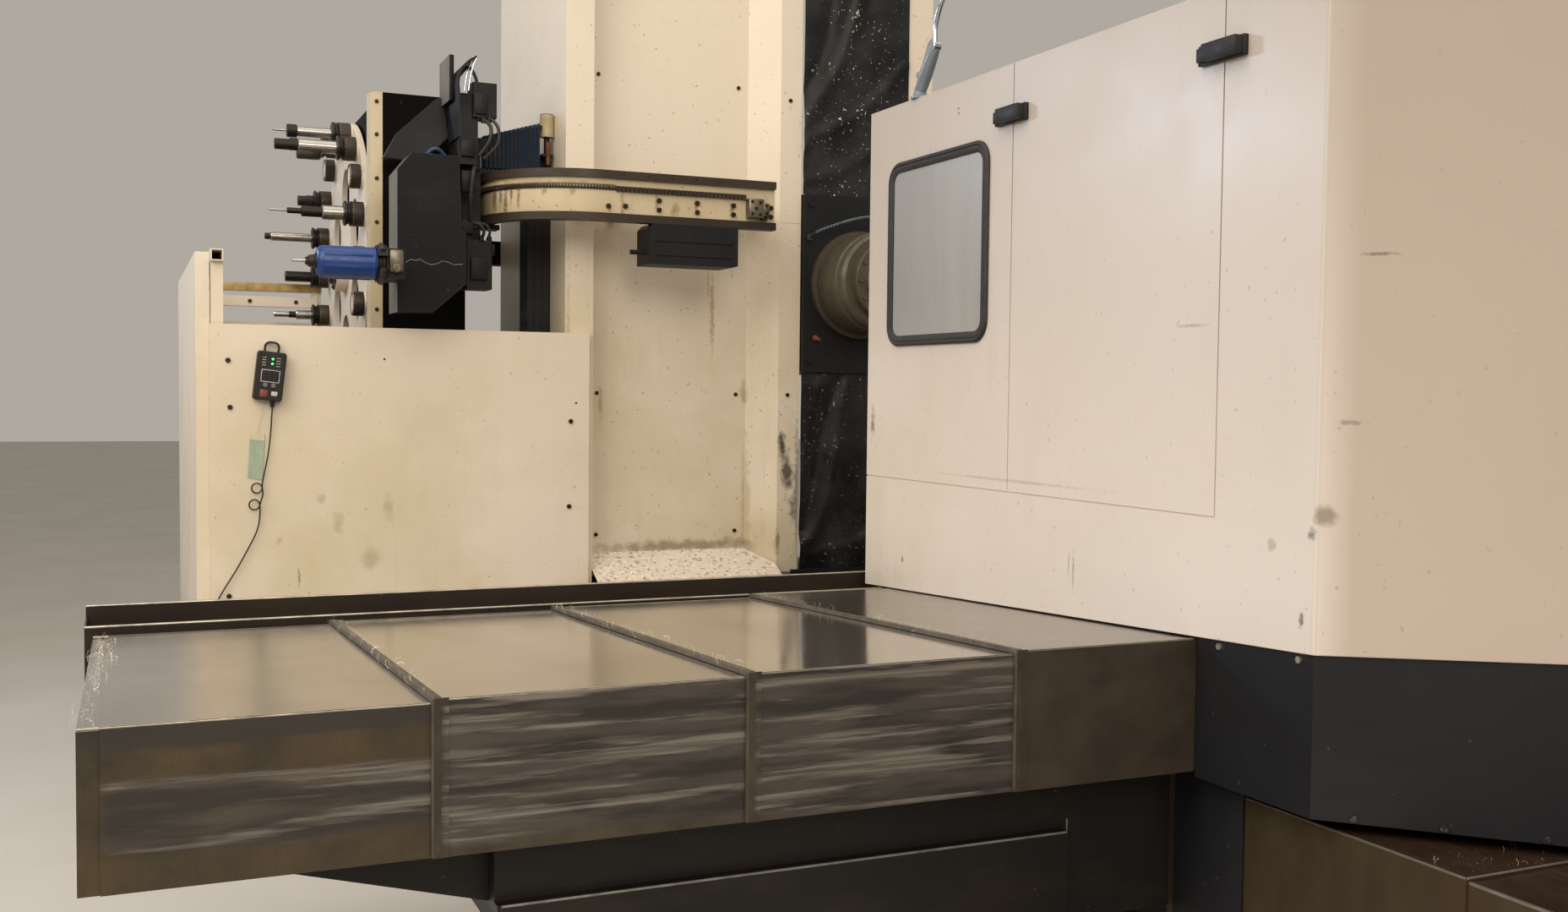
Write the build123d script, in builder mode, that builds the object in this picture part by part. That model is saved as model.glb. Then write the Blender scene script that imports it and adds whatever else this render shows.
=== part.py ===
from build123d import *
import math
import os

# Table-type horizontal boring mill. The origin lies on the floor, under the spindle axis and the table's
# centre line. +X runs to the right along the table's cross travel, +Y towards the column, +Z up.
# The spindle points along -Y. All sizes are in millimetres.

# Travels, from the rest place of each slide
cross_left = 1500
cross_right = 500
bed_back = 1100
bed_front_travel = 250
head_up = 750
head_down = 500
quill_out = 500

# Fits
fit = 0.3
glide = 0.3
guard_gap = 4

# Cross way covers, telescopic, four sections each side
cover_width = 1300
cover_edge_z = 1000
cover_side = 257
cover_drop = 64.5
cover_up = 6
cover_out = 4.3
cover_sheet = 2.5
cover_length = 900
cover_left_edges = (-2729, -2235, -1681, -1123)
cover_ratios = (0, 0.31, 0.655, 1)
wiper_length = 26
wiper_proud = 3
end_strip = 32
cover_bottom = cover_edge_z - cover_side
slope = cover_drop / cover_width
cover_near = -cover_width / 2
cover_far = cover_width / 2

# Table and its slide
table_x = 500
table_size_x = 1400
table_size_y = 1600
table_top = 1236
table_thickness = 130
t_slot_count = 7
t_slot_pitch = 200
t_slot_neck = 22
t_slot_neck_depth = 26
t_slot_head = 36
t_slot_head_depth = 16
turntable_radius = 590
slide_half = 700
slide_reach = 640
slide_top = 1046

# Saddle, which carries the cross ways and rides on the bed
way_top = 880
way_inner = 330
way_outer = 480
way_height = 60
beam_half_width = 500
beam_bottom = 760
saddle_half = 2105
saddle_reach = 530
saddle_bottom = 415
saddle_tip_z = 560
saddle_tip_start = 1300
saddle_belt_top = 614
saddle_belt_end = -919
saddle_belt_proud = 25

# Bed and its covers
bed_top = 640
bed_half = 560
bed_front = -1880
bed_rear = 3560
bed_way_inner = 380
bed_way_outer = 520
bed_way_height = 70
bed_underside = 60
bed_recess_half = 600
bed_recess_top = 660
bed_cover_half = 640
bed_cover_top = 710
bed_cover_bottom = 300
bed_cover_step_down = 6
bed_cover_step_in = 5
bed_cover_sheet = 3
front_cover_first = 770
front_cover_length = 910
rear_cover_length = 760
rear_cover_end = 2450

# Column, head and spindle
axis_z = 1940
column_left = -1150
column_right = -300
column_front = 2450
column_back = 3500
column_top = 3420
column_foot_z = 700
cover_face = 2270
recess_depth = 100
recess_left = -1095
recess_right = -438
recess_slope_end = -340
column_cover_left = -1202
curtain_left = -249
curtain_right = 225
guard_right = 333
sheet = 3
head_half_height = 350
head_front = 2275
head_back = 3300
head_plate_front = 2250
nose_front = 1970
snout_radius = 195
snout_front = 2010
ring_radius = 152
sleeve_radius = 110
quill_radius = 55
quill_nose = 1935

# Enclosure on the table slide
enclosure_half = 1194
enclosure_front = -1444
enclosure_chamfer = 450
enclosure_rear = 810
enclosure_top = 2323
panel = 30
seam_z = 1270
seam_rear_y = 50
seam_front_y = -715
seam_width = 4
seam_depth = 3
window_y = (153, 685)
window_z = (1644, 2158)
gasket_width = 35
window_corner = 60
skirt_bottom = 732
skirt_sheet = 4
skirt_rear_step = 27
skirt_rear = -slide_reach - skirt_rear_step
door_gap = 3
door_open_half = 694

# Chip trough
trough_near = 706
trough_far = 870
trough_near_top = 949
trough_far_top = 976
trough_floor = 722
trough_sheet = 4
trough_half = 51 - cover_left_edges[0]

# Tool changer rail and carriage
rail_face = 2030
rail_low = 2112
rail_high = 2291
rail_end = -467
rail_bend_x = -1135
rail_bend_y = 2380
rail_bend = 350
rail_tail = 2540
rail_plate = 25
track_height = 28
track_proud = 15
tool_axis_z = 1925

# Tool magazine
disc_y = column_front + 850
disc_z = 2000
disc_face = -1838
disc_thickness = 22
pot_circle = 550
pot_count = 20
pot_radius = 45
frame_left = -1816
frame_right = -1512
frame_front = column_front + 100
frame_back = column_back + 260
frame_top = 2595

# Guard round the magazine
guard_face = 2250
guard_left = -2472
guard_panel_left = -2431
guard_panel_right = -1114
guard_top = 1720
guard_side_top = 1960
guard_rail_depth = 50
guard_back = disc_y + pot_circle + pot_radius + 15 + guard_rail_depth
post_left = -2424
post_right = -2384
post_top = 1971
rear_rail_z = 1935

os.makedirs("parts", exist_ok=True)


def keep(piece, name):
    """Labels a finished piece and writes its file."""
    piece.part.label = name
    export_step(piece.part, f"parts/{name}.step")


def cover_outline(step, grow=0):
    """Corners of a cross cover's outside, near side first, for one step of size, in Y and Z."""
    near = cover_near - cover_out * step - grow
    far = cover_far + cover_out * step + grow
    top = cover_edge_z + cover_up * step + grow
    return [
        (near, cover_bottom),
        (near, top),
        (far, top - cover_drop),
        (far, cover_bottom),
    ]


def cover_inside(step, wall):
    """Corners of the hollow of the same cover, open at the bottom."""
    near = cover_near - cover_out * step + wall
    far = cover_far + cover_out * step - wall
    top = cover_edge_z + cover_up * step - wall
    return [
        (near, cover_bottom - 1),
        (near, top),
        (far, top - cover_drop),
        (far, cover_bottom - 1),
    ]


def cross_cover(step, outer_x, inner_x, wiper):
    """One folded section between its wiper edge and its inner end, with the wiper and the end frame."""
    direction = 1 if inner_x > outer_x else -1
    start = Plane(origin=(outer_x, 0, 0), x_dir=(0, 1, 0), z_dir=(1, 0, 0))
    finish = Plane(origin=(inner_x, 0, 0), x_dir=(0, 1, 0), z_dir=(1, 0, 0))
    with BuildPart() as section:
        with BuildSketch(start):
            with BuildLine():
                Polyline(*cover_outline(step), close=True)
            make_face()
            with BuildLine():
                Polyline(*cover_inside(step, cover_sheet), close=True)
            make_face(mode=Mode.SUBTRACT)
        extrude(amount=direction * abs(inner_x - outer_x))
        if wiper:
            with BuildSketch(start):
                with BuildLine():
                    Polyline(*cover_outline(step, wiper_proud - 1), close=True)
                make_face()
                with BuildLine():
                    Polyline(*cover_inside(step - 1, -glide), close=True)
                make_face(mode=Mode.SUBTRACT)
            extrude(amount=direction * wiper_length)
        with BuildSketch(finish):
            with BuildLine():
                Polyline(*cover_outline(step), close=True)
            make_face()
            with Locations((0, beam_bottom)):
                Rectangle(
                    2 * (slide_reach - 60), 2 * (way_top + 20 - beam_bottom),
                    align=(Align.CENTER, Align.CENTER), mode=Mode.SUBTRACT,
                )
        extrude(amount=-direction * cover_sheet)
    return section


def bed_cover_corners(step, gap):
    """Outside corners of a bed cover section in X and Z, grown by a gap."""
    half = bed_cover_half - bed_cover_step_in * step + gap
    top = bed_cover_top - bed_cover_step_down * step + gap
    return [(-half, bed_cover_bottom), (-half, top), (half, top), (half, bed_cover_bottom)]


def bed_cover(step, y_start, y_end, lip_at_start, lip):
    """One bed cover section along Y, with a wiping lip round the end that laps the next smaller section."""
    with BuildPart() as section:
        with BuildSketch(Plane.XZ.offset(-y_start)):
            with BuildLine():
                Polyline(*bed_cover_corners(step, 0), close=True)
            make_face()
            with BuildLine():
                Polyline(*bed_cover_corners(step, -bed_cover_sheet), close=True)
            make_face(mode=Mode.SUBTRACT)
        extrude(amount=-(y_end - y_start))
        if lip:
            with BuildSketch(Plane.XZ.offset(-y_start if lip_at_start else -(y_end - wiper_length))):
                with BuildLine():
                    Polyline(*bed_cover_corners(step, 0), close=True)
                make_face()
                with BuildLine():
                    Polyline(*bed_cover_corners(step + 1, glide), close=True)
                make_face(mode=Mode.SUBTRACT)
            extrude(amount=-wiper_length)
    return section


def folded(points, thickness):
    """Closed outline of a folded sheet: an open line and its parallel on the left, mitred at each bend."""
    normals = []
    for start, end in zip(points, points[1:]):
        run = math.dist(start, end)
        normals.append((-(end[1] - start[1]) / run, (end[0] - start[0]) / run))
    parallel = []
    for number, (x, y) in enumerate(points):
        before = normals[max(0, number - 1)]
        after = normals[min(len(normals) - 1, number)]
        mitre = thickness / (1 + before[0] * after[0] + before[1] * after[1])
        parallel.append((x + (before[0] + after[0]) * mitre, y + (before[1] + after[1]) * mitre))
    return list(points) + parallel[::-1]


# Bed: a cast base with two box ways and a wide rear platform under the column
with BuildPart() as z_bed:
    with BuildSketch(Plane.XZ.offset(-bed_front)):
        with BuildLine():
            Polyline(
                (-bed_half, bed_underside),
                (-bed_half, 250),
                (-bed_way_outer, 300),
                (-bed_way_outer, bed_top),
                (-bed_way_inner, bed_top),
                (-bed_way_inner, bed_top - bed_way_height),
                (bed_way_inner, bed_top - bed_way_height),
                (bed_way_inner, bed_top),
                (bed_way_outer, bed_top),
                (bed_way_outer, 300),
                (bed_half, 250),
                (bed_half, bed_underside),
                close=True,
            )
        make_face()
    extrude(amount=-(column_front + 10 - bed_front))
    with BuildSketch(Plane.XY.offset(bed_underside)):
        with Locations(((column_left - 30 + guard_right + 30) / 2, (column_front + 10 + bed_rear) / 2)):
            RectangleRounded(guard_right - column_left + 60, bed_rear - column_front - 10, 60)
    extrude(amount=column_foot_z - bed_underside)
    with Locations((0, (bed_front + column_front) / 2, bed_top - bed_way_height)):
        with GridLocations(0, 900, 1, 4):
            Box(
                2 * bed_way_inner - 160, 620, 160,
                align=(Align.CENTER, Align.CENTER, Align.MAX), mode=Mode.SUBTRACT,
            )
keep(z_bed, "z_bed")

# Levelling feet: a pad and a screw under each point of the bed
foot_pad_radius = 80
foot_pad_height = 34
foot_columns = (column_left + 70, (column_left + guard_right) / 2, guard_right - 90)
rear_foot_spots = [(x, y) for x in foot_columns for y in (column_front + 190, bed_rear - 140)]
with BuildPart() as leveling_feet:
    with BuildSketch(Plane.XY):
        with Locations(*[(x, y) for x in (-450, 0, 450) for y in (-1700, -850, 0, 850, 1700)]):
            Circle(foot_pad_radius)
        with Locations(*rear_foot_spots):
            Circle(foot_pad_radius)
    extrude(amount=foot_pad_height)
    with BuildSketch(Plane.XY.offset(foot_pad_height)):
        with Locations(*[(x, y) for x in (-450, 0, 450) for y in (-1700, -850, 0, 850, 1700)]):
            RegularPolygon(36, 6)
        with Locations(*rear_foot_spots):
            RegularPolygon(36, 6)
    extrude(amount=bed_underside - foot_pad_height)
keep(leveling_feet, "leveling_feet")

# Bed covers: three sections in front of the saddle and three behind it
front_first_edge = -saddle_reach - front_cover_first
front_last_edge = bed_front - 20
front_mid_edge = front_last_edge + 300
rear_first_edge = saddle_reach + rear_cover_length
rear_mid_edge = rear_first_edge + 580
z_cover_front_1 = bed_cover(0, front_first_edge, -saddle_reach, True, True)
keep(z_cover_front_1, "z_cover_front_1")
z_cover_front_2 = bed_cover(1, front_mid_edge, front_mid_edge + front_cover_length, True, True)
keep(z_cover_front_2, "z_cover_front_2")
with BuildPart() as z_cover_front_3:
    add(bed_cover(2, front_last_edge, front_last_edge + front_cover_length, True, False).part)
    with BuildSketch(Plane.XZ.offset(-front_last_edge)):
        with Locations((0, bed_underside + 30)):
            Rectangle(
                2 * (bed_cover_half - 2 * bed_cover_step_in), bed_cover_top - 2 * bed_cover_step_down
                - bed_underside - 30, align=(Align.CENTER, Align.MIN),
            )
    extrude(amount=-(bed_front - front_last_edge - fit))
keep(z_cover_front_3, "z_cover_front_3")
z_cover_rear_1 = bed_cover(0, saddle_reach, rear_first_edge, False, True)
keep(z_cover_rear_1, "z_cover_rear_1")
z_cover_rear_2 = bed_cover(1, rear_mid_edge - rear_cover_length, rear_mid_edge, False, True)
keep(z_cover_rear_2, "z_cover_rear_2")
with BuildPart() as z_cover_rear_3:
    add(bed_cover(2, rear_cover_end - rear_cover_length, rear_cover_end, False, False).part)
    with BuildSketch(Plane.XZ.offset(-rear_cover_end)):
        with BuildLine():
            half = bed_cover_half - 2 * bed_cover_step_in
            top = bed_cover_top - 2 * bed_cover_step_down
            Polyline((-half, 300), (-half, top), (half, top), (half, 300), close=True)
        make_face()
        with Locations((0, 299)):
            Rectangle(
                2 * bed_half + 2, bed_top + 4 - 299, align=(Align.CENTER, Align.MIN), mode=Mode.SUBTRACT,
            )
    extrude(amount=-(column_front + 10 - rear_cover_end - fit))
keep(z_cover_rear_3, "z_cover_rear_3")

# Saddle: a long casting that bridges the bed, with the cross ways on a beam that reaches past its ends
end_plate_x = cover_left_edges[0] - end_strip
beam_half = -end_plate_x - cover_sheet
with BuildPart() as saddle:
    with BuildSketch(Plane.YZ.offset(-beam_half)):
        with BuildLine():
            Polyline(
                (-beam_half_width, beam_bottom),
                (-beam_half_width, way_top - way_height),
                (-way_outer, way_top - way_height),
                (-way_outer, way_top),
                (-way_inner, way_top),
                (-way_inner, way_top - way_height),
                (way_inner, way_top - way_height),
                (way_inner, way_top),
                (way_outer, way_top),
                (way_outer, way_top - way_height),
                (beam_half_width, way_top - way_height),
                (beam_half_width, beam_bottom),
                close=True,
            )
        make_face()
    extrude(amount=2 * beam_half)
    with BuildSketch(Plane.XZ.offset(saddle_reach)):
        with BuildLine():
            Polyline(
                (-saddle_half, beam_bottom),
                (-saddle_half, saddle_tip_z),
                (-saddle_tip_start, saddle_bottom),
                (-bed_recess_half, saddle_bottom),
                (-bed_recess_half, bed_recess_top),
                (bed_recess_half, bed_recess_top),
                (bed_recess_half, saddle_bottom),
                (saddle_tip_start, saddle_bottom),
                (saddle_half, saddle_tip_z),
                (saddle_half, beam_bottom),
                close=True,
            )
        make_face()
    extrude(amount=-2 * saddle_reach)
    # the belt along the lower front edge, on both arms
    with BuildSketch(Plane.XZ.offset(saddle_reach + saddle_belt_proud)):
        with BuildLine():
            Polyline(
                (-saddle_half, saddle_belt_top),
                (-saddle_half, saddle_tip_z),
                (-saddle_tip_start, saddle_bottom),
                (saddle_belt_end, saddle_bottom),
                (saddle_belt_end, saddle_belt_top),
                close=True,
            )
        make_face()
        mirror(about=Plane.YZ)
    extrude(amount=-saddle_belt_proud)
    # shoes on the bed ways
    with BuildSketch(Plane.XY.offset(bed_top + fit)):
        with Locations((-450, 0), (450, 0)):
            Rectangle(150, 2 * saddle_reach)
    extrude(amount=bed_recess_top - bed_top - fit)
    # ribs under the overhanging beam ends
    with BuildSketch(Plane.XZ.offset(way_outer)):
        with BuildLine():
            Polyline(
                (-saddle_half, beam_bottom), (-beam_half + 60, beam_bottom), (-saddle_half, 600),
                close=True,
            )
        make_face()
        mirror(about=Plane.YZ)
    extrude(amount=-40)
    with BuildSketch(Plane.XZ.offset(-way_outer)):
        with BuildLine():
            Polyline(
                (-saddle_half, beam_bottom), (-beam_half + 60, beam_bottom), (-saddle_half, 600),
                close=True,
            )
        make_face()
        mirror(about=Plane.YZ)
    extrude(amount=40)
keep(saddle, "saddle")

# Cross way covers. The right ones mirror the left ones about the saddle's centre, with the table at rest.
def left_edge(index, table_centre):
    """Left edge of a left section when the table stands at a given place."""
    return cover_left_edges[index] + cover_ratios[index] * (table_centre - table_x)


slide_left = table_x - slide_half
slide_right = table_x + slide_half
for index in range(4):
    outer_edge = left_edge(index, table_x)
    inner_edge = slide_left if index == 3 else outer_edge + cover_length
    if index == 0:
        with BuildPart() as x_cover_left_1:
            add(cross_cover(0, outer_edge, inner_edge, False).part)
            with BuildSketch(Plane.YZ.offset(end_plate_x)):
                with BuildLine():
                    Polyline(*cover_outline(-1), close=True)
                make_face()
            extrude(amount=cover_sheet)
            with BuildSketch(Plane.YZ.offset(end_plate_x)):
                with BuildLine():
                    Polyline(*cover_outline(-1), close=True)
                make_face()
                with BuildLine():
                    Polyline(*cover_inside(-1, cover_sheet), close=True)
                make_face(mode=Mode.SUBTRACT)
            extrude(amount=end_strip + 12)
            with BuildSketch(Plane.YZ.offset(outer_edge)):
                with BuildLine():
                    Polyline(*cover_outline(0), close=True)
                make_face()
                with BuildLine():
                    Polyline(*cover_inside(-1, cover_sheet), close=True)
                make_face(mode=Mode.SUBTRACT)
            extrude(amount=12)
        keep(x_cover_left_1, "x_cover_left_1")
    else:
        section = cross_cover(index, outer_edge, inner_edge, True)
        keep(section, f"x_cover_left_{index + 1}")
for index in range(4):
    outer_edge = -left_edge(index, -table_x)
    inner_edge = slide_right if index == 3 else outer_edge - cover_length
    if index == 0:
        with BuildPart() as x_cover_right_1:
            add(cross_cover(0, outer_edge, inner_edge, False).part)
            with BuildSketch(Plane.YZ.offset(-end_plate_x)):
                with BuildLine():
                    Polyline(*cover_outline(-1), close=True)
                make_face()
            extrude(amount=-cover_sheet)
            with BuildSketch(Plane.YZ.offset(-end_plate_x)):
                with BuildLine():
                    Polyline(*cover_outline(-1), close=True)
                make_face()
                with BuildLine():
                    Polyline(*cover_inside(-1, cover_sheet), close=True)
                make_face(mode=Mode.SUBTRACT)
            extrude(amount=-end_strip - 12)
            with BuildSketch(Plane.YZ.offset(outer_edge)):
                with BuildLine():
                    Polyline(*cover_outline(0), close=True)
                make_face()
                with BuildLine():
                    Polyline(*cover_inside(-1, cover_sheet), close=True)
                make_face(mode=Mode.SUBTRACT)
            extrude(amount=-12)
        keep(x_cover_right_1, "x_cover_right_1")
    else:
        section = cross_cover(index, outer_edge, inner_edge, True)
        keep(section, f"x_cover_right_{index + 1}")

# Chip trough behind the cross covers, hung from the saddle's rear face
with BuildPart() as chip_trough:
    with BuildSketch(Plane.YZ.offset(-trough_half)):
        with BuildLine():
            Polyline(
                (trough_near, trough_near_top),
                (trough_near, trough_floor),
                (trough_far + trough_sheet, trough_floor),
                (trough_far + trough_sheet, trough_far_top),
                (trough_far, trough_far_top),
                (trough_far, trough_floor + trough_sheet),
                (trough_near + trough_sheet, trough_floor + trough_sheet),
                (trough_near + trough_sheet, trough_near_top),
                close=True,
            )
        make_face()
    extrude(amount=2 * trough_half)
    with BuildSketch(Plane.YZ.offset(-trough_half)):
        with BuildLine():
            Polyline(
                (trough_near, trough_floor), (trough_near, trough_near_top),
                (trough_far, trough_near_top), (trough_far, trough_floor), close=True,
            )
        make_face()
    extrude(amount=trough_sheet)
    with BuildSketch(Plane.YZ.offset(trough_half - trough_sheet)):
        with BuildLine():
            Polyline(
                (trough_near, trough_floor), (trough_near, trough_near_top),
                (trough_far, trough_near_top), (trough_far, trough_floor), close=True,
            )
        make_face()
    extrude(amount=trough_sheet)
    for bracket_x in (-1900, -1100, 1100, 1900):
        with BuildSketch(Plane.YZ.offset(bracket_x)):
            with BuildLine():
                Polyline(
                    (saddle_reach, 600), (saddle_reach, trough_floor), (trough_far - 20, trough_floor),
                    (trough_far - 20, trough_floor - 30), close=True,
                )
            make_face()
        extrude(amount=16)
keep(chip_trough, "chip_trough")

# Table slide: an inverted tray with shoes on the cross ways and a round seat for the turntable
with BuildPart() as table_slide:
    with BuildSketch(Plane.YZ.offset(slide_left)):
        with BuildLine():
            Polyline(
                (-slide_reach, beam_bottom + 5),
                (-slide_reach, slide_top),
                (slide_reach, slide_top),
                (slide_reach, beam_bottom + 5),
                (slide_reach - 60, beam_bottom + 5),
                (slide_reach - 60, way_top + 12),
                (way_outer - 5, way_top + 12),
                (way_outer - 5, way_top + fit),
                (way_inner + 5, way_top + fit),
                (way_inner + 5, way_top + 12),
                (-way_inner - 5, way_top + 12),
                (-way_inner - 5, way_top + fit),
                (-way_outer + 5, way_top + fit),
                (-way_outer + 5, way_top + 12),
                (-slide_reach + 60, way_top + 12),
                (-slide_reach + 60, beam_bottom + 5),
                close=True,
            )
        make_face()
    extrude(amount=2 * slide_half)
    with BuildSketch(Plane.XY.offset(slide_top)):
        with Locations((table_x, 0)):
            Circle(turntable_radius + 20)
    extrude(amount=24)
    seat_top = slide_top + 24
keep(table_slide, "table_slide")

# Rotary table with T-slots along X and a central locating bore
centre_bore_radius = 50
with BuildPart() as rotary_table:
    with BuildSketch(Plane.XY.offset(seat_top + fit)):
        with Locations((table_x, 0)):
            Circle(turntable_radius)
    extrude(amount=table_top - table_thickness - seat_top - fit)
    with BuildSketch(Plane.XY.offset(table_top - table_thickness)):
        with Locations((table_x, 0)):
            RectangleRounded(table_size_x, table_size_y, 20)
    extrude(amount=table_thickness)
    with BuildSketch(Plane.YZ.offset(table_x - table_size_x / 2)):
        for slot in range(t_slot_count):
            slot_y = (slot - (t_slot_count - 1) / 2) * t_slot_pitch
            with Locations((slot_y, table_top)):
                Rectangle(t_slot_neck, t_slot_neck_depth, align=(Align.CENTER, Align.MAX))
            with Locations((slot_y, table_top - t_slot_neck_depth)):
                Rectangle(t_slot_head, t_slot_head_depth, align=(Align.CENTER, Align.MAX))
    extrude(amount=table_size_x, mode=Mode.SUBTRACT)
    with Locations((table_x, 0, table_top)):
        Hole(centre_bore_radius, depth=table_thickness - 20)
keep(rotary_table, "rotary_table")

# Enclosure plan, from the rear of the left wall round the front to the rear of the right wall
wall_left = table_x - enclosure_half
wall_right = table_x + enclosure_half
corner_y = enclosure_front + enclosure_chamfer
enclosure_plan = [
    (wall_left, enclosure_rear),
    (wall_left, corner_y),
    (wall_left + enclosure_chamfer, enclosure_front),
    (wall_right - enclosure_chamfer, enclosure_front),
    (wall_right, corner_y),
    (wall_right, enclosure_rear),
]
guard_step = 3
floor_near = cover_edge_z + guard_step * cover_up + guard_gap


def slant(y):
    """Height of the enclosure's lower edge, a fixed gap above the widest cover."""
    return floor_near - slope * (y - cover_near)


door_foot = slant(enclosure_front) + 20
window_mid_y = (window_y[0] + window_y[1]) / 2
window_mid_z = (window_z[0] + window_z[1]) / 2
window_wide = window_y[1] - window_y[0]
window_high = window_z[1] - window_z[0]
with BuildPart() as enclosure:
    with BuildSketch(Plane.XY.offset(slant(enclosure_rear))):
        with BuildLine():
            Polyline(*folded(enclosure_plan, panel), close=True)
        make_face()
    extrude(amount=enclosure_top - slant(enclosure_rear))
    # everything below the slanted lower edge goes
    with BuildSketch(Plane.YZ.offset(wall_left - 50)):
        with BuildLine():
            Polyline(
                (enclosure_front - 50, slant(enclosure_front - 50)),
                (enclosure_rear + 50, slant(enclosure_rear + 50)),
                (enclosure_rear + 50, slant(enclosure_rear) - 200),
                (enclosure_front - 50, slant(enclosure_rear) - 200),
                close=True,
            )
        make_face()
    extrude(amount=2 * enclosure_half + 100, mode=Mode.SUBTRACT)
    # front door opening
    with BuildSketch(Plane.XZ.offset(-enclosure_front + 10)):
        with Locations((table_x, door_foot)):
            Rectangle(
                2 * door_open_half, enclosure_top + 50 - door_foot, align=(Align.CENTER, Align.MIN),
            )
    extrude(amount=-(panel + 20), mode=Mode.SUBTRACT)
    # windows in both side walls
    with BuildSketch(Plane.YZ.offset(wall_left - 50)):
        with Locations((window_mid_y, window_mid_z)):
            RectangleRounded(
                window_wide - 2 * gasket_width, window_high - 2 * gasket_width, window_corner - gasket_width,
            )
    extrude(amount=50 + panel + 50, mode=Mode.SUBTRACT)
    # seams between the panels, on the outside of both side walls
    for wall_x in (wall_left, wall_right):
        with Locations(
            (wall_x, seam_rear_y, (seam_z + enclosure_top) / 2),
            (wall_x, seam_front_y, (seam_z + enclosure_top) / 2),
        ):
            Box(2 * seam_depth, seam_width, enclosure_top - seam_z + 1, mode=Mode.SUBTRACT)
        with Locations((wall_x, (seam_front_y + enclosure_rear) / 2, seam_z)):
            Box(2 * seam_depth, enclosure_rear - seam_front_y + 1, seam_width, mode=Mode.SUBTRACT)
    # sloped floor sheets over the covers, between the slide and the side walls
    floor_sheet = 3
    for start_x, length in (
        (wall_left + panel, slide_left - wall_left - panel),
        (slide_right, wall_right - panel - slide_right),
    ):
        with BuildSketch(Plane.YZ.offset(start_x)):
            with BuildLine():
                Polyline(
                    (-slide_reach, slant(-slide_reach) + 2),
                    (enclosure_rear - 20, slant(enclosure_rear - 20) + 2),
                    (enclosure_rear - 20, slant(enclosure_rear - 20) + 2 + floor_sheet),
                    (-slide_reach, slant(-slide_reach) + 2 + floor_sheet),
                    close=True,
                )
            make_face()
        extrude(amount=length)
    # rear apron that drops the chips into the trough
    with BuildSketch(Plane.YZ.offset(slide_left)):
        with BuildLine():
            Polyline(
                (slide_reach, slide_top),
                (slide_reach, slide_top - floor_sheet),
                (enclosure_rear - 20, slant(enclosure_rear - 20) + 2),
                (enclosure_rear - 20, slant(enclosure_rear - 20) + 2 + floor_sheet),
                close=True,
            )
        make_face()
    extrude(amount=2 * slide_half)
keep(enclosure, "enclosure")

# Window gasket and pane, in the left wall
gasket_proud = 9
tube_wall = 8
pane_thickness = 6
with BuildPart() as window_gasket:
    with BuildSketch(Plane.YZ.offset(wall_left - gasket_proud)):
        with Locations((window_mid_y, window_mid_z)):
            RectangleRounded(window_wide, window_high, window_corner)
            RectangleRounded(
                window_wide - 2 * (gasket_width + tube_wall), window_high - 2 * (gasket_width + tube_wall),
                window_corner - gasket_width - tube_wall, mode=Mode.SUBTRACT,
            )
    extrude(amount=gasket_proud)
    fillet(window_gasket.edges().group_by(Axis.X)[0], 3)
    with BuildSketch(Plane.YZ.offset(wall_left)):
        with Locations((window_mid_y, window_mid_z)):
            RectangleRounded(
                window_wide - 2 * gasket_width - 2 * fit, window_high - 2 * gasket_width - 2 * fit,
                window_corner - gasket_width,
            )
            RectangleRounded(
                window_wide - 2 * (gasket_width + tube_wall), window_high - 2 * (gasket_width + tube_wall),
                window_corner - gasket_width - tube_wall, mode=Mode.SUBTRACT,
            )
    extrude(amount=panel)
keep(window_gasket, "window_gasket")
with BuildPart() as window_pane:
    with BuildSketch(Plane.YZ.offset(wall_left + 4)):
        with Locations((window_mid_y, window_mid_z)):
            RectangleRounded(
                window_wide - 2 * (gasket_width + tube_wall) - 2 * fit,
                window_high - 2 * (gasket_width + tube_wall) - 2 * fit,
                window_corner - gasket_width - tube_wall - fit,
            )
    extrude(amount=pane_thickness)
keep(window_pane, "window_pane")

# Stepped latch blocks across the panel seams
block_length = 134
block_height = 40
block_z = 2196
with BuildPart() as latch_blocks:
    for block_y in (seam_rear_y, seam_front_y):
        with Locations((wall_left, block_y, block_z)):
            Box(14, block_length, block_height, align=(Align.MAX, Align.CENTER, Align.CENTER))
        with Locations((wall_left - 14, block_y - block_length * 0.12, block_z + 3)):
            Box(22, block_length * 0.76, block_height - 6, align=(Align.MAX, Align.CENTER, Align.CENTER))
keep(latch_blocks, "latch_blocks")

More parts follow.
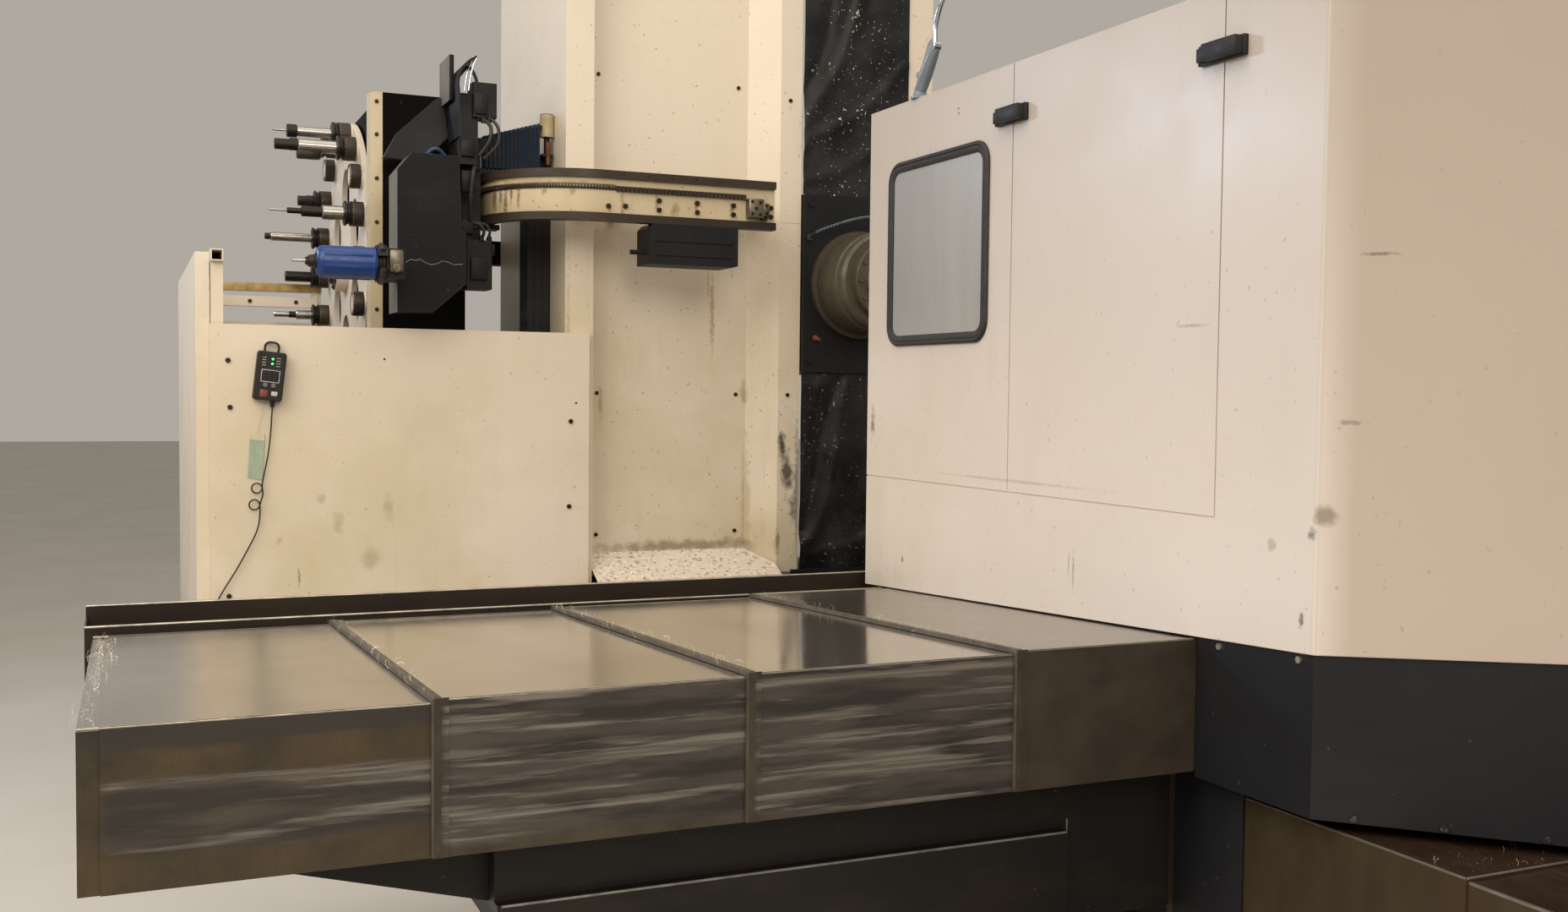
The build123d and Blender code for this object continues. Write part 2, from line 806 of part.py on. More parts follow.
# Dark skirt and chip pan under the front of the enclosure
skirt_inset = 6
skirt_plan = [
    (wall_left + skirt_inset, skirt_rear),
    (wall_left + skirt_inset, corner_y + 3),
    (wall_left + enclosure_chamfer + 3, enclosure_front + skirt_inset),
    (wall_right - enclosure_chamfer - 3, enclosure_front + skirt_inset),
    (wall_right - skirt_inset, corner_y + 3),
    (wall_right - skirt_inset, skirt_rear),
]
with BuildPart() as table_skirt:
    with BuildSketch(Plane.XY.offset(skirt_bottom)):
        with BuildLine():
            Polyline(*skirt_plan, close=True)
        make_face()
    extrude(amount=slant(enclosure_front) - skirt_bottom)
    with BuildSketch(Plane.XY.offset(skirt_bottom + skirt_sheet)):
        with BuildLine():
            Polyline(*skirt_plan, close=True)
        make_face()
        offset(amount=-skirt_sheet, kind=Kind.INTERSECTION, mode=Mode.REPLACE)
    extrude(amount=400, mode=Mode.SUBTRACT)
    # trimmed under the slanted lower edge of the enclosure
    with BuildSketch(Plane.YZ.offset(wall_left - 50)):
        with BuildLine():
            Polyline(
                (enclosure_front - 50, slant(enclosure_front - 50)),
                (skirt_rear + 50, slant(skirt_rear + 50)),
                (skirt_rear + 50, slant(skirt_rear) + 400),
                (enclosure_front - 50, slant(skirt_rear) + 400),
                close=True,
            )
        make_face()
    extrude(amount=2 * enclosure_half + 100, mode=Mode.SUBTRACT)
    # carrying flanges between the pan and the slide's near face
    for flange_x in (slide_left + 60, table_x, slide_right - 60):
        with Locations((flange_x, skirt_rear, skirt_bottom)):
            Box(
                60, -slide_reach - skirt_rear, slant(skirt_rear) - skirt_bottom - 10,
                align=(Align.CENTER, Align.MIN, Align.MIN),
            )
keep(table_skirt, "table_skirt")

# Fasteners of the enclosure: bolts along the skirt's top and bottom edges
bolt_radius = 7
bolt_head = 5
with BuildPart() as enclosure_bolts:
    left_face = Plane(origin=(wall_left + skirt_inset, 0, 0), x_dir=(0, -1, 0), z_dir=(-1, 0, 0))
    with BuildSketch(left_face):
        with Locations(*[(-y, slant(y) - 14) for y in (corner_y + 40, corner_y + 260)]):
            RegularPolygon(bolt_radius, 6)
    extrude(amount=bolt_head)
    diagonal = 1 / math.sqrt(2)
    chamfer_start = (wall_left + skirt_inset, corner_y + 3)
    chamfer_end = (wall_left + enclosure_chamfer + 3, enclosure_front + skirt_inset)
    chamfer_length = math.dist(chamfer_start, chamfer_end)
    chamfer_face = Plane(
        origin=(chamfer_start[0], chamfer_start[1], 0), x_dir=(diagonal, -diagonal, 0),
        z_dir=(-diagonal, -diagonal, 0),
    )
    with BuildSketch(chamfer_face):
        with Locations(*[(chamfer_length * share, skirt_bottom + 9) for share in (0.12, 0.36, 0.62, 0.88)]):
            RegularPolygon(bolt_radius, 6)
    extrude(amount=bolt_head)
keep(enclosure_bolts, "enclosure_bolts")


def front_door(hinge_x, direction):
    """One leaf of the front doors, from its hinge edge to the middle, with pull handle and hinge barrels."""
    width = door_open_half - 1.5 * door_gap
    low = door_foot + door_gap
    high = enclosure_top - 2
    with BuildPart() as leaf:
        with BuildSketch(Plane.XY.offset(low)):
            with Locations((hinge_x + direction * (door_gap + width / 2), enclosure_front)):
                Rectangle(width, panel, align=(Align.CENTER, Align.MIN))
        extrude(amount=high - low)
        with BuildSketch(Plane.XZ.offset(-enclosure_front + 0)):
            with Locations((hinge_x + direction * (door_gap + width / 2), (low + high) / 2 + 150)):
                RectangleRounded(width - 260, 620, 50)
        extrude(amount=-6, mode=Mode.SUBTRACT)
        with BuildSketch(Plane.XY.offset(1500)):
            with Locations((hinge_x + direction * (width - 60), enclosure_front - 45)):
                Circle(14)
        extrude(amount=360)
        with BuildSketch(Plane.XZ.offset(-enclosure_front + 45)):
            with Locations(
                (hinge_x + direction * (width - 60), 1520), (hinge_x + direction * (width - 60), 1840),
            ):
                Circle(11)
        extrude(amount=-45)
        with BuildSketch(Plane.XY.offset(low + 120)):
            with Locations((hinge_x + direction * 2, enclosure_front - 9)):
                Circle(8.5)
            with Locations((hinge_x + direction * 14, enclosure_front - 3)):
                Rectangle(24, 6)
        extrude(amount=90)
        with BuildSketch(Plane.XY.offset(high - 220)):
            with Locations((hinge_x + direction * 2, enclosure_front - 9)):
                Circle(8.5)
            with Locations((hinge_x + direction * 14, enclosure_front - 3)):
                Rectangle(24, 6)
        extrude(amount=90)
    return leaf


front_door_left = front_door(table_x - door_open_half, 1)
keep(front_door_left, "front_door_left")
front_door_right = front_door(table_x + door_open_half, -1)
keep(front_door_right, "front_door_right")

# Work lamp on the top edge of the left wall: a bent tube with a round lamp body
lamp_x = wall_left + panel / 2
lamp_y = 548
lamp_elbow_y = 463
lamp_elbow_z = 2447
lamp_arm_radius = 14
lamp_tube_radius = 8
with BuildPart() as work_lamp:
    with Locations((lamp_x, lamp_y, enclosure_top)):
        Cylinder(26, 18, align=(Align.CENTER, Align.CENTER, Align.MIN))
    with BuildLine() as lamp_arm:
        Line((lamp_x, lamp_y, enclosure_top + 14), (lamp_x, lamp_elbow_y, lamp_elbow_z))
    with BuildSketch(Plane(lamp_arm.edges()[0] @ 0, z_dir=lamp_arm.edges()[0] % 0)):
        Circle(lamp_arm_radius)
    extrude(amount=lamp_arm.edges()[0].length)
    with Locations((lamp_x, lamp_elbow_y, lamp_elbow_z)):
        Sphere(lamp_arm_radius + 1)
    with BuildLine() as lamp_tube:
        FilletPolyline(
            (lamp_x, lamp_elbow_y, lamp_elbow_z),
            (lamp_x, lamp_elbow_y + 4, lamp_elbow_z + 60),
            (lamp_x, lamp_elbow_y - 24, lamp_elbow_z + 122),
            (lamp_x + 50, lamp_elbow_y - 40, lamp_elbow_z + 190),
            radius=45,
        )
    with BuildSketch(Plane(lamp_tube.line @ 0, z_dir=lamp_tube.line % 0)):
        Circle(lamp_tube_radius)
    sweep(path=lamp_tube.line)
    lamp_axis = Plane(
        origin=(lamp_x + 50, lamp_elbow_y - 40, lamp_elbow_z + 190), z_dir=(0.72, -0.3, -0.62),
    )
    with BuildSketch(lamp_axis.offset(-50)):
        Circle(34)
    extrude(amount=70)
    with BuildSketch(lamp_axis.offset(20)):
        Circle(34)
    with BuildSketch(lamp_axis.offset(150)):
        Circle(62)
    loft()
keep(work_lamp, "work_lamp")

# Column: one casting with ribs on its back and two guideways on its right face
with BuildPart() as column:
    with BuildSketch(Plane.XY.offset(column_foot_z)):
        with Locations(((column_left + column_right - 20) / 2, (column_front + column_back) / 2)):
            RectangleRounded(column_right - 20 - column_left, column_back - column_front, 40)
    extrude(amount=column_top - column_foot_z)
    for way_y in (column_front + 110, column_back - 220):
        with Locations((column_right, way_y, column_foot_z)):
            Box(60, 130, column_top - column_foot_z, align=(Align.MAX, Align.CENTER, Align.MIN))
    for rib_x in (column_left + 180, column_left + 430, column_left + 680):
        with Locations((rib_x, column_back, column_foot_z)):
            Box(40, 50, column_top - column_foot_z - 200, align=(Align.CENTER, Align.MIN, Align.MIN))
    with Locations(((column_left + column_right - 20) / 2, (column_front + column_back) / 2, column_foot_z)):
        Box(
            column_right - 20 - column_left + 40, column_back - column_front + 40, 60,
            align=(Align.CENTER, Align.CENTER, Align.MIN),
        )
keep(column, "column")

# Folded cover on the column's front: left strip, deep recess, slanted wall and right strip
cover_plan = [
    (column_cover_left, column_back - 200),
    (column_cover_left, cover_face),
    (recess_left, cover_face),
    (recess_left, cover_face + recess_depth),
    (recess_right, cover_face + recess_depth),
    (recess_slope_end, cover_face),
    (curtain_left, cover_face),
]
chute_top = 890
chute_low = 800
chute_front = 2200
with BuildPart() as column_front_cover:
    with BuildSketch(Plane.XY.offset(chute_low)):
        with BuildLine():
            Polyline(*folded(cover_plan, sheet), close=True)
        make_face()
    extrude(amount=column_top - chute_low)
    # left strip and side run down to the floor plate beside the bed covers
    with BuildSketch(Plane.XY.offset(40)):
        with BuildLine():
            Polyline(*folded(cover_plan[:3] + [(recess_left, cover_face + 18)], sheet), close=True)
        make_face()
    extrude(amount=chute_low - 40)
    # seam across the right strip
    with Locations(((recess_slope_end + curtain_left) / 2, cover_face, 2172)):
        Box(curtain_left - recess_slope_end, 3, 4, mode=Mode.SUBTRACT)
    # stand-offs that bolt the cover to the column casting
    for stay_z in (1000, 2000, 3000):
        with Locations((column_left + 260, cover_face + recess_depth + sheet, stay_z)):
            Box(
                60, column_front - cover_face - recess_depth - sheet, 60,
                align=(Align.CENTER, Align.MIN, Align.CENTER),
            )
        with Locations((column_cover_left + sheet, column_front + 200, stay_z)):
            Box(
                column_left - column_cover_left - sheet, 60, 60,
                align=(Align.MIN, Align.CENTER, Align.CENTER),
            )
keep(column_front_cover, "column_front_cover")

# Sloped chip chute at the foot of the recess, with the apron below it
chute_gap = 1.5
with BuildPart() as chip_chute:
    with BuildSketch(Plane.YZ.offset(recess_left + sheet + fit)):
        with BuildLine():
            Polyline(
                (cover_face + recess_depth - fit, chute_top),
                (chute_front, chute_low),
                (chute_front, 60),
                (chute_front + sheet, 60),
                (chute_front + sheet, chute_low - 2),
                (cover_face + recess_depth - fit, chute_top - 4),
                close=True,
            )
        make_face()
    extrude(amount=recess_slope_end - 6 - recess_left - sheet - fit)
    # the right end follows the slanted wall
    with BuildSketch(Plane.XY.offset(50)):
        with BuildLine():
            Polyline(
                (recess_right - chute_gap - 4, cover_face + recess_depth + 20),
                (recess_right - chute_gap - 4, cover_face + recess_depth - 2),
                (recess_slope_end - chute_gap - 7, cover_face + 2),
                (recess_slope_end - chute_gap - 7, cover_face - 3),
                (recess_slope_end + 20, cover_face - 3),
                (recess_slope_end + 20, cover_face + recess_depth + 20),
                close=True,
            )
        make_face()
    extrude(amount=900, mode=Mode.SUBTRACT)
    # room for the bed covers
    with Locations((0, chute_front, 0)):
        Box(
            2 * (bed_cover_half + 15), 300, bed_cover_top + 12,
            align=(Align.CENTER, Align.CENTER, Align.MIN), mode=Mode.SUBTRACT,
        )
keep(chip_chute, "chip_chute")

# Right guard: strip beside the curtain, side sheet and roof over the head
right_guard_plan = [
    (curtain_right, cover_face + 18), (curtain_right, cover_face),
    (guard_right, cover_face), (guard_right, column_back),
]
with BuildPart() as column_right_guard:
    with BuildSketch(Plane.XY.offset(column_foot_z + 30)):
        with BuildLine():
            Polyline(*folded(right_guard_plan, sheet), close=True)
        make_face()
    extrude(amount=column_top - column_foot_z - 30)
    with Locations((guard_right, column_front + 40, column_foot_z)):
        Box(
            sheet, column_back - column_front - 40, 30, align=(Align.MAX, Align.MIN, Align.MIN),
        )
    with Locations((column_right - 200, cover_face, column_top)):
        Box(
            guard_right - column_right + 200, column_back - cover_face, sheet,
            align=(Align.MIN, Align.MIN, Align.MIN),
        )
keep(column_right_guard, "column_right_guard")

# Head: a long housing beside the column, riding on its two guideways
head_low = axis_z - head_half_height
head_high = axis_z + head_half_height
with BuildPart() as head_housing:
    with BuildSketch(Plane.XZ.offset(-head_front)):
        with Locations(((column_right + fit + 200) / 2, axis_z)):
            RectangleRounded(200 - column_right - fit, 2 * head_half_height, 30)
    extrude(amount=-(head_back - head_front))
    with BuildSketch(Plane.XZ.offset(-head_front)):
        with Locations((0, axis_z)):
            Circle(sleeve_radius + 12)
    extrude(amount=-(head_back - head_front - 40), mode=Mode.SUBTRACT)
    with BuildSketch(Plane.XZ.offset(-head_back)):
        with Locations((0, axis_z)):
            Circle(160)
    extrude(amount=-110)
keep(head_housing, "head_housing")

# Square plate in the curtain's opening, bolted to the housing
with BuildPart() as head_front_plate:
    with BuildSketch(Plane.XZ.offset(-head_plate_front)):
        with Locations(((curtain_left + curtain_right) / 2, axis_z)):
            RectangleRounded(curtain_right - curtain_left - 8, 2 * head_half_height, 10)
        with Locations((0, axis_z)):
            Circle(sleeve_radius + 12, mode=Mode.SUBTRACT)
    extrude(amount=-(head_front - head_plate_front))
    with BuildSketch(Plane.XZ.offset(-head_plate_front)):
        with Locations(((curtain_left + curtain_right) / 2, axis_z)):
            with GridLocations(400, 620, 2, 2):
                RegularPolygon(12, 6)
    extrude(amount=8)
keep(head_front_plate, "head_front_plate")

# Snout: a turned casting round the spindle sleeve
with BuildPart() as spindle_snout:
    with BuildSketch(Plane.YZ):
        with BuildLine():
            Polyline(
                (head_plate_front, axis_z + sleeve_radius + 0.05),
                (head_plate_front, axis_z + snout_radius + 18),
                (head_plate_front - 22, axis_z + snout_radius + 18),
                (head_plate_front - 22, axis_z + snout_radius),
                (snout_front + 60, axis_z + snout_radius),
                (snout_front + 54, axis_z + snout_radius - 5),
                (snout_front + 12, axis_z + snout_radius - 5),
                (snout_front, axis_z + snout_radius - 17),
                (snout_front, axis_z + sleeve_radius + 0.05),
                close=True,
            )
        make_face()
    revolve(axis=Axis((0, 0, axis_z), (0, 1, 0)))
keep(spindle_snout, "spindle_snout")

# Bolted ring at the front of the snout
with BuildPart() as nose_ring:
    with BuildSketch(Plane.XZ.offset(-nose_front)):
        with Locations((0, axis_z)):
            Circle(ring_radius)
            Circle(sleeve_radius + 0.05, mode=Mode.SUBTRACT)
    extrude(amount=-(snout_front - nose_front))
    fillet(nose_ring.edges().filter_by(GeomType.CIRCLE).sort_by(Axis.Y)[:2].sort_by(SortBy.RADIUS)[-1], 4)
    with BuildSketch(Plane.XZ.offset(-nose_front)):
        with Locations((0, axis_z)):
            with PolarLocations(ring_radius - 18, 12):
                Circle(9)
    extrude(amount=7)
keep(nose_ring, "nose_ring")

# Milling spindle: the outer sleeve, which turns in the snout
with BuildPart() as milling_spindle:
    with BuildSketch(Plane.XZ.offset(-(nose_front - 14))):
        with Locations((0, axis_z)):
            Circle(sleeve_radius)
            Circle(quill_radius + 0.05, mode=Mode.SUBTRACT)
    extrude(amount=-660)
    with BuildSketch(Plane.XZ.offset(-(nose_front - 14))):
        with Locations((0, axis_z)):
            with PolarLocations(84, 4, start_angle=45):
                Circle(8)
    extrude(amount=-25, mode=Mode.SUBTRACT)
    with Locations((84, nose_front - 14, axis_z), (-84, nose_front - 14, axis_z)):
        Box(30, 12, 24, align=(Align.CENTER, Align.MAX, Align.CENTER))
keep(milling_spindle, "milling_spindle")

# Boring spindle: the bar that turns with the sleeve and slides out of it, with a steep taper in its nose
taper_mouth = 34.925
taper_depth = 107
taper_end = taper_mouth - taper_depth * 7 / 48
with BuildPart() as boring_spindle:
    with BuildSketch(Plane.YZ):
        with BuildLine():
            Polyline(
                (quill_nose, axis_z + taper_mouth),
                (quill_nose, axis_z + quill_radius - 3),
                (quill_nose + 3, axis_z + quill_radius),
                (head_back - 100, axis_z + quill_radius),
                (head_back - 100, axis_z),
                (quill_nose + taper_depth + 60, axis_z),
                (quill_nose + taper_depth + 60, axis_z + 13),
                (quill_nose + taper_depth, axis_z + 13),
                (quill_nose + taper_depth, axis_z + taper_end),
                close=True,
            )
        make_face()
    revolve(axis=Axis((0, 0, axis_z), (0, 1, 0)))
    with Locations((45, quill_nose, axis_z), (-45, quill_nose, axis_z)):
        Box(18, 14, 25.4, align=(Align.CENTER, Align.CENTER, Align.CENTER))
keep(boring_spindle, "boring_spindle")


def pleated_curtain(low, high, pitch, depth):
    """A curtain of soft cross folds between two heights, behind the strip edges."""
    count = max(2, round((high - low) / pitch))
    step = (high - low) / count
    mid = cover_face - 6
    points = [(mid, low)]
    for fold in range(count):
        points.append((mid + depth * (-1) ** fold, low + (fold + 0.5) * step))
    points.append((mid, high))
    with BuildPart() as cloth:
        with BuildSketch(Plane.YZ.offset(curtain_left + 4)):
            with BuildLine():
                Polyline(*folded(points, 2), close=True)
            make_face()
        extrude(amount=curtain_right - curtain_left - 8)
    return cloth


bar_low = 772
bar_high = 808
curtain_top = column_top - 6
curtain_upper = pleated_curtain(head_high + fit, curtain_top, 92, 7)
keep(curtain_upper, "curtain_upper")
curtain_lower = pleated_curtain(bar_high, head_low - fit, 92, 7)
keep(curtain_lower, "curtain_lower")
with BuildPart() as curtain_bar:
    with Locations(((curtain_left + curtain_right) / 2, cover_face - 20, bar_low)):
        Box(
            curtain_right - curtain_left + 60, 20, bar_high - bar_low,
            align=(Align.CENTER, Align.MIN, Align.MIN),
        )
keep(curtain_bar, "curtain_bar")

# Tool changer rail: a plate bent round the column's front left corner, with stand-offs to the cover
def rail_band(low, high, outward, inward):
    """A band that follows the rail's face, set out and in from it, between two heights."""
    with BuildPart() as band:
        with BuildSketch(Plane.XY.offset(low)):
            with BuildLine():
                Line((rail_end, rail_face - outward), (rail_bend_x, rail_face - outward))
                ThreePointArc(
                    (rail_bend_x, rail_face - outward),
                    (
                        rail_bend_x - (rail_bend + outward) / math.sqrt(2),
                        rail_bend_y - (rail_bend + outward) / math.sqrt(2),
                    ),
                    (rail_bend_x - rail_bend - outward, rail_bend_y),
                )
                Line(
                    (rail_bend_x - rail_bend - outward, rail_bend_y),
                    (rail_bend_x - rail_bend - outward, rail_tail),
                )
                Line(
                    (rail_bend_x - rail_bend - outward, rail_tail),
                    (rail_bend_x - rail_bend + inward, rail_tail),
                )
                Line(
                    (rail_bend_x - rail_bend + inward, rail_tail),
                    (rail_bend_x - rail_bend + inward, rail_bend_y),
                )
                ThreePointArc(
                    (rail_bend_x - rail_bend + inward, rail_bend_y),
                    (
                        rail_bend_x - (rail_bend - inward) / math.sqrt(2),
                        rail_bend_y - (rail_bend - inward) / math.sqrt(2),
                    ),
                    (rail_bend_x, rail_face + inward),
                )
                Line((rail_bend_x, rail_face + inward), (rail_end, rail_face + inward))
                Line((rail_end, rail_face + inward), (rail_end, rail_face - outward))
            make_face()
        extrude(amount=high - low)
    return band


with BuildPart() as changer_rail:
    add(rail_band(rail_low + track_height, rail_high - track_height, 0, rail_plate).part)
    for stay_x, stay_back in (
        (rail_end - 53, cover_face + recess_depth),
        (-1000, cover_face + recess_depth),
        (-1150, cover_face),
    ):
        with Locations((stay_x, rail_face + rail_plate, (rail_low + rail_high) / 2)):
            Box(
                44, stay_back - rail_face - rail_plate, 90,
                align=(Align.CENTER, Align.MIN, Align.CENTER),
            )
keep(changer_rail, "changer_rail")

# Dark guide tracks along the plate's top and bottom, the rack between them and the end stop
rack_pitch = 16
with BuildPart() as rail_tracks:
    add(rail_band(rail_high - track_height, rail_high, track_proud, rail_plate + 10).part)
    add(rail_band(rail_low, rail_low + track_height, track_proud, rail_plate + 10).part)
    rack_low = rail_high - track_height - 44
    with Locations((rail_bend_x + 50, rail_face - 8, rack_low)):
        Box(500, 8, 18, align=(Align.MIN, Align.MIN, Align.MIN))
    for tooth in range(31):
        with Locations((rail_bend_x + 54 + tooth * rack_pitch, rail_face - 14, rack_low)):
            Box(8, 6, 18, align=(Align.MIN, Align.MIN, Align.MIN))
    with Locations((rail_end - 88, rail_face - 34, rail_low + track_height + 14)):
        Box(56, 34, 66, align=(Align.CENTER, Align.MIN, Align.MIN))
    with Locations((rail_end - 46, rail_face - 14, rail_low + track_height + 6)):
        Box(24, 14, 52, align=(Align.CENTER, Align.MIN, Align.MIN))
keep(rail_tracks, "rail_tracks")

# Grey actuator box under the rail, with its small rod
with BuildPart() as actuator_box:
    with BuildSketch(Plane.XZ.offset(-2010)):
        with BuildLine():
            Polyline(
                (-965, 1966), (-965, 2094), (-949, rail_low), (-621, rail_low), (-621, 1972), (-640, 1966),
                close=True,
            )
        make_face()
    extrude(amount=-140)
    with BuildSketch(Plane.XZ.offset(-2009)):
        with Locations((-793, 2046)):
            Rectangle(300, 8)
        with Locations((-793, 1996)):
            Rectangle(300, 6)
    extrude(amount=-5, mode=Mode.SUBTRACT)
    with BuildSketch(Plane.YZ.offset(-1020)):
        with Locations((2060, 2010)):
            Circle(9)
    extrude(amount=56)
keep(actuator_box, "actuator_box")

# Cable duct up the column's left side, with the bracket that holds the chain's upper end
duct_left = column_cover_left - 89
duct_near = column_front + 30
duct_deep = 120
duct_top = 2400
post_x = column_cover_left - 27
post_y = duct_near - 40
with BuildPart() as cable_duct:
    with BuildSketch(Plane.XY.offset(0)):
        with Locations((duct_left, duct_near)):
            Rectangle(
                column_cover_left - fit - duct_left, duct_deep, align=(Align.MIN, Align.MIN),
            )
    extrude(amount=duct_top)
    with BuildSketch(Plane.XY.offset(0)):
        with Locations((duct_left + 22, duct_near - 2)):
            Rectangle(10, 12)
        with Locations((duct_left + 52, duct_near - 2)):
            Rectangle(12, 12)
    extrude(amount=duct_top, mode=Mode.SUBTRACT)
    # bracket and post that hold the end of the cable chain
    with Locations((post_x, post_y - 16, duct_top - 14)):
        Box(40, duct_near + 10 - post_y + 16, 10, align=(Align.CENTER, Align.MIN, Align.MIN))
    with BuildSketch(Plane.XY.offset(duct_top - 4)):
        with Locations((post_x, post_y)):
            Circle(11)
    extrude(amount=64)
    with BuildSketch(Plane.XY.offset(duct_top + 60)):
        with Locations((post_x, post_y)):
            Circle(25)
    extrude(amount=84)
    with Locations((post_x - 33, post_y, duct_top + 92)):
        Box(33, 30, 18, align=(Align.MIN, Align.CENTER, Align.CENTER))
keep(cable_duct, "cable_duct")

# Ribbed cable chain between the carriage's mast and the duct's bracket
mast_left = -1600
mast_right = -1530
chain_links = 14
chain_pitch = 15.5
chain_end_x = post_x - 33
chain_low = 2322


def chain_top(x):
    """Upper edge of the ribbed chain at a place along it."""
    return 2505 - 0.3 * (chain_end_x - x)


with BuildPart() as cable_chain:
    for link in range(chain_links):
        link_x = chain_end_x - 5 - link * chain_pitch
        with Locations((link_x, post_y, chain_low)):
            Box(
                9, 76, chain_top(link_x) - chain_low, align=(Align.CENTER, Align.CENTER, Align.MIN),
            )
    with BuildSketch(Plane.XZ.offset(-(post_y - 32))):
        with BuildLine():
            chain_start_x = chain_end_x - 5 - (chain_links - 1) * chain_pitch
            Polyline(
                (chain_start_x, chain_low + 4),
                (chain_start_x, chain_top(chain_start_x) - 6),
                (chain_end_x, chain_top(chain_end_x) - 6),
                (chain_end_x, chain_low + 4),
                close=True,
            )
        make_face()
    extrude(amount=-64)
    # clamp towards the carriage's mast
    with Locations((mast_right + fit, post_y - 38, 2374)):
        Box(
            chain_start_x - mast_right - fit, 12, 56, align=(Align.MIN, Align.MIN, Align.MIN),
        )
keep(cable_chain, "cable_chain")

# Changer carriage: the truck on the rail, its mast and the two motor boxes
truck_face = rail_bend_x - rail_bend - track_proud - 0.5
carriage_right = -1599
with BuildPart() as changer_carriage:
    with Locations((carriage_right, rail_bend_y - 40, 2040)):
        Box(
            truck_face - carriage_right, 80, 330, align=(Align.MIN, Align.MIN, Align.MIN),
        )
    with Locations((carriage_right, rail_bend_y - 35, rail_high + 0.5)):
        Box(170, 70, 18, align=(Align.MIN, Align.MIN, Align.MIN))
    with Locations((carriage_right, rail_bend_y - 35, rail_low - 0.5)):
        Box(170, 70, 18, align=(Align.MIN, Align.MIN, Align.MAX))
    with Locations((mast_left, 2250, 2310)):
        Box(mast_right - mast_left, 160, 250, align=(Align.MIN, Align.MIN, Align.MIN))
    with BuildSketch(Plane.XY.offset(2477)):
        with Locations((-1509, 2280)):
            RectangleRounded(86, 100, 6)
    extrude(amount=122)
    with BuildSketch(Plane.XY.offset(1867)):
        with Locations((-1528, 2290)):
            RectangleRounded(95, 110, 6)
    extrude(amount=175)
    with BuildSketch(Plane.XZ.offset(-2240)):
        with BuildLine():
            Polyline(
                (carriage_right, 1990), (carriage_right, 2060), (carriage_right + 46, 2060),
                (carriage_right + 30, 1990), close=True,
            )
        make_face()
    extrude(amount=-100)
keep(changer_carriage, "changer_carriage")

# Polygonal front cover of the carriage
cover_left_x = -1830
with BuildPart() as carriage_cover:
    with BuildSketch(Plane.XZ.offset(-2130)):
        with BuildLine():
            Polyline(
                (cover_left_x, 1772), (cover_left_x, 2258), (-1782, 2319), (-1623, 2314),
                (-1614, 2057), (carriage_right, 2057), (carriage_right, 1876), (-1713, 1775),
                close=True,
            )
        make_face()
    extrude(amount=-190)
    with Locations((carriage_right, 2319, 2040)):
        Box(30, 61, 200, align=(Align.MAX, Align.MIN, Align.MIN))
keep(carriage_cover, "carriage_cover")

# Curved guard sheet at the top of the carriage's mast
with BuildPart() as carriage_shield:
    with BuildSketch(Plane.XZ.offset(-2200)):
        with BuildLine():
            Line((mast_left - 6, 2400), (mast_left - 12, 2560))
            ThreePointArc((mast_left - 12, 2560), (mast_left - 2, 2632), (mast_left + 56, 2686))
            Line((mast_left + 56, 2686), (mast_left + 61, 2680))
            ThreePointArc((mast_left + 61, 2680), (mast_left + 5, 2628), (mast_left - 4, 2560))
            Line((mast_left - 4, 2560), (mast_left, 2400))
            Line((mast_left, 2400), (mast_left - 6, 2400))
        make_face()
    extrude(amount=-200)
keep(carriage_shield, "carriage_shield")

# Gripper on the carriage, with two fingers round the tool
tool_y = rail_face
with BuildPart() as tool_gripper:
    with Locations((cover_left_x, 1990, tool_axis_z - 50)):
        Box(60, 200, 100, align=(Align.MAX, Align.MIN, Align.MIN))
    with BuildSketch(Plane.YZ.offset(-1920)):
        with Locations((tool_y, tool_axis_z)):
            Circle(62)
            Circle(50 + fit, mode=Mode.SUBTRACT)
        with Locations((tool_y - 62, tool_axis_z)):
            Rectangle(50, 46, align=(Align.CENTER, Align.CENTER), mode=Mode.SUBTRACT)
    extrude(amount=34)
keep(tool_gripper, "tool_gripper")

# The tool in the gripper: a fat protective body with a stepped nose, pointing along -X
with BuildPart() as gripped_tool:
    with BuildSketch(Plane.XZ.offset(-tool_y)):
        with BuildLine():
            Polyline(
                (cover_left_x - 60 - fit, tool_axis_z),
                (cover_left_x - 60 - fit, tool_axis_z + 50),
                (-1922, tool_axis_z + 50),
                (-1922, tool_axis_z + 55),
                (-2106, tool_axis_z + 55),
                (-2120, tool_axis_z + 44),
                (-2120, tool_axis_z + 20),
                (-2150, tool_axis_z + 15),
                (-2150, tool_axis_z + 7),
                (-2189, tool_axis_z + 7),
                (-2189, tool_axis_z),
                close=True,
            )
        make_face()
    revolve(axis=Axis((0, tool_y, tool_axis_z), (1, 0, 0)))
keep(gripped_tool, "gripped_tool")

